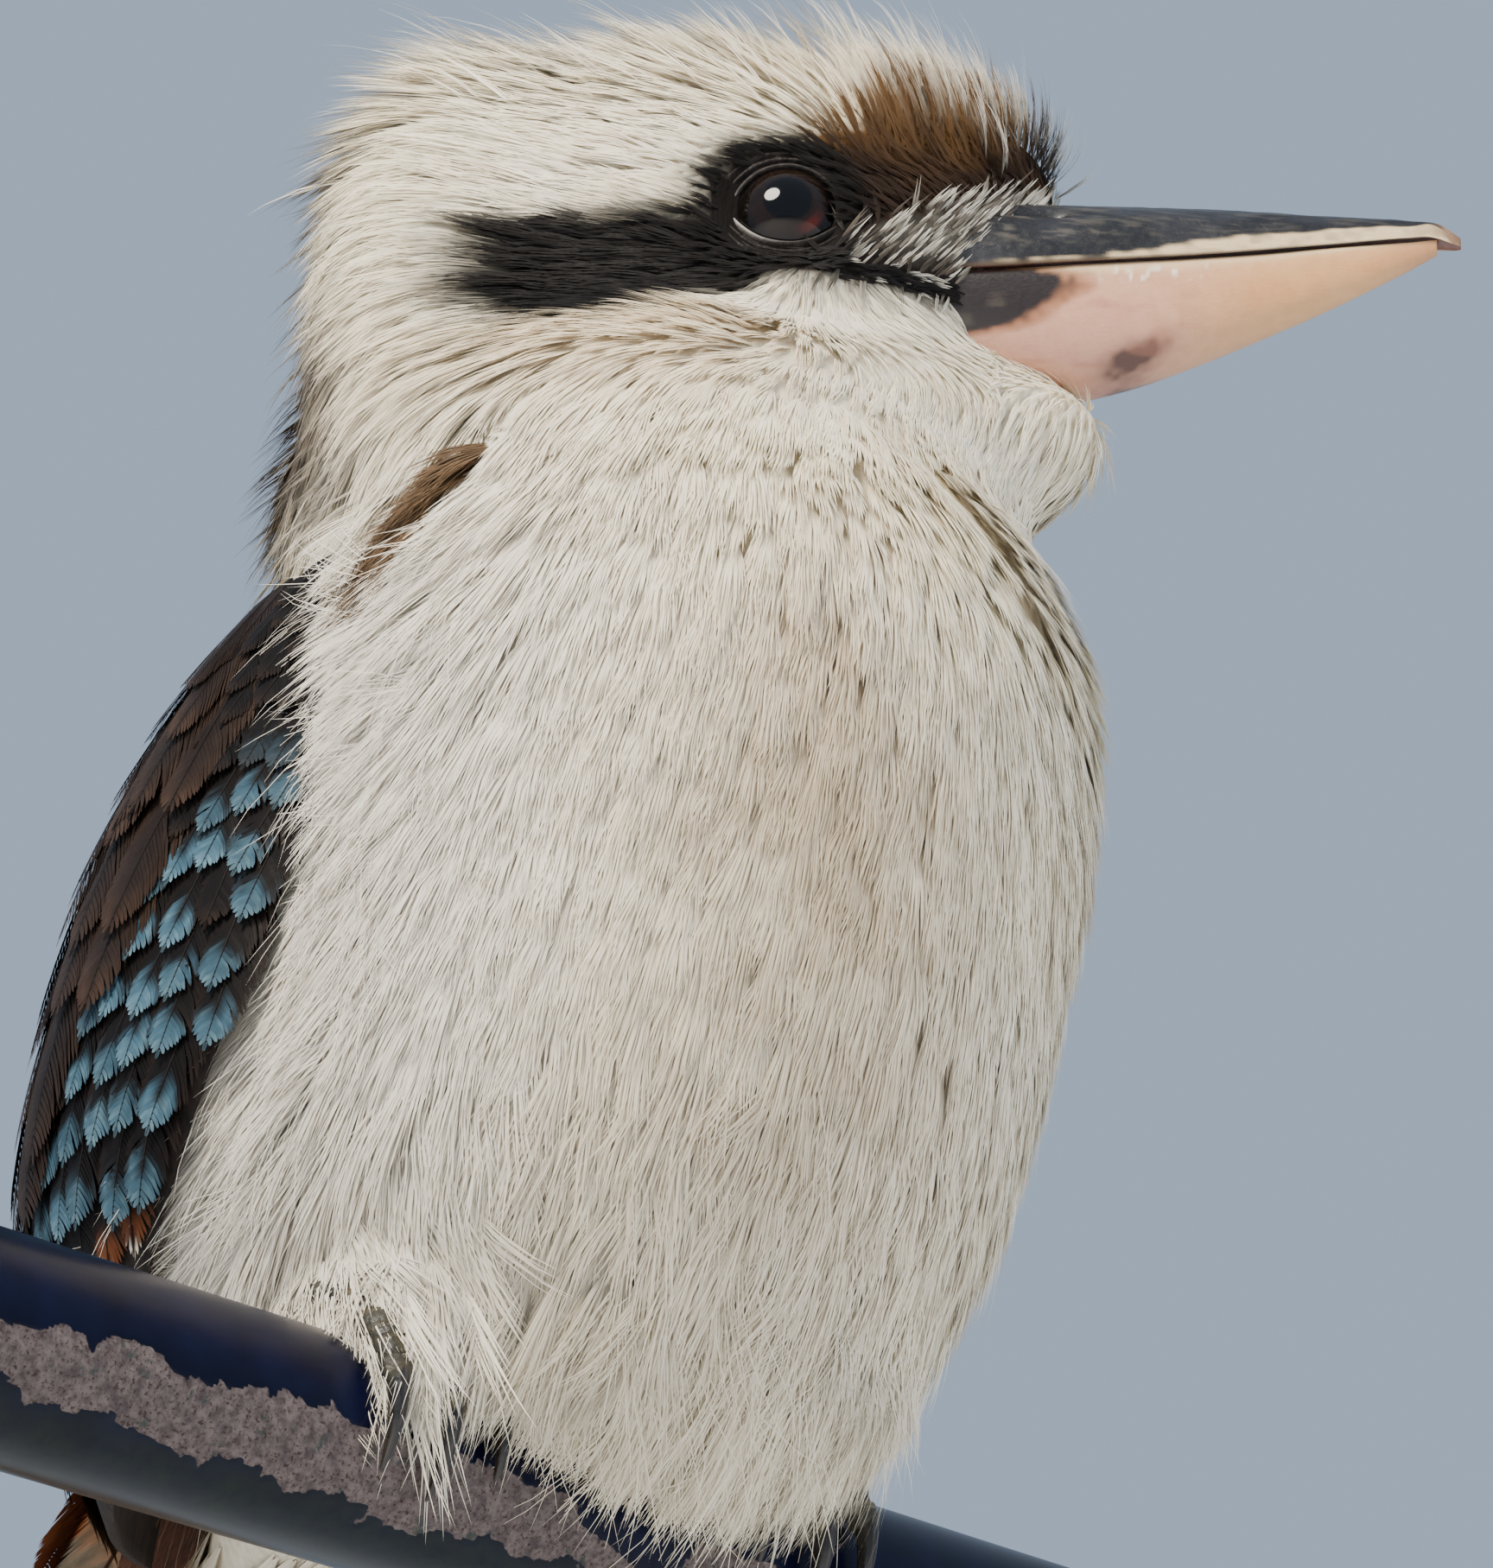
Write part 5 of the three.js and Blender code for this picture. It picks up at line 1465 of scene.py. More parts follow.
def make_wing(side, tag):
    r = rng(70 + side)
    form = wing_form(side, "wing_form_" + tag)
    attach(form, "root")
    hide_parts("wing_" + tag)
    heap = Heap()
    M = 9
    # flight feathers: fanned from the shoulder, their tips along the wing's lower front edge, the inner ones on top
    tipz = np.array([15.5, 13.5, 11, 8, 4.5, 1.5, -1, -3, -4.5, -5.5, -6, -6.5])
    tipp = np.array([6, 12, 19, 26, 33, 39.5, 46, 51, 56, 60.5, 65, 69])
    N = len(tipz)
    k = np.arange(N)
    Lf = np.linspace(74, 104, N)
    tilt = np.linspace(13, 24, N)
    ph = tipp.astype(float).copy()
    zz = tipz.astype(float).copy()
    for _ in range(24):
        zz = zz + Lf / 24 * np.cos(np.radians(tilt))
        ph = ph - Lf / 24 * np.sin(np.radians(tilt)) / wing_arc(zz, ph)
    low = np.linspace(-2.6, -1.7, N)
    sp, nm, z_, p_ = wing_spines(side, zz, ph, Lf, tilt, 15, low, low + 0.7)
    hf = outline(15, N, 0.72, 2.4, 0.2) * np.linspace(6.5, 7.6, N)[:, None]
    jj = r.normal(0, 1, N)

    def flight_colour(i, t, u):
        c = lerp(WING_BLACK * np.ones(t.shape + (3,)), WING_BROWN, 0.25 * step(0.3, 0.9, np.abs(u)))
        ruf = step(0.90, 0.93, t) * step(5.5, 2.0, i)
        c = lerp(c, RUFOUS * 0.45, ruf * 0.8)
        c = lerp(c, WHITE * 0.9, step(0.965, 0.98, t) * step(6.0, 3.0, i) * 0.8)
        c = lerp(c, SHOULDER * 0.8, step(0.94, 0.985, t) * step(2.0, 6.0, i) * 0.5)
        return c * (0.92 + 0.10 * jj[i])[..., None].clip(0.6, 1.3)

    vanes(heap, sp, nm, hf, flight_colour, 96, 71, atlas_part(0, N), sweep=1.1, camber=0.10, splits=0.2, shaft=0.9,
          shaft_colour=srgb(30, 24, 22))
    # coverts in overlapping rows
    S = covert_sites(side, 72)
    S = S[np.argsort(S[:, 0])]
    N2 = len(S)
    gap = S[:, 2]
    Lc = np.minimum(gap * 2.7, np.maximum(8.5, (hood(S[:, 1]) + 5 - S[:, 0]) * 1.03))
    tilt2 = 9 + 10 * S[:, 4] + 6 * step(60, 20, S[:, 0])
    zz, ph = S[:, 0].copy(), S[:, 1].copy()
    for _ in range(12):
        zz = zz + Lc / 12 * np.cos(np.radians(tilt2))
        ph = ph - Lc / 12 * np.sin(np.radians(tilt2)) / wing_arc(zz, ph)
    sp, nm, z_, p_ = wing_spines(side, zz, ph, Lc, tilt2, M, np.full(N2, -2.3), np.full(N2, 0.0) + 0.25 * S[:, 4])
    hc = outline(M, N2, 0.52, 2.0, 0.3) * (gap * 0.60)[:, None]
    # which coverts carry a pale blue end: a diagonal band of the wing, thinning out upwards
    zt, pt, rnd = S[:, 0], S[:, 1], S[:, 4]
    edge = curve(zt, DARK_EDGE["z"], DARK_EDGE["phi"])
    blue = step(14, 19, zt) * step(82, 66, zt + 6 * (rnd - 0.5)) * step(1.5, -3.5, pt - edge)
    blue = blue * (rnd > 0.10 + 0.25 * step(45, 75, zt))
    mid = rng(73).random(N2)

    def covert_colour(i, t, u):
        b, m_ = blue[i], mid[i]
        c = lerp(WING_BLACK * np.ones(t.shape + (3,)), WING_BROWN, 0.18 * step(0.4, 1.0, np.abs(u)) + 0.30 * step(0.8, 1.0, t))
        spot = step(0.70, 0.80, t + 0.05 * np.sin(u * 9 + m_ * 20)) * step(0.80, 0.52, np.abs(u) + 0.15 * (t - 0.8))
        tone = lerp(BLUE * np.ones(t.shape + (3,)), BLUE_PALE, np.clip(0.55 * step(0.84, 1.0, t) + 0.40 * np.sin(u * 26 + m_ * 50) ** 8, 0, 1))
        tone = tone * (0.70 + 0.35 * m_)[..., None]
        return lerp(c, tone, spot * b * 0.92)

    vanes(heap, sp, nm, hc, covert_colour, 30, 74, atlas_part(12, N2), sweep=1.25, camber=0.16, splits=0.9, ragged=0.06, shaft=0.35,
          shaft_colour=srgb(40, 34, 30), thick=1.15)
    # dark outer feathers over the rest of the wing, from the back's edge, long and broad
    sites = []
    rr = rng(75)
    z, row = -2.0, 0
    while z < 116:
        gap = curve(z, [0, 30, 60, 90, 110, 131], [13.5, 13, 12, 10, 8, 6.5])
        f = curve(z, DARK_EDGE["z"], DARK_EDGE["phi"])
        e = curve(z, [-8, 0, 20, 40, 120], [74, 80, 87, 92, 93])
        deg = gap * 0.62 * 1.36 / wing_arc(z, (f + e) / 2)
        phi = f + deg * (0.5 * (row % 2)) + 1.0
        while phi < e:
            if z < hood(phi) - 4:
                sites.append([z + rr.normal(0, 2.6), phi + rr.normal(0, 0.20) * deg, gap * rr.uniform(0.88, 1.15), rr.random()])
            phi += deg
        z += gap
        row += 1
    D = np.array(sites)
    D = D[np.argsort(D[:, 0])]
    N3 = len(D)
    Ld = np.minimum(D[:, 2] * 3.1, np.maximum(9.0, (hood(D[:, 1]) + 5 - D[:, 0]) * 1.03))
    tilt3 = 6 + 8 * D[:, 3] - 10 * step(50, 80, D[:, 1])
    zz, ph = D[:, 0].copy(), D[:, 1].copy()
    for _ in range(12):
        zz = zz + Ld / 12 * np.cos(np.radians(tilt3))
        ph = ph - Ld / 12 * np.sin(np.radians(tilt3)) / wing_arc(zz, ph)
    sp, nm, z_, p_ = wing_spines(side, zz, ph, Ld, tilt3, M + 2, np.full(N3, -1.7), np.full(N3, 0.9) + 0.3 * D[:, 3] + 0.3 * (side > 0) * step(78, 86, D[:, 1]))
    hd_ = outline(M + 2, N3, 0.5, 2.0, 0.3) * (D[:, 2] * 0.68)[:, None]
    mott = rng(76).random(N3)

    def outer_colour(i, t, u):
        m_ = mott[i]
        c = lerp(WING_DARK * np.ones(t.shape + (3,)), WING_BROWN, np.clip(0.30 * step(0.5, 0.95, np.abs(u)) + (0.2 + 0.35 * m_) * step(0.72, 0.96, t), 0, 1))
        c = lerp(c, WING_BLACK, step(0.22, 0.0, np.abs(u)) * 0.5)
        return c * (0.85 + 0.3 * m_)[..., None]

    vanes(heap, sp, nm, hd_, outer_colour, 38, 77, atlas_part(12 + N2, N3), sweep=1.2, camber=0.13, splits=0.6, ragged=0.04, shaft=0.5,
          shaft_colour=srgb(34, 27, 24), thick=1.15)
    heap.build("wing_feathers_" + tag, FEATHER)




make_wing(-1, "R")
make_wing(1, "L")


# ---------------------------------------------------------------- tail
TAIL = dict(root=(0, 50, 42), d=(0.0, 0.625, -0.78), length=168.0, s=[0, 0.25, 0.6, 0.9, 1], half=[14, 20, 26, 29, 26], ts=[0, 0.5, 1], thick=[5, 3, 1.2], arch=5.0, notch=10.0)
TAIL_D = np.array(TAIL["d"]) / np.linalg.norm(TAIL["d"])
TAIL_N = np.array([0, -TAIL_D[2], TAIL_D[1]])


def tail_at(s, t, off):
    """s along the tail, t across (-1 to 1), off millimetres towards the back's side."""
    w = curve(s, TAIL["s"], TAIL["half"])
    length = TAIL["length"] * s - (3 + TAIL["notch"] * t * t) * s
    o = -TAIL["arch"] * s * t * t + off
    p = np.array(TAIL["root"], float) + length[..., None] * TAIL_D + o[..., None] * TAIL_N
    p[..., 0] = w * t
    return p


def make_tail():
    rows, cols = 16, 25
    V = []
    for i in range(rows):
        s = np.full(cols, 0.085 + 0.27 * i / (rows - 1))
        t = np.linspace(-0.8, 0.8, cols)
        th = 0.40 * curve(s, TAIL["ts"], TAIL["thick"]) * (1 - 0.75 * t**2) * (1 - 0.85 * i / (rows - 1)) + 0.12
        V.append(np.concatenate([tail_at(s, t, th - 0.9), tail_at(s, t[::-1], -th[::-1] - 0.9)]))
    V = np.array(V)
    n = V.shape[1]
    faces = []
    for i in range(rows - 1):
        for j in range(n):
            k = (j + 1) % n
            faces.append([i * n + j, i * n + k, (i + 1) * n + k, (i + 1) * n + j])
    for j in range(cols - 1):
        faces.append([j, 2 * cols - 1 - j, 2 * cols - 2 - j, j + 1])
        b = (rows - 1) * n
        faces.append([b + j, b + j + 1, b + 2 * cols - 2 - j, b + 2 * cols - 1 - j])
    m = Nodes("tail_form_down")
    fib = m.noise(m.scale(m.coords(), 6, 1, 1), 500.0, 3.0, 0.6)
    m.set(Base_Color=m.mix(m.ramp(fib, 0.3, 0.7), srgb(60, 36, 24), srgb(98, 58, 36)), Roughness=0.85)
    m.bump(fib, 0.0004, 0.5)
    o = mesh_of("tail_form", V.reshape(-1, 3), np.array(faces), material=m.m)
    i, j = np.meshgrid(np.linspace(0.02, 0.98, rows), np.linspace(0.02, 0.98, n), indexing="ij")
    set_uv(o, np.stack([j.ravel(), i.ravel()], -1))
    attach(o, "root")
    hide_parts("tail")

    heap = Heap()
    M = 24
    bars = rng(80).random(12)
    k = np.array([-5.5, -4.5, -3.5, -2.5, -1.5, -0.5, 0.5, 1.5, 2.5, 3.5, 4.5, 5.5])
    order = np.argsort(-np.abs(k))
    k = k[order]
    t_of = k / 5.5 * 0.80
    s = np.linspace(0.06, 1.0, M)[None].repeat(12, 0)
    layer = (5.5 - np.abs(k)) / 5.5
    for face in (1, -1):
        # the upper side shows the middle pair on top, the underside the outer ones
        off = (layer * 2.2 - 1.3 + 0.12 * np.sign(k))[:, None] + face * 0.32 + 0 * s
        sp = tail_at(s, t_of[:, None] * (0.6 + 0.4 * s), off + 0.6 * (1 - s))
        nm = np.broadcast_to(TAIL_N * face, sp.shape).copy()
        tilt = np.array([1.0, 0, 0])[None, None] * (t_of[:, None, None] * 0.25)
        nm = unit(nm + tilt * face)
        hf = outline(M, 12, 0.86, 2.2, 0.25) * 10.4

        def tail_colour(i, t, u):
            kk = np.abs(k)[i]
            ph = t * 12.5 + bars[i] * 0.55 + 0.10 * np.abs(u)
            w = np.abs(ph - np.floor(ph) - 0.5)
            bar = step(0.30, 0.23, w + 0.03 * np.sin(u * 7 + i)) * step(0.16, 0.22, t)
            c = lerp(RUFOUS * np.ones(t.shape + (3,)), srgb(122, 70, 40), 0.5 * step(0.5, 0.0, np.abs(u)))
            c = lerp(c, WING_BLACK, bar * (0.92 - 0.25 * (kk < 1)))
            white = step(0.925, 0.94, t - 0.008 * np.abs(u)) * step(0.3, 1.8, kk)
            sub = step(0.875, 0.885, t) * step(0.935, 0.925, t)
            c = lerp(c, WING_BLACK, sub * 0.95)
            c = lerp(c, WHITE, white)
            if face < 0:
                c = lerp(c, CREAM * 0.8, 0.25)
            return c

        vanes(heap, sp, nm, hf, tail_colour, 190, 81 + face, atlas_part(0 if face > 0 else 12, 12), sweep=1.0, camber=0.07 * face, splits=0.15,
              ragged=0.02, shaft=1.0, shaft_colour=srgb(66, 40, 26), thick=1.2)
    # coverts over the tail's root: rufous brown, pale tipped
    rr = rng(83)
    sites = []
    for row, s0 in enumerate((0.43, 0.38, 0.335, 0.29, 0.245, 0.20, 0.155, 0.11, 0.065, 0.02, -0.03)):
        nn = 8 + (row % 2)
        for j in range(nn):
            sites.append([s0 + rr.normal(0, 0.016), -0.9 + 1.8 * j / (nn - 1) + rr.normal(0, 0.06), rr.random()])
    D = np.array(sites)
    N = len(D)
    f = np.linspace(0, 1, 8)[None]
    ss = D[:, :1] - 0.14 * (1 - f)
    tt = D[:, 1:2] + 0 * f
    sp = tail_at(ss, tt, 1.0 + 1.3 * f + 3.0 * step(0.12, -0.12, ss))
    nm = unit(np.broadcast_to(TAIL_N, sp.shape) + np.array([1.0, 0, 0]) * (tt[..., None] * 0.3))
    hf = outline(8, N, 0.5, 2.0, 0.3) * 5.6

    def rump_colour(i, t, u):
        red = step(-0.02, 0.30, D[:, 0][i])
        c = lerp(WING_DARK * np.ones(t.shape + (3,)), RUFOUS * 0.55, np.clip(red * (0.35 + 0.3 * step(0.3, 0.8, t) + 0.3 * D[:, 2][i]), 0, 1))
        c = lerp(c, SHOULDER * 0.7, step(0.86, 0.98, t) * 0.35 * red * (D[:, 2][i] > 0.4))
        return lerp(c, WING_BLACK, step(0.25, 0.0, np.abs(u)) * 0.3)

    vanes(heap, sp, nm, hf, rump_colour, 34, 84, atlas_part(30, N), sweep=1.3, camber=0.15, splits=0.9, ragged=0.06, shaft=0.4, thick=1.15)
    heap.build("tail_feathers", FEATHER)


make_tail()


# ---------------------------------------------------------------- bill
SLATE = srgb(36, 36, 40)
SLATE_PALE = srgb(96, 90, 80)
HORN = srgb(226, 200, 158)
TIP_BROWN = srgb(120, 88, 66)
FLESH = srgb(216, 164, 136)
PEACH = srgb(224, 172, 116)
ORANGE = srgb(212, 144, 84)


def grid_mesh(name, V, material, close_u=True, cap=True):
    """A closed tube mesh from rings V (rows, n, 3), with ends closed by fans."""
    rows, n = V.shape[:2]
    loops, totals = [], []
    i, j = np.meshgrid(np.arange(rows - 1), np.arange(n if close_u else n - 1), indexing="ij")
    k = (j + 1) % n
    quads = np.stack([i * n + j, i * n + k, (i + 1) * n + k, (i + 1) * n + j], -1).reshape(-1, 4)
    verts = V.reshape(-1, 3)
    loops = [quads.ravel()]
    totals = [np.full(len(quads), 4)]
    if cap:
        a, b = len(verts), len(verts) + 1
        verts = np.concatenate([verts, V[0].mean(0)[None], V[-1].mean(0)[None]])
        j = np.arange(n)
        k = (j + 1) % n
        t0 = np.stack([np.full(n, a), k, j], -1)
        t1 = np.stack([np.full(n, b), (rows - 1) * n + j, (rows - 1) * n + k], -1)
        loops += [t0.ravel(), t1.ravel()]
        totals += [np.full(2 * n, 3)]
    loops = np.concatenate(loops)
    totals = np.concatenate(totals)
    starts = np.concatenate([[0], np.cumsum(totals)[:-1]])
    # outside out
    f = quads[len(quads) // 2]
    vol = 0.0
    A, B, C, D = (verts[quads[:, m]] for m in range(4))
    vol = (np.cross(A, B) * C).sum() + (np.cross(A, C) * D).sum()
    o = mesh_of(name, verts, loops=loops, starts=starts, totals=totals, material=material)
    if vol < 0:
        o.data.flip_normals()
    # the unwrap: round the ring across, along the rings up
    uu = np.zeros(len(o.data.loops))
    vi = np.empty(len(o.data.loops), np.int32)
    o.data.loops.foreach_get("vertex_index", vi)
    ring, place = vi // n, vi % n
    u = place / n
    v = ring / max(rows - 1, 1)
    ls = np.empty(len(o.data.polygons), np.int32)
    lt = np.empty(len(o.data.polygons), np.int32)
    o.data.polygons.foreach_get("loop_start", ls)
    o.data.polygons.foreach_get("loop_total", lt)
    face = np.repeat(np.arange(len(ls)), lt)
    capv = vi >= rows * n
    wrap = np.zeros(len(ls))
    np.maximum.at(wrap, face, np.where(capv, 0, u))
    u = np.where((wrap[face] > 0.75) & (u < 0.25) & ~capv, u + 1, u)
    iscap = np.zeros(len(ls), bool)
    iscap[face[capv]] = True
    capf = iscap[face]
    ang = 2 * PI * u
    end = (vi == rows * n + 1) | ((ring >= rows - 1) & ~(vi == rows * n))
    cu = np.where(capv, 0.0, 0.04 * np.cos(ang))
    cv = np.where(capv, 0.0, 0.04 * np.sin(ang))
    U = np.where(capf, np.where(end, 0.15, 0.05) + cu + 0.005, 0.01 + 0.97 * u / 1.0 * 0.99)
    Vv = np.where(capf, 0.95 + cv * 0.9, 0.01 + 0.88 * v)
    set_loop_uv(o, np.clip(np.stack([U, Vv], -1), 0, 1))
    return o, capv


def bill_rings(part, rows, n):
    x0 = 27.0
    end = BILL["x"][-1] if part == "u" else BILL["lowX"][-1]
    t = (np.arange(rows) / (rows - 1)) ** 0.92
    x = x0 + (end - x0) * t
    edge = curve(x, BILL["x"], BILL["edge"])
    if part == "u":
        w = curve(x, BILL["x"], BILL["half"])
        top = curve(x, BILL["x"], BILL["ridge"])
        frm = edge + 0.12
    else:
        w = curve(x, BILL["lowX"], BILL["lowHalf"])
        top = curve(x, BILL["lowX"], BILL["keel"])
        frm = edge - 0.12
    na = int(n * 0.8)
    a = np.linspace(0, PI, na)
    ca, sa = np.cos(a), np.sin(a)
    ey = np.sign(ca) * np.abs(ca) ** 0.82
    ez = np.clip(sa, 0, 1) ** 0.92
    nb = n - na
    b = np.linspace(-1, 1, nb + 2)[1:-1]
    R = np.empty((rows, n, 3))
    R[:, :, 0] = x[:, None]
    R[:, :na, 1] = w[:, None] * ey
    R[:, :na, 2] = frm[:, None] + (top - frm)[:, None] * ez
    # the inside face between the cutting edges, drawn away from the other half
    R[:, na:, 1] = w[:, None] * b * 0.98
    s = 1.0 if part == "u" else -1.0
    R[:, na:, 2] = frm[:, None] + s * np.minimum(1.2, 0.25 * w)[:, None] * (1 - b**4)
    return R, x, w, top, frm, na


def make_upper():
    rows, n = ((190, 132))
    R, x, w, top, frm, na = bill_rings("u", rows, n)
    q = R.reshape(-1, 3).copy()
    X_, Y_, Z_ = q[:, 0], q[:, 1], q[:, 2]
    frac = (Z_ - curve(X_, BILL["x"], BILL["edge"])) / np.maximum(curve(X_, BILL["x"], BILL["ridge"]) - curve(X_, BILL["x"], BILL["edge"]), 0.3)
    outer = (np.arange(n) < na)[None].repeat(rows, 0).ravel()
    nrm = np.stack([0 * X_, Y_ / np.maximum(curve(X_, BILL["x"], BILL["half"]), 0.4) ** 2 * 8, (frac - 0.15) * 1.4], -1)
    nrm = unit(nrm + 1e-6)
    # ribbed ridge: a flat top with a shallow groove either side of it
    groove = np.exp(-(((np.abs(Y_) - (2.6 - 0.018 * (X_ - 40))) / 0.8) ** 2)) * step(0.75, 0.9, frac) * step(100, 80, X_)
    # long scratches, flakes and dents worn into the horn
    s1 = noise(np.stack([X_ * 0.28, Y_ * 1.6, Z_ * 1.6], -1), 1.3, 41)
    s2 = noise(np.stack([X_ * 0.5, Y_, Z_], -1), 0.9, 42)
    s3 = noise(q, 5.0, 43)
    # nostril: a slit that ends under the forehead's feathers, in a shallow hollow
    nz = -1.55 - 0.03 * (X_ - 45)
    slit = np.exp(-(((X_ - 45.0) / 5.2) ** 4) - ((Z_ - nz) / 0.62) ** 2) * (np.abs(Y_) > 2)
    hollow = np.exp(-(((X_ - 49.0) / 9.0) ** 2) - ((Z_ - nz - 0.1) / 1.7) ** 2) * (np.abs(Y_) > 2)
    lip = np.exp(-((frac - 0.07) / 0.05) ** 2) * step(36, 50, X_) * step(104, 96, X_)
    d = -0.10 * groove + (0.14 * (s1 - 0.5) + 0.08 * (s2 - 0.5)) * step(0.1, 0.3, frac) + 0.12 * (s3 - 0.5) - 1.9 * slit - 0.35 * hollow + 0.16 * lip
    d = d * step(106.2, 102, X_) * outer
    q = q + nrm * d[:, None]
    # the tip turns down a little over the lower half
    q[:, 2] -= 1.0 * step(101, 106.4, X_) * (frac < 0.9)
    # colours
    c = lerp(SLATE * np.ones(q.shape), SLATE * 0.55, step(0.35, 0.65, s3))
    s4 = noise(np.stack([X_ * 0.16, Y_ * 2.4, Z_ * 2.4], -1), 0.8, 45)
    scuff = step(0.55, 0.85, s4 * 0.75 + s2 * 0.35) * step(0.12, 0.35, frac)
    c = lerp(c, SLATE_PALE, scuff * (0.22 + 0.28 * step(66, 44, X_)))
    # painted shade: darker in the nostril's slit and, more lightly, in its hollow
    c = lerp(c, SLATE * 0.35, np.clip(slit * 1.2 + 0.25 * hollow, 0, 1))
    band = curve(X_, [38, 52, 62, 70, 80, 88, 95, 101, 104], [0.015, 0.05, 0.10, 0.20, 0.30, 0.40, 0.52, 0.66, 0.9])
    rag = 0.10 * (noise(np.stack([X_ * 0.6, Y_, Z_], -1), 2.2, 44) - 0.5) + 0.05 * (s2 - 0.5)
    pale = step(band + 0.05, band - 0.03, frac + rag)
    c = lerp(c, lerp(HORN, HORN * 0.72, step(0.4, 0.8, s2)), pale * 0.92)
    seam = step(0.055, 0.02, frac) * step(100, 92, X_)
    c = lerp(c, srgb(70, 46, 34), seam * 0.8)
    tipb = step(101.5, 104.8, X_) * step(0.05, 0.5, frac + 0.6 * step(104.5, 106, X_))
    c = lerp(c, TIP_BROWN, tipb * 0.85)
    c = lerp(c, srgb(120, 80, 74), (~outer)[:, None][:, 0] * 0.9)
    m = Nodes("bill_horn_dark")
    co = m.coords()
    scr = m.noise(m.scale(co, 1, 1, 3.2), 1100.0, 4.0, 0.65, 0.4)
    pit = m.voronoi(co, 700.0)
    mott = m.noise(co, 420.0, 4.0, 0.6)
    col = m.mix(m.ramp(scr, 0.52, 0.74, 0.0, 0.40), m.attr("Col"), m.mix(1.0, m.attr("Col"), (1.7, 1.6, 1.4), "MULTIPLY"))
    m.set(Base_Color=col, Roughness=m.ramp(mott, 0.3, 0.75, 0.30, 0.52))
    m.put(m.b.inputs["Specular IOR Level"], 0.38)
    m.put(m.b.inputs["Coat Weight"], 0.15)
    m.put(m.b.inputs["Coat Roughness"], 0.18)
    m.bump(m.math("ADD", m.math("MULTIPLY", scr, 0.7), m.math("MULTIPLY", pit, 0.3)), 0.00016, 0.8)
    V = from_head(q).reshape(rows, n, 3)
    o, capv = grid_mesh("bill_upper_horn", V, m.m)
    cc = np.concatenate([c, c[:1], c[-1:]])
    paint(o, cc)
    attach(o, "root")
    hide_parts("bill_upper")


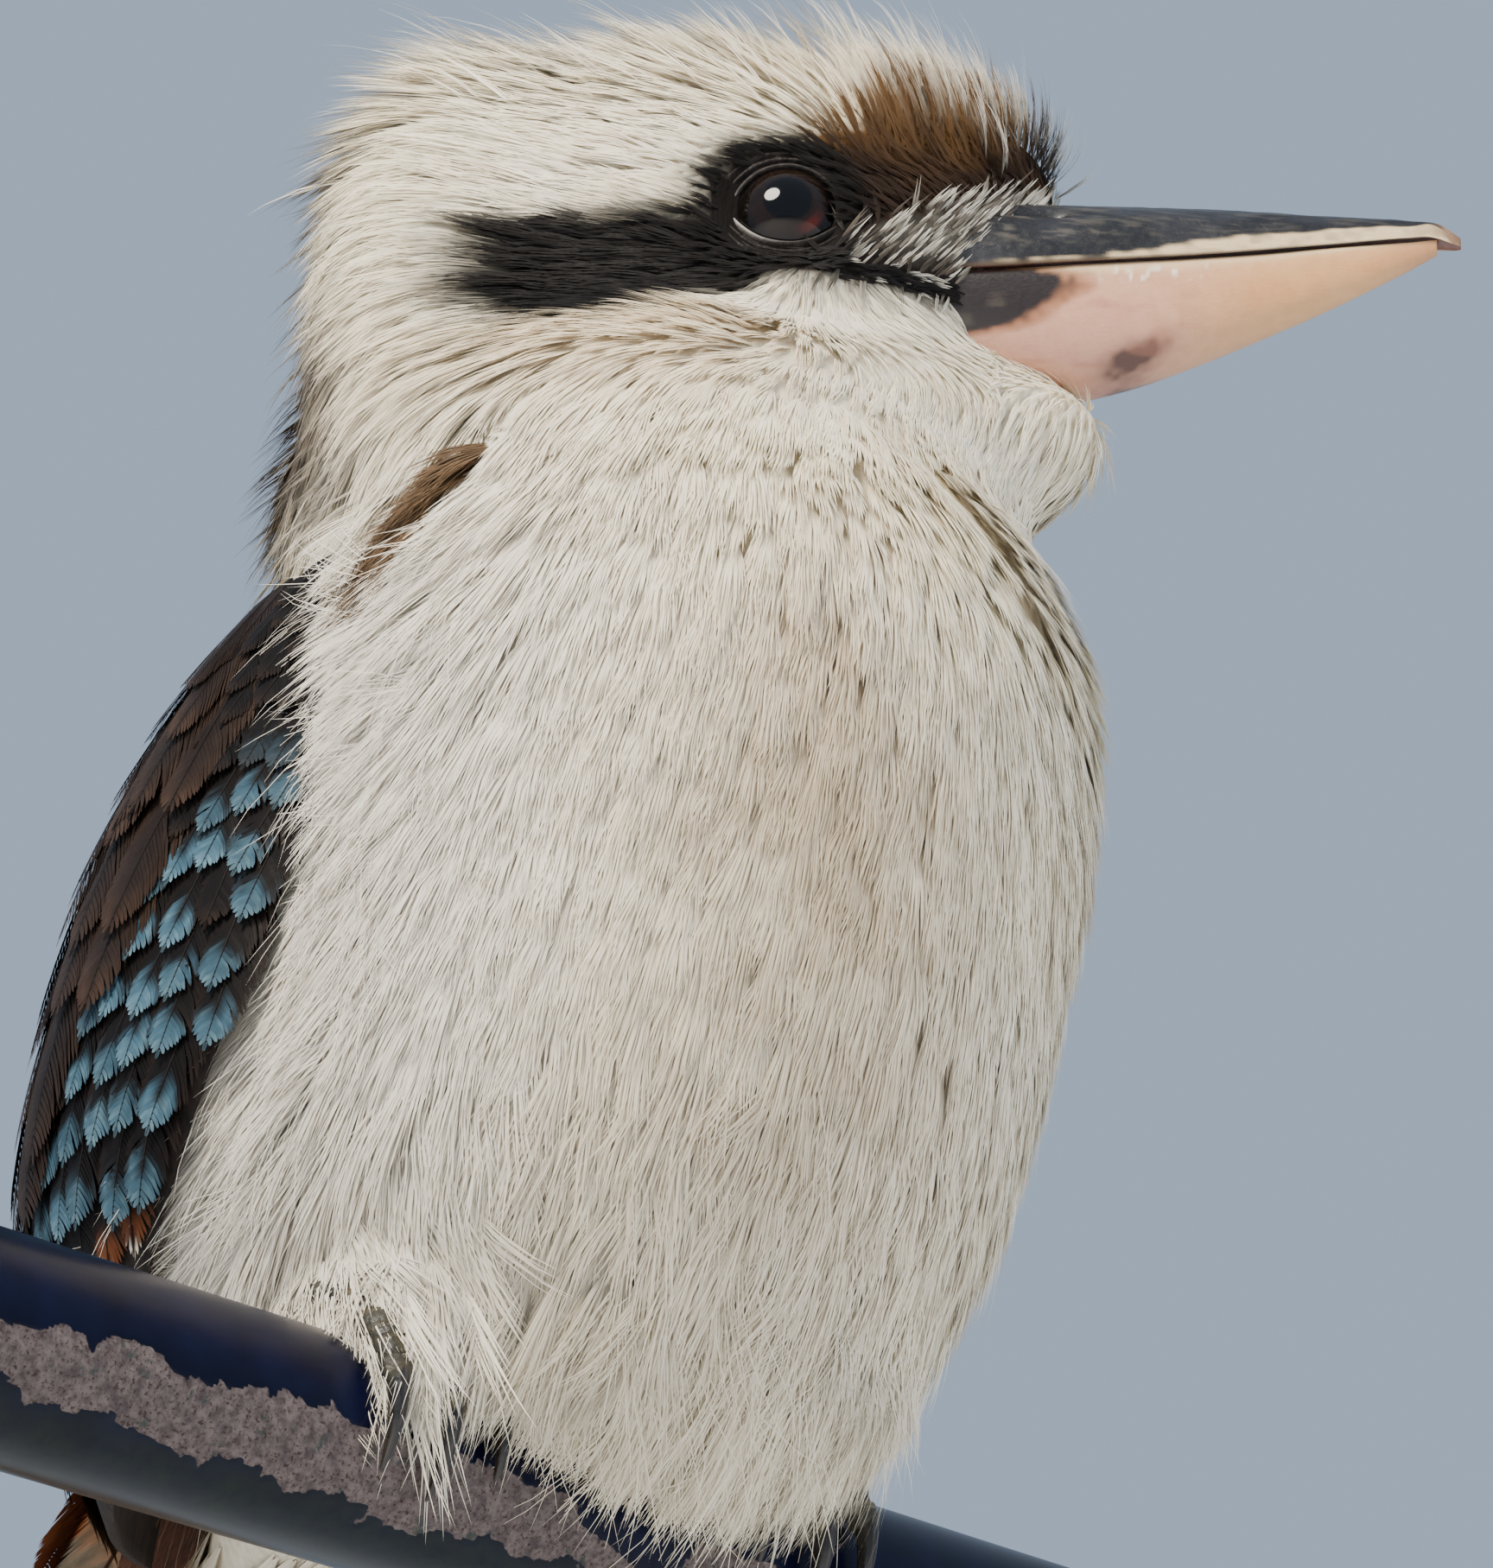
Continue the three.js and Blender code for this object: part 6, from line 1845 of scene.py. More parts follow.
def make_lower():
    rows, n = ((190, 132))
    R, x, w, top, frm, na = bill_rings("l", rows, n)
    q = R.reshape(-1, 3).copy()
    X_, Y_, Z_ = q[:, 0], q[:, 1], q[:, 2]
    e = curve(X_, BILL["x"], BILL["edge"])
    kz = curve(X_, BILL["lowX"], BILL["keel"])
    frac = (e - Z_) / np.maximum(e - kz, 0.3)  # 0 at the cutting edge, 1 at the keel
    outer = (np.arange(n) < na)[None].repeat(rows, 0).ravel()
    nrm = unit(np.stack([0 * X_, Y_ / np.maximum(curve(X_, BILL["lowX"], BILL["lowHalf"]), 0.4) ** 2 * 8, -(frac - 0.1) * 1.2], -1) + 1e-6)
    s1 = noise(np.stack([X_ * 0.35, Y_, Z_], -1), 1.6, 51)
    s2 = noise(q, 1.1, 52)
    s3 = noise(q, 6.0, 53)
    inset = np.exp(-((frac - 0.02) / 0.05) ** 2)
    # dried flecks stuck along the cutting edge's underside
    fz = Z_ - (e - 2.2 + 0.5 * np.sin(X_ * 0.9))
    fleck = step(0.60, 0.72, noise(q, 0.75, 54)) * np.exp(-((fz / 0.85) ** 2)) * step(54, 58, X_) * step(73, 68, X_) * outer
    d = 0.10 * (s3 - 0.5) + 0.05 * (s1 - 0.5) - 0.18 * inset + 0.16 * fleck
    d = d * step(102.8, 99, X_) * outer
    q = q + nrm * d[:, None]
    # colours
    c = lerp(FLESH * np.ones(q.shape), PEACH, step(56, 84, X_) * 0.9)
    c = lerp(c, ORANGE, step(62, 80, X_) * step(0.15, 0.55, frac) * step(0.95, 0.7, frac) * 0.45 * (0.6 + 0.8 * (s3 - 0.3)).clip(0, 1))
    c = lerp(c, srgb(196, 138, 128), step(72, 50, X_) * step(0.3, 0.6, frac) * 0.35 * s3)
    c = lerp(c, HORN, step(0.20, 0.05, frac) * 0.75)
    c = lerp(c, srgb(178, 128, 92), step(92, 102, X_) * 0.5)
    # the slate patch at the base, from the cutting edge down, and its brown front border
    reach = curve(frac, [0.0, 0.10, 0.25, 0.42, 0.60, 0.72, 1.0], [45.0, 50.5, 52.0, 48.5, 42.0, 34.0, 22.0]) + 2.4 * (s2 - 0.5) + 3 * (s3 - 0.5)
    c = lerp(c, srgb(150, 96, 60), step(reach + 4.5, reach, X_) * 0.75)
    c = lerp(c, lerp(SLATE * 0.55, SLATE_PALE * 0.7, step(0.66, 0.9, s1) * 0.5), step(reach + 0.8, reach - 2.4, X_) * 0.97)
    # a dark patch low near the keel: painted shade on the lower bill's underside
    sm = np.exp(-(((X_ - 60.0) / 4.4) ** 2) - ((frac - 0.90 + 0.012 * (X_ - 60)) / 0.10) ** 2) * (0.7 + 0.8 * s2)
    c = lerp(c, srgb(66, 42, 38), np.clip(sm * 1.2, 0, 0.9))
    vein = step(0.62, 0.78, noise(np.stack([X_ * 0.5, Y_ * 0.8, Z_ * 1.8], -1), 2.0, 55)) * step(78, 60, X_) * step(0.2, 0.4, frac) * step(reach + 2, reach + 7, X_)
    c = lerp(c, srgb(180, 116, 96), vein * 0.35)
    c = lerp(c, srgb(246, 236, 214), fleck * 0.95)
    seam = step(0.03, 0.0, frac)
    c = lerp(c, srgb(90, 58, 42), seam * 0.6)
    c = lerp(c, srgb(150, 92, 84), (~outer) * 0.9)
    m = Nodes("bill_horn_flesh")
    co = m.coords()
    mott = m.noise(co, 500.0, 4.0, 0.6)
    fine = m.noise(m.scale(co, 1, 1, 2.2), 1400.0, 3.0, 0.6)
    col = m.mix(m.ramp(mott, 0.35, 0.7, 0.0, 0.30), m.attr("Col"), m.mix(1.0, m.attr("Col"), (0.80, 0.70, 0.62), "MULTIPLY"))
    m.set(Base_Color=col, Roughness=m.ramp(fine, 0.25, 0.75, 0.30, 0.46))
    m.put(m.b.inputs["Specular IOR Level"], 0.45)
    m.put(m.b.inputs["Subsurface Weight"], 0.18)
    m.put(m.b.inputs["Subsurface Radius"], (0.9, 0.45, 0.25))
    m.put(m.b.inputs["Subsurface Scale"], 0.0015)
    m.put(m.b.inputs["Coat Weight"], 0.15)
    m.put(m.b.inputs["Coat Roughness"], 0.25)
    m.bump(fine, 0.00010, 0.6)
    V = from_head(q).reshape(rows, n, 3)
    o, capv = grid_mesh("bill_lower_horn", V, m.m)
    paint(o, np.concatenate([c, c[:1], c[-1:]]))
    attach(o, "root")
    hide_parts("bill_lower")


make_upper()
make_lower()


# ---------------------------------------------------------------- eyes and lids
def make_eye(side, tag):
    centre = hd(EYE[0], side * EYE[1], EYE[2])
    axis = unit(side * HL + 0.10 * HX + 0.02 * HZ)
    fwd = unit(HX - (HX @ axis) * axis)
    up = np.cross(axis, fwd) * (1 if np.cross(axis, fwd)[2] > 0 else -1)
    R = EYE[3] - 0.12
    # the globe, with the clear front bulging a little over the iris
    rows, n = ((110, 120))
    a = np.linspace(0.004, PI - 0.004, rows)
    b = 2 * PI * np.arange(n) / n
    bulge = 0.22 * np.exp(-((a / 0.62) ** 4))
    rr = R + bulge
    ring = (np.sin(a) * rr)[:, None, None] * (np.cos(b)[None, :, None] * fwd + np.sin(b)[None, :, None] * up)
    V = centre + (np.cos(a) * rr)[:, None, None] * axis + ring
    A = np.repeat(a[:, None], n, 1).ravel()
    B = np.repeat(b[None], rows, 0).ravel()
    streak = noise(np.stack([np.cos(B) * 14, np.sin(B) * 14, A * 3], -1), 1.0, 61)
    c = lerp(srgb(16, 10, 7) * np.ones((len(A), 3)), srgb(34, 19, 12), np.clip(streak * 0.9, 0, 1) * 0.7)
    # a reddish patch low in the front of the iris: painted reflection
    c = lerp(c, srgb(88, 30, 22), np.clip(np.cos(B + 0.80), 0, 1) ** 14 * step(0.44, 0.54, A) * step(0.70, 0.62, A) * 0.6)
    c = lerp(c, srgb(10, 7, 6), step(0.60, 0.74, A))
    c = lerp(c, srgb(4, 3, 3) * np.ones(3), step(0.40, 0.37, A))
    c = lerp(c, srgb(40, 30, 27) * np.ones(3), step(0.92, 1.1, A))
    m = Nodes("eye_glass")
    fine = m.noise(m.coords(), 2500.0, 2.0, 0.5)
    m.set(Base_Color=m.mix(m.ramp(fine, 0.4, 0.7, 0.0, 0.25), m.attr("Col"), m.mix(1.0, m.attr("Col"), (0.7, 0.65, 0.6), "MULTIPLY")), Roughness=0.06)
    m.put(m.b.inputs["Specular IOR Level"], 0.22)
    m.put(m.b.inputs["Coat Weight"], 0.35)
    m.put(m.b.inputs["Coat Roughness"], 0.02)
    m.put(m.b.inputs["Coat IOR"], 1.45)
    o, _ = grid_mesh("eyeball_" + tag, V, m.m)
    paint(o, np.concatenate([c, c[:1], c[-1:]]))
    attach(o, "root")
    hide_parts("eye_" + tag)

    # lids: a rim that lies on the globe, then folds of bare skin out to the feathers
    nt, nr = ((160, 34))
    th = 2 * PI * np.arange(nt) / nt
    ch, sh = np.cos(th), np.sin(th)
    # opening: longer than high, with a drawn-out corner in front and a smaller one behind
    ox = 7.05 + 1.25 * np.clip(ch, 0, 1) ** 8 + 0.6 * np.clip(-ch, 0, 1) ** 8
    oz = np.where(sh > 0, 6.05, 6.0)
    op = np.stack([ox * ch, oz * sh], -1)
    s = np.linspace(0, 1, nr)
    dirs = unit(op)
    rad = np.linalg.norm(op, axis=1)
    outr = rad + 4.2
    outp = centre + dirs[:, :1] * outr[:, None] * fwd + dirs[:, 1:] * outr[:, None] * up + 6.0 * axis
    for _ in range(30):
        outp = outp - axis * (np.clip(skin_field(outp), -1.5, 1.5) * 0.8)[:, None]
    outp = outp - axis * 0.5
    inner_h = np.sqrt(np.maximum((R + 0.02) ** 2 - rad**2, 1.0))
    P = np.empty((nr, nt, 3))
    outer_h = (outp - centre) @ axis
    wob = noise(np.stack([np.cos(th) * 6, np.sin(th) * 6, 0 * th], -1), 1.0, 62)
    for k, t in enumerate(s):
        rk = rad - 0.25 + (outr - rad + 0.25) * t
        base = inner_h + (outer_h - inner_h) * step(0.05, 1.0, t)
        lipb = 0.75 * math.exp(-(((t - 0.10) / 0.085) ** 2))
        fold = 0.34 * math.exp(-(((t - 0.36) / 0.07) ** 2)) - 0.28 * math.exp(-(((t - 0.245) / 0.045) ** 2))
        fold += 0.22 * math.exp(-(((t - 0.60) / 0.07) ** 2)) - 0.18 * math.exp(-(((t - 0.49) / 0.05) ** 2))
        hgt = base + lipb * (1 + 0.15 * (wob - 0.5)) + fold * (0.7 + 0.6 * wob) + (-0.5 if k == 0 else 0.0)
        P[k] = centre + dirs[:, :1] * rk[:, None] * fwd + dirs[:, 1:] * rk[:, None] * up + hgt[:, None] * axis
    # small pebbles in the bare skin
    pts = P.reshape(-1, 3)
    peb = noise(pts, 0.8, 63)
    TT = np.repeat(s[:, None], nt, 1).ravel()
    pts = pts + axis * (0.16 * (peb - 0.5) * step(0.12, 0.25, TT))[:, None]
    P = pts.reshape(nr, nt, 3)
    TH = np.repeat(th[None], nr, 0).ravel()
    c = lerp(srgb(24, 19, 17) * np.ones((len(TT), 3)), srgb(50, 41, 36), step(0.3, 0.8, peb) * 0.6)
    rim = np.exp(-(((TT - 0.10) / 0.07) ** 2))
    # a pale line along the lid's rim, faint all round and strongest low behind the eye: a painted highlight on the wet
    # margin
    pale = rim * (0.05 + 0.95 * np.clip(np.cos(TH - math.radians(208)), 0, 1) ** 4)
    c = lerp(c, srgb(176, 170, 164), np.clip(pale * 0.9, 0, 1))
    # darker along the groove of the first fold: painted shade in the crease
    c = lerp(c, srgb(24, 18, 15), np.exp(-(((TT - 0.245) / 0.05) ** 2)) * 0.6)
    corner = rim * np.clip(np.cos(TH), 0, 1) ** 30
    c = lerp(c, srgb(96, 60, 54), corner * 0.7)
    m = Nodes("eyelid_skin")
    co = m.coords()
    cells = m.voronoi(co, 1500.0)
    fine = m.noise(co, 1800.0, 3.0, 0.6)
    m.set(Base_Color=m.mix(m.ramp(cells, 0.15, 0.6, 0.0, 0.35), m.attr("Col"), m.mix(1.0, m.attr("Col"), (0.6, 0.56, 0.54), "MULTIPLY")),
          Roughness=m.ramp(fine, 0.3, 0.7, 0.50, 0.68))
    m.put(m.b.inputs["Specular IOR Level"], 0.25)
    m.bump(m.math("ADD", cells, fine), 0.00016, 0.7)
    # a closed shell: the outer sheet, and the same sheet a little lower
    back = P - axis * 0.9
    back[0] = P[0] - axis * 0.5
    ringv = np.concatenate([P, back[::-1]])
    verts = ringv.reshape(-1, 3)
    rows2 = 2 * nr
    i, j = np.meshgrid(np.arange(rows2), np.arange(nt), indexing="ij")
    k = (j + 1) % nt
    i2 = (i + 1) % rows2
    quads = np.stack([i * nt + j, i * nt + k, i2 * nt + k, i2 * nt + j], -1).reshape(-1, 4)
    A_, B_, C_, D_ = (verts[quads[:, m_]] for m_ in range(4))
    mid = verts.mean(0)
    vol = (np.cross(A_ - mid, B_ - mid) * (C_ - mid)).sum() + (np.cross(A_ - mid, C_ - mid) * (D_ - mid)).sum()
    if vol < 0:
        quads = quads[:, ::-1]
    o = mesh_of("eyelids_" + tag, verts, quads, material=m.m)
    cb = c.reshape(nr, nt, 3)[::-1].reshape(-1, 3)
    paint(o, np.concatenate([c, cb]))
    # the unwrap: two flat rings side by side
    vi = np.arange(rows2 * nt)
    rg, pl = vi // nt, vi % nt
    front = rg < nr
    rho = np.where(front, rg, rows2 - 1 - rg) / nr * 0.16 + 0.06
    set_uv(o, np.stack([np.where(front, 0.25, 0.75) + rho * np.cos(th[pl]), 0.5 + rho * np.sin(th[pl])], -1))
    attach(o, "root")


make_eye(-1, "R")
make_eye(1, "L")


# ---------------------------------------------------------------- feet
FEET = [dict(tag="R", x=-43.0, inner=1), dict(tag="L", x=27.0, inner=-1)]
TOES = [
    dict(n=2, at=7.2, spread=3.5, to=62.0, r0=3.3, r1=2.5),
    dict(n=3, at=0.0, spread=0.5, to=80.0, r0=3.6, r1=2.7),
    dict(n=4, at=-6.6, spread=-1.6, to=72.0, r0=3.4, r1=2.5),
    dict(n=1, at=1.0, spread=0.5, to=-66.0, r0=3.6, r1=2.7),
]
TOE_LIFT = 0.45


def round_rail(x, angle, r):
    a = np.radians(angle)
    return np.stack([x + 0 * a, -r * np.sin(a), -RAIL_R + r * np.cos(a)], -1)


def toe_line(foot, toe, m=7):
    t = np.linspace(0, 1, m)
    r = toe["r0"] + (toe["r1"] - toe["r0"]) * t
    start = 4.0 if toe["to"] > 0 else -6.0
    a = start + (toe["to"] - start) * t
    x = foot["x"] + foot["inner"] * (toe["at"] + toe["spread"] * t)
    return round_rail(x, a, RAIL_R + TOE_LIFT + r), r, a


def make_foot(foot):
    tag = foot["tag"]
    parts = []
    for toe in TOES:
        P, r, a = toe_line(foot, toe)
        t = np.linspace(0, 1, 7)
        rr = r * (1 + 0.07 * np.cos(t * PI * 6)) * np.where(t > 0.95, 0.86, 1.0)
        parts.append((P, rr, toe))
    fx = foot["x"]
    shank = [((fx, 0.5, 5.2), (fx, 4.0, 10.0), 4.9, 4.3), ((fx, 4.0, 10.0), (fx, 12.6, 25.0), 4.1, 3.7)]

    def field(p):
        d = None
        for P, rr, toe in parts:
            dt = None
            for i in range(len(P) - 1):
                s = taper(p, P[i], P[i + 1], rr[i] - 0.15, rr[i + 1] - 0.15)
                dt = s if dt is None else np.minimum(dt, s)
            d = dt if d is None else smin(d, dt, 1.3)
        for a, b, r1, r2 in shank:
            d = smin(d, taper(p, a, b, r1 - 0.1, r2 - 0.1), 2.2)
        d = smin(d, ell(p, (fx, -0.2, 4.4), (8.4, 5.4, 3.3)), 2.0)
        # flattened where it rests on the rail
        rho = np.sqrt(p[..., 1] ** 2 + (p[..., 2] + RAIL_R) ** 2)
        return smax(d, RAIL_R + 0.35 - rho, 0.8)

    h = 0.5
    lo = (fx - 15.5, -20.5, -21.5)
    hi = (fx + 15.5, 22.0, 30.5)
    v, qd = surface_nets(field, lo, hi, h)
    v = onto(field, v, 2)
    n = unit(grad(field, v, 0.15))
    # place of each point along the nearest toe, and how far round it lies from the top
    best = np.full(len(v), 1e9)
    run = np.zeros(len(v))
    topness = np.zeros(len(v))
    flesh = np.zeros(len(v))
    for P, rr, toe in parts:
        acc = 0.0
        for i in range(len(P) - 1):
            a, b = P[i], P[i + 1]
            ab = b - a
            ln = np.linalg.norm(ab)
            t = np.clip(((v - a) @ ab) / (ab @ ab), 0, 1)
            near = a + t[:, None] * ab
            dd = np.linalg.norm(v - near, axis=1) - rr[i]
            out = unit(np.stack([0 * near[:, 0], near[:, 1], near[:, 2] + RAIL_R], -1))
            s = dd < best
            best = np.where(s, dd, best)
            run = np.where(s, acc + t * ln, run)
            topness = np.where(s, (n * out).sum(-1), topness)
            flesh = np.where(s, (acc + t * ln) / 28.0, flesh)
            acc += ln
    a, b = np.array([fx, 4.0, 10.0]), np.array([fx, 12.6, 25.0])
    ab = b - a
    t = np.clip(((v - a) @ ab) / (ab @ ab), 0, 1)
    ds = np.linalg.norm(v - (a + t[:, None] * ab), axis=1) - 3.9
    onshank = ds < best
    run = np.where(onshank, t * 17 + 0.6, run)
    front = (n @ unit(np.array([0, -0.82, 0.3])))
    topness = np.where(onshank, front, topness)
    # broad plates across the top, small scales at the sides, soft pads below
    pitch = np.where(onshank, 2.9, 2.2)
    jit = 0.25 * (noise(v, 3.0, 90) - 0.5)
    ph = run / pitch + jit
    fr = ph - np.floor(ph)
    plate = step(-0.15, 0.25, topness)
    groove = np.exp(-((np.minimum(fr, 1 - fr) / 0.10) ** 2))
    swell = np.sin(PI * fr) ** 0.6
    scale_n = noise(v, 0.85, 91)
    side_sc = step(0.35, 0.0, topness) * (1 - step(-0.75, -0.95, topness) * 0.5)
    d = plate * (0.30 * swell - 0.34 * groove) + side_sc * 0.30 * (scale_n - 0.5) + 0.10 * (noise(v, 2.0, 92) - 0.5)
    v2 = v + n * d[:, None]
    rho = np.sqrt(v2[:, 1] ** 2 + (v2[:, 2] + RAIL_R) ** 2)
    low = rho < RAIL_R + 0.12
    fixr = np.where(low, (RAIL_R + 0.12) / np.maximum(rho, 1e-6), 1.0)
    v2[:, 1] *= fixr
    v2[:, 2] = (v2[:, 2] + RAIL_R) * fixr - RAIL_R
    olive = srgb(58, 56, 46)
    dark = srgb(34, 33, 29)
    yellow = srgb(122, 104, 62)
    c = lerp(olive * np.ones((len(v), 3)), dark, step(0.45, 0.8, noise(v, 4.0, 93)) * 0.6)
    c = lerp(c, yellow, np.clip(step(0.60, 0.80, noise(v, 5.0, 94)) * 0.30 + plate * step(0.66, 0.95, fr) * 0.40, 0, 0.7))
    c = lerp(c, dark * 0.55, np.clip(plate * groove * 0.85 + side_sc * step(0.42, 0.25, scale_n) * 0.4, 0, 1))
    c = lerp(c, srgb(110, 96, 72), step(-0.55, -0.85, topness) * 0.5)
    m = Nodes("foot_skin_" + tag)
    co = m.coords()
    cells = m.voronoi(co, 1300.0)
    fine = m.noise(co, 1600.0, 3.0, 0.6)
    m.set(Base_Color=m.mix(m.ramp(cells, 0.1, 0.5, 0.0, 0.35), m.attr("Col"), m.mix(1.0, m.attr("Col"), (0.62, 0.60, 0.56), "MULTIPLY")),
          Roughness=m.ramp(fine, 0.3, 0.7, 0.38, 0.6))
    m.put(m.b.inputs["Specular IOR Level"], 0.45)
    m.bump(m.math("ADD", cells, fine), 0.00018, 0.8)
    o = mesh_of("foot_" + tag, v2, qd, material=m.m)
    paint(o, c)
    # the unwrap: along the toe and round it, one strip for each toe, by the face's own middle
    mid = v[qd].mean(1)
    which = np.zeros(len(mid), int)
    bm = np.full(len(mid), 1e9)
    along_ = np.zeros((len(mid), 4))
    roll = np.zeros((len(mid), 4))
    for ti, (P, rr, toe) in enumerate(parts):
        dist = np.min([np.linalg.norm(mid - P[i], axis=1) for i in range(len(P))], axis=0)
        s = dist < bm
        bm = np.where(s, dist, bm)
        which = np.where(s, ti, which)
    dsh = np.linalg.norm(mid - (a + np.clip(((mid - a) @ ab) / (ab @ ab), 0, 1)[:, None] * ab), axis=1)
    which = np.where(dsh < bm, 4, which)
    corners = v[qd]
    ua = np.degrees(np.arctan2(-corners[..., 1], corners[..., 2] + RAIL_R)) / 100.0
    up_ = np.where((n[qd].mean(1)[:, None] * unit(np.stack([0 * mid[:, 0], mid[:, 1], mid[:, 2] + RAIL_R], -1))[:, None]).sum(-1) > 0, 0.0, 0.5)
    uo = 0.02 + 0.19 * which[:, None] + 0.16 * (corners[..., 0] - fx + 15) / 30.0
    vo = 0.02 + up_ + 0.45 * np.where(which[:, None] == 4, (corners[..., 2] + 2) / 34.0, (ua + 0.8) / 1.8)
    set_loop_uv(o, np.clip(np.stack([uo, vo], -1), 0.001, 0.999).reshape(-1, 2))
    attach(o, "root")
    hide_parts("leg_" + tag)

    # claws: curved horn round the rail's front, keeled below, drawn out to a point
    for toe in TOES:
        sign = 1 if toe["to"] > 0 else -1
        x = foot["x"] + foot["inner"] * (toe["at"] + toe["spread"])
        rows, nn = ((40, 28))
        t = np.linspace(0, 1, rows)
        ang = toe["to"] + sign * (-3.0 + 47.0 * t)
        rad_ = 1.95 * (1 - t) ** 0.62 * (1 - 0.15 * np.exp(-((t / 0.08) ** 2))) + 0.12
        cr = RAIL_R + TOE_LIFT + np.maximum(toe["r1"] + 0.5 - 1.9 * t, rad_ + 0.15)
        C = round_rail(np.full(rows, x), ang, cr)
        out = np.stack([0 * ang, -np.sin(np.radians(ang)), np.cos(np.radians(ang))], -1)
        bb = 2 * PI * np.arange(nn) / nn
        flat = np.where(np.sin(bb) < 0, 0.72, 1.12)
        V = C[:, None] + rad_[:, None, None] * (np.cos(bb)[None, :, None] * 0.80 * np.array([1.0, 0, 0]) + (np.sin(bb) * flat)[None, :, None] * out[:, None])
        tt = np.repeat(t[:, None], nn, 1).ravel()
        ridge = noise(np.stack([np.cos(bb)[None].repeat(rows, 0).ravel() * 3, np.sin(bb)[None].repeat(rows, 0).ravel() * 3, tt * 1.5], -1), 0.6, 95)
        c = lerp(srgb(20, 18, 18) * np.ones((len(tt), 3)), srgb(66, 58, 50), step(0.5, 0.85, ridge) * 0.6 + 0.25 * step(0.8, 1.0, tt))
        c = lerp(c, srgb(120, 104, 70), step(0.10, 0.0, tt) * 0.6)
        mc = claw_material()
        o, _ = grid_mesh(f"talon_{tag}{toe['n']}", V, mc)
        paint(o, np.concatenate([c, c[:1], c[-1:]]))
        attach(o, "root")
        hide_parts(f"claw_{tag}{toe['n']}")


CLAW_MATERIAL = []


def claw_material():
    if not CLAW_MATERIAL:
        m = Nodes("claw_keratin")
        co = m.coords()
        st = m.noise(m.scale(co, 3.0, 1, 1), 900.0, 3.0, 0.6)
        m.set(Base_Color=m.mix(m.ramp(st, 0.35, 0.7, 0.0, 0.4), m.attr("Col"), m.mix(1.0, m.attr("Col"), (1.5, 1.4, 1.3), "MULTIPLY")),
              Roughness=m.ramp(st, 0.3, 0.7, 0.24, 0.42))
        m.put(m.b.inputs["Specular IOR Level"], 0.5)
        m.put(m.b.inputs["Coat Weight"], 0.2)
        m.bump(st, 0.00010, 0.6)
        CLAW_MATERIAL.append(m.m)
    return CLAW_MATERIAL[0]


for foot_ in FEET:
    make_foot(foot_)


# ---------------------------------------------------------------- the cut length of painted rail, and the display stand
RAIL_L = 300.0


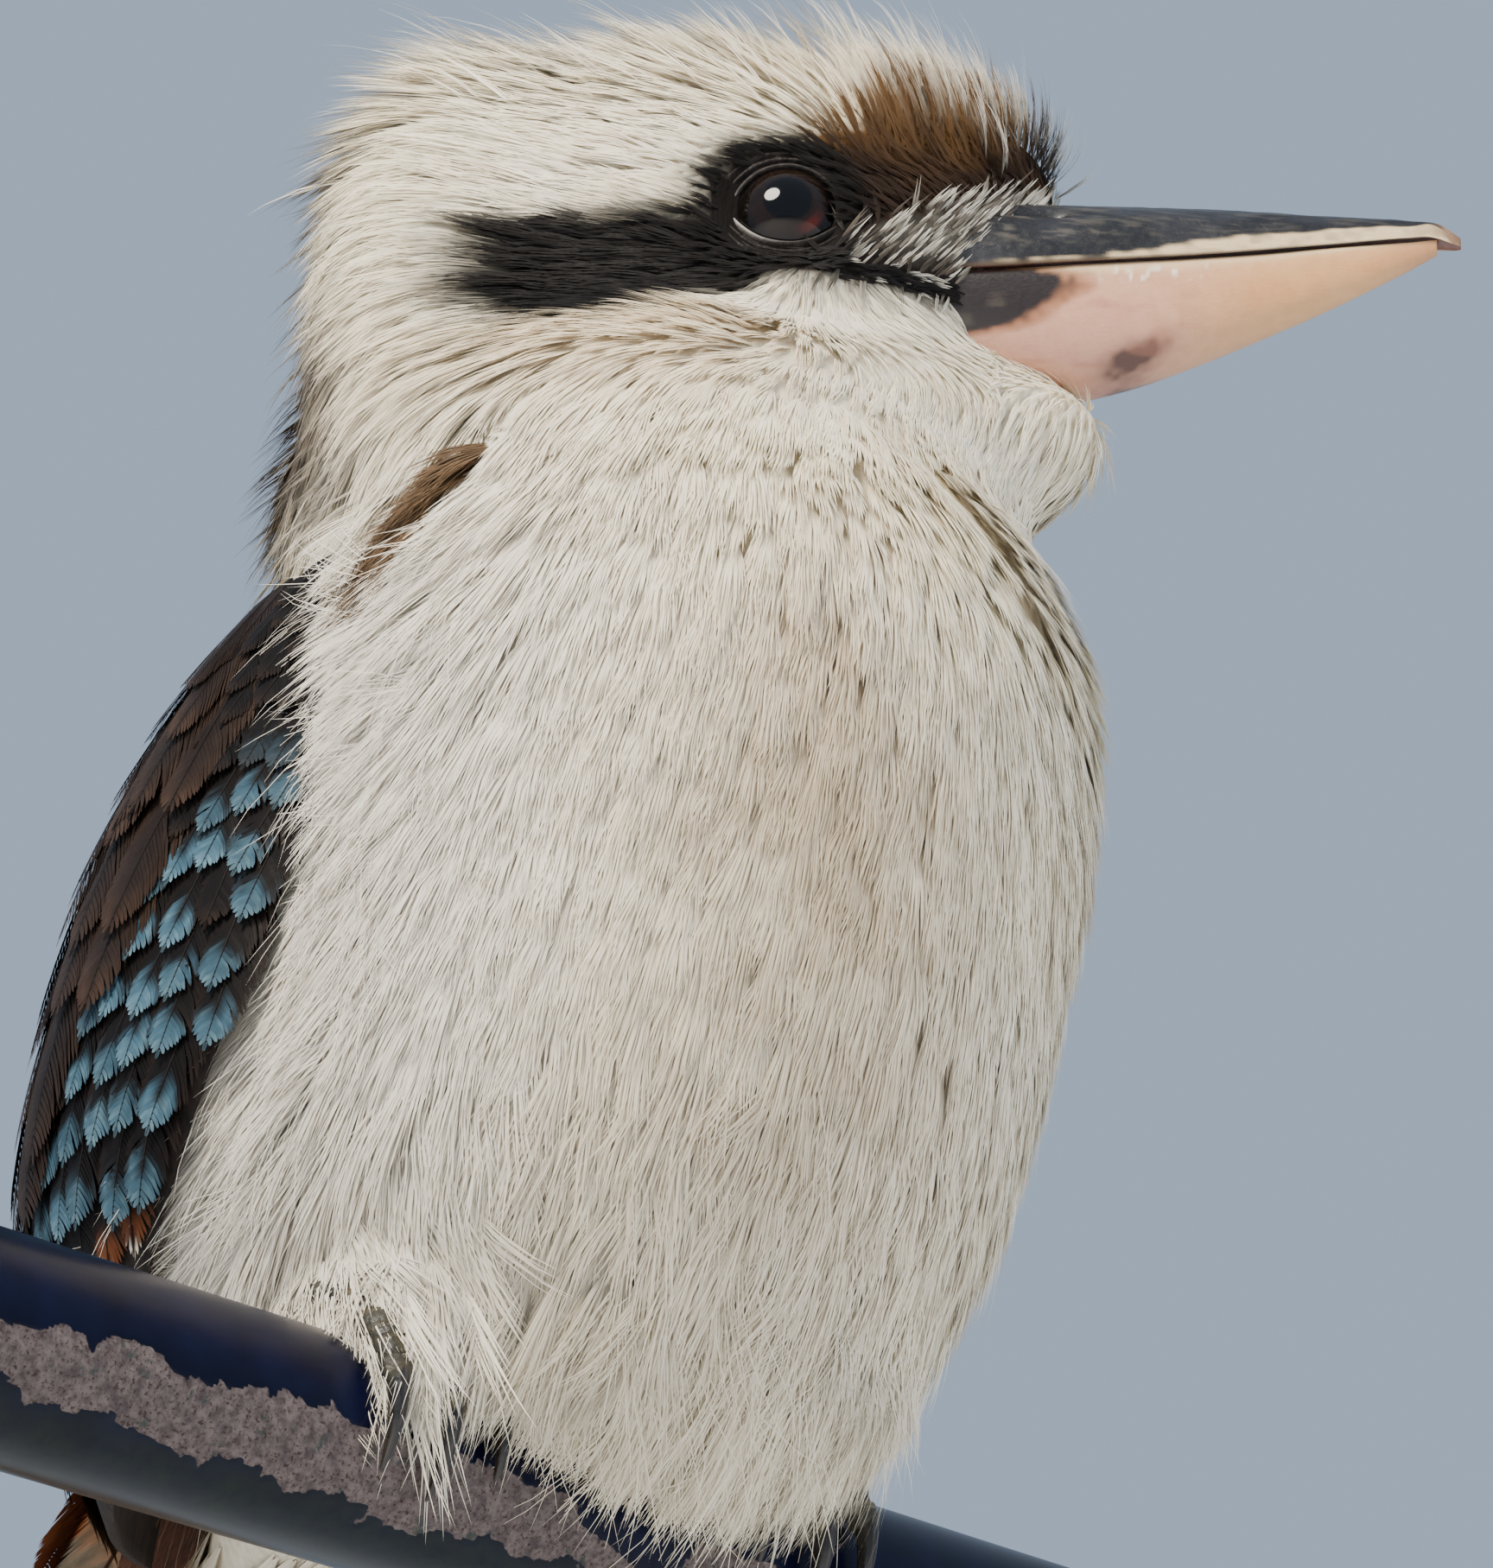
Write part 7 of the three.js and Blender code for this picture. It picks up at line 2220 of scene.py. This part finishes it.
def make_perch():
    nx, n = ((430, 200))
    L = RAIL_L / 2
    # profile along the axis: bored end, rounded rim, outside, rounded rim, bored end
    xs = np.concatenate([[-L + 16.0, -L + 8.0, -L + 0.6, -L + 0.12, -L, -L + 0.12, -L + 0.5, -L + 1.2], np.linspace(-L + 2.2, L - 2.2, nx),
                         [L - 1.2, L - 0.5, L - 0.12, L, L - 0.12, L - 0.6, L - 8.0, L - 16.0]])
    ri = 11.9
    rs = np.concatenate([[ri, ri, ri, ri + 0.25, ri + 0.9, RAIL_R - 0.9, RAIL_R - 0.3, RAIL_R - 0.06], np.full(nx, RAIL_R),
                         [RAIL_R - 0.06, RAIL_R - 0.3, RAIL_R - 0.9, ri + 0.9, ri + 0.25, ri, ri, ri]])
    rows = len(xs)
    a = 2 * PI * np.arange(n) / n
    deg = np.degrees(a)
    deg = np.where(deg > 180, deg - 360, deg)
    XX, AA = np.meshgrid(xs, deg, indexing="ij")
    RR = np.repeat(rs[:, None], n, 1)
    P0 = np.stack([XX, -RR * np.sin(np.radians(AA)), -RAIL_R + RR * np.cos(np.radians(AA))], -1)
    f = P0.reshape(-1, 3)
    n1 = noise(f, 7.0, 101)
    n2 = noise(f, 2.6, 102)
    n3 = noise(f, 1.1, 103)
    rag = 13 * (n1 - 0.5) + 9 * (n2 - 0.5) + 6 * (n3 - 0.5)
    ang = AA.ravel()
    xx = XX.ravel()
    # worn bare in a band along the lower front, ragged at both edges and fading out past the bird's left foot
    top = curve(xx, [-150, -110, -80, -45, 0, 60, 150], [104, 100, 94, 97, 104, 112, 122])
    low = curve(xx, [-150, -110, -80, -45, 0, 60, 150], [128, 131, 134, 138, 134, 128, 124])
    worn = step(top - 1.5, top + 1.5, ang + rag) * step(low + 1.5, low - 1.5, ang + rag * 1.2)
    worn = worn * (noise(f, 14, 104) > curve(xx, [-150, -30, 20, 80, 150], [0.0, 0.12, 0.35, 0.45, 0.5]))
    worn = np.clip(worn + (step(0.80, 0.86, n2 * 0.6 + n1 * 0.4) * step(60, 100, np.abs(ang)) * step(150, 120, np.abs(ang))), 0, 1)
    outer = (RR.ravel() > RAIL_R - 0.5)
    worn = worn * outer
    grime = step(120, 150, np.abs(ang) + 10 * (n1 - 0.5)) * (0.6 + 0.4 * n2)
    d = -0.16 * worn + 0.05 * worn * (n3 - 0.5) + 0.02 * (n1 - 0.5)
    rr = RR.ravel() + d * outer - 0.03
    v = np.stack([xx, -rr * np.sin(np.radians(ang)), -RAIL_R + rr * np.cos(np.radians(ang))], -1)
    m = Nodes("perch_paint")
    co = m.coords()
    nA = m.noise(co, 600.0, 5.0, 0.65)
    nB = m.noise(co, 90.0, 4.0, 0.6)
    nC = m.noise(co, 1900.0, 3.0, 0.6)
    w = m.attr("Worn", "Fac")
    g = m.attr("Grime", "Fac")
    wm = m.ramp(m.math("ADD", w, m.math("MULTIPLY", m.math("SUBTRACT", nA, 0.5), 0.9)), 0.38, 0.60)
    paint_c = m.mix(m.ramp(nB, 0.35, 0.7), srgb(5, 7, 26), srgb(9, 12, 38))
    paint_c = m.mix(m.math("MULTIPLY", g, m.ramp(nA, 0.3, 0.6, 0.55, 0.95)), paint_c, srgb(27, 34, 31))
    bare = m.mix(m.ramp(nA, 0.3, 0.7), srgb(72, 62, 62), srgb(112, 100, 96))
    bare = m.mix(m.ramp(nC, 0.50, 0.70), bare, srgb(58, 44, 38))
    bare = m.mix(m.ramp(m.noise(co, 320.0, 4.0, 0.6), 0.58, 0.70), bare, srgb(58, 64, 60))
    m.set(Base_Color=m.mix(wm, paint_c, bare), Roughness=m.mix(wm, (0.28, 0.28, 0.28), (0.85, 0.85, 0.85)))
    m.put(m.b.inputs["Specular IOR Level"], 0.16)
    m.bump(m.math("ADD", m.math("MULTIPLY", wm, m.math("SUBTRACT", nC, 1.2)), m.math("MULTIPLY", nB, 0.12)), 0.00022, 0.8)
    o, capv = grid_mesh("rail_pipe", v.reshape(rows, n, 3), m.m)
    # the bore's floor closes the pipe a little way in
    scalar(o, "Worn", np.concatenate([worn, [0, 0]]))
    scalar(o, "Grime", np.concatenate([np.where(outer, grime, 1.0), [1, 1]]))
    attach(o, "root")
    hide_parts("perch")


def lathe(name, profile, x, y, material, n=64, per=1):
    prof = np.array(profile, float)
    a = 2 * PI * np.arange(n) / n
    V = np.stack([x + prof[:, 0][:, None] * np.cos(a), y + prof[:, 0][:, None] * np.sin(a), np.repeat(prof[:, 1][:, None], n, 1)], -1)
    return grid_mesh(name, V, material)[0]


def rounded(points, r, seg=5):
    """The polyline with its inner corners rounded off."""
    P = [np.array(p, float) for p in points]
    out = [P[0]]
    for i in range(1, len(P) - 1):
        a, b, c = P[i - 1], P[i], P[i + 1]
        la, lc = np.linalg.norm(a - b), np.linalg.norm(c - b)
        k = min(r, 0.45 * la, 0.45 * lc)
        p0, p1 = b + (a - b) / la * k, b + (c - b) / lc * k
        for j in range(seg + 1):
            t = j / seg
            out.append((1 - t) ** 2 * p0 + 2 * t * (1 - t) * b + t * t * p1)
    out.append(P[-1])
    return out


def make_stand():
    steel = Nodes("stand_steel")
    co = steel.coords()
    br = steel.noise(steel.scale(co, 1, 1, 22.0), 160.0, 3.0, 0.6)
    fine = steel.noise(co, 700.0, 3.0, 0.6)
    steel.set(Base_Color=steel.mix(br, srgb(150, 152, 156), srgb(186, 188, 192)), Roughness=steel.ramp(br, 0.3, 0.7, 0.28, 0.42))
    steel.put(steel.b.inputs["Metallic"], 1.0)
    steel.bump(steel.math("ADD", br, fine), 0.00006, 0.6)
    foot = 16.3 - 320.0
    top = -29.0
    for x, tag in ((-118.0, "A"), (118.0, "B")):
        prof = rounded([(0.3, foot + 0.02), (12.9, foot + 0.02), (12.9, foot + 4.2), (11.8, foot + 5.0), (7.0, foot + 6.0), (4.98, foot + 9.0), (4.98, top - 12.0), (8.95, top - 4.0), (8.95, top - 0.4), (7.4, top - 0.1), (0.3, top - 0.1)], 1.2)
        o = lathe("stand_rod_" + tag + "_turned", prof, x, 0.0, steel.m, 72)
        # the cup's upper side follows the pipe
        me = o.data
        co_ = np.empty(len(me.vertices) * 3, np.float32)
        me.vertices.foreach_get("co", co_)
        p = co_.reshape(-1, 3) * 1000.0 - LIFT
        m_ = p[:, 2] > top - 1.2
        rise = np.sqrt(np.maximum((RAIL_R + 0.15) ** 2 - p[:, 1] ** 2, 1.0))
        p[m_, 2] = (-RAIL_R - rise[m_]) - 0.02
        me.vertices.foreach_set("co", ((p + LIFT) / 1000.0).astype(np.float32).ravel())
        me.update()
        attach(o, "root")
        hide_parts("stand_rod_" + tag)
    # the base: a slab with rounded corners and softened edges
    w, d, z, c = 140.0, 110.0, 16.0, 26.0
    prof = [(-6.0, 0.0), (-1.2, 0.0), (-0.35, 0.35), (0.0, 1.2), (0.0, z - 3.0), (-0.25, z - 1.7), (-1.0, z - 0.7), (-2.2, z - 0.12), (-3.2, z)]
    ring = []
    for cx_, cy_, a0 in ((w - c, d - c, 0), (-w + c, d - c, 90), (-w + c, -d + c, 180), (w - c, -d + c, 270)):
        for k in range(17):
            a = math.radians(a0 + 90 * k / 16)
            ring.append((cx_, cy_, math.cos(a), math.sin(a)))
    ring = np.array(ring)
    V = []
    for off, zz in [(-c + 0.5, 0.0)] + prof + [(-c + 0.5, z)]:
        r = c + off
        V.append(np.stack([ring[:, 0] + ring[:, 2] * r, ring[:, 1] + ring[:, 3] * r, np.full(len(ring), zz - 320.0)], -1))
    m = Nodes("stand_base_lacquer")
    co = m.coords()
    fl = m.noise(co, 60.0, 4.0, 0.6)
    fi = m.noise(co, 900.0, 3.0, 0.6)
    m.set(Base_Color=m.mix(m.ramp(fl, 0.3, 0.7), srgb(196, 194, 188), srgb(210, 208, 202)), Roughness=m.ramp(fl, 0.3, 0.7, 0.42, 0.52))
    m.bump(fi, 0.00008, 0.5)
    o, _ = grid_mesh("stand_base_slab", np.array(V), m.m)
    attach(o, "root")
    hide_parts("stand_base")


make_perch()
make_stand()


# ---------------------------------------------------------------- camera, light, floor
scene = bpy.context.scene
cam = bpy.data.objects.new("camera", bpy.data.cameras.new("camera"))
scene.collection.objects.link(cam)
scene.camera = cam
cam.data.sensor_width = 36.0
cam.data.sensor_fit = "AUTO"
cam.data.lens = 36.0 * 7790 / 1815
cam.data.clip_start = 0.02
cam.data.clip_end = 50
eye_at = Vector((-0.60013, -0.61891, 0.03071))
look = Vector((0.01887, -0.01061, 0.41711))
cam.location = eye_at
cam.rotation_euler = (look - eye_at).normalized().to_track_quat("-Z", "Y").to_euler()


def area(name, at, target, size, watts, tint):
    d = bpy.data.lights.new(name, "AREA")
    d.shape = "DISK"
    d.size = size
    d.energy = watts
    d.color = tint
    o = bpy.data.objects.new(name, d)
    o.location = at
    o.rotation_euler = (Vector(target) - Vector(at)).to_track_quat("-Z", "Y").to_euler()
    o.visible_glossy = name == "key"
    scene.collection.objects.link(o)
    return o


area("key", (-1.45, -0.45, 1.65), (0, 0, 0.42), 0.85, 80, (1.0, 0.93, 0.82))
area("fill", (0.6, -1.6, 0.7), (0, 0, 0.4), 1.6, 20, (0.90, 0.94, 1.0))
area("rim", (0.4, 1.5, 1.3), (0, 0, 0.42), 1.0, 16, (0.95, 0.97, 1.0))
world = bpy.data.worlds.new("world")
scene.world = world
world.use_nodes = True
bg = world.node_tree.nodes["Background"]
bg.inputs[0].default_value = (0.40, 0.50, 0.64, 1)
bg.inputs[1].default_value = 0.95

fm = Nodes("floor")
grain = fm.noise(fm.coords(), 40.0, 4.0, 0.5)
fm.set(Base_Color=fm.mix(grain, (0.60, 0.61, 0.62), (0.64, 0.65, 0.66)), Roughness=0.9)
floor = mesh_of("floor", [[-3000, -3000, -320], [3000, -3000, -320], [3000, 3000, -320], [-3000, 3000, -320]], [[0, 1, 2, 3]], material=fm.m)
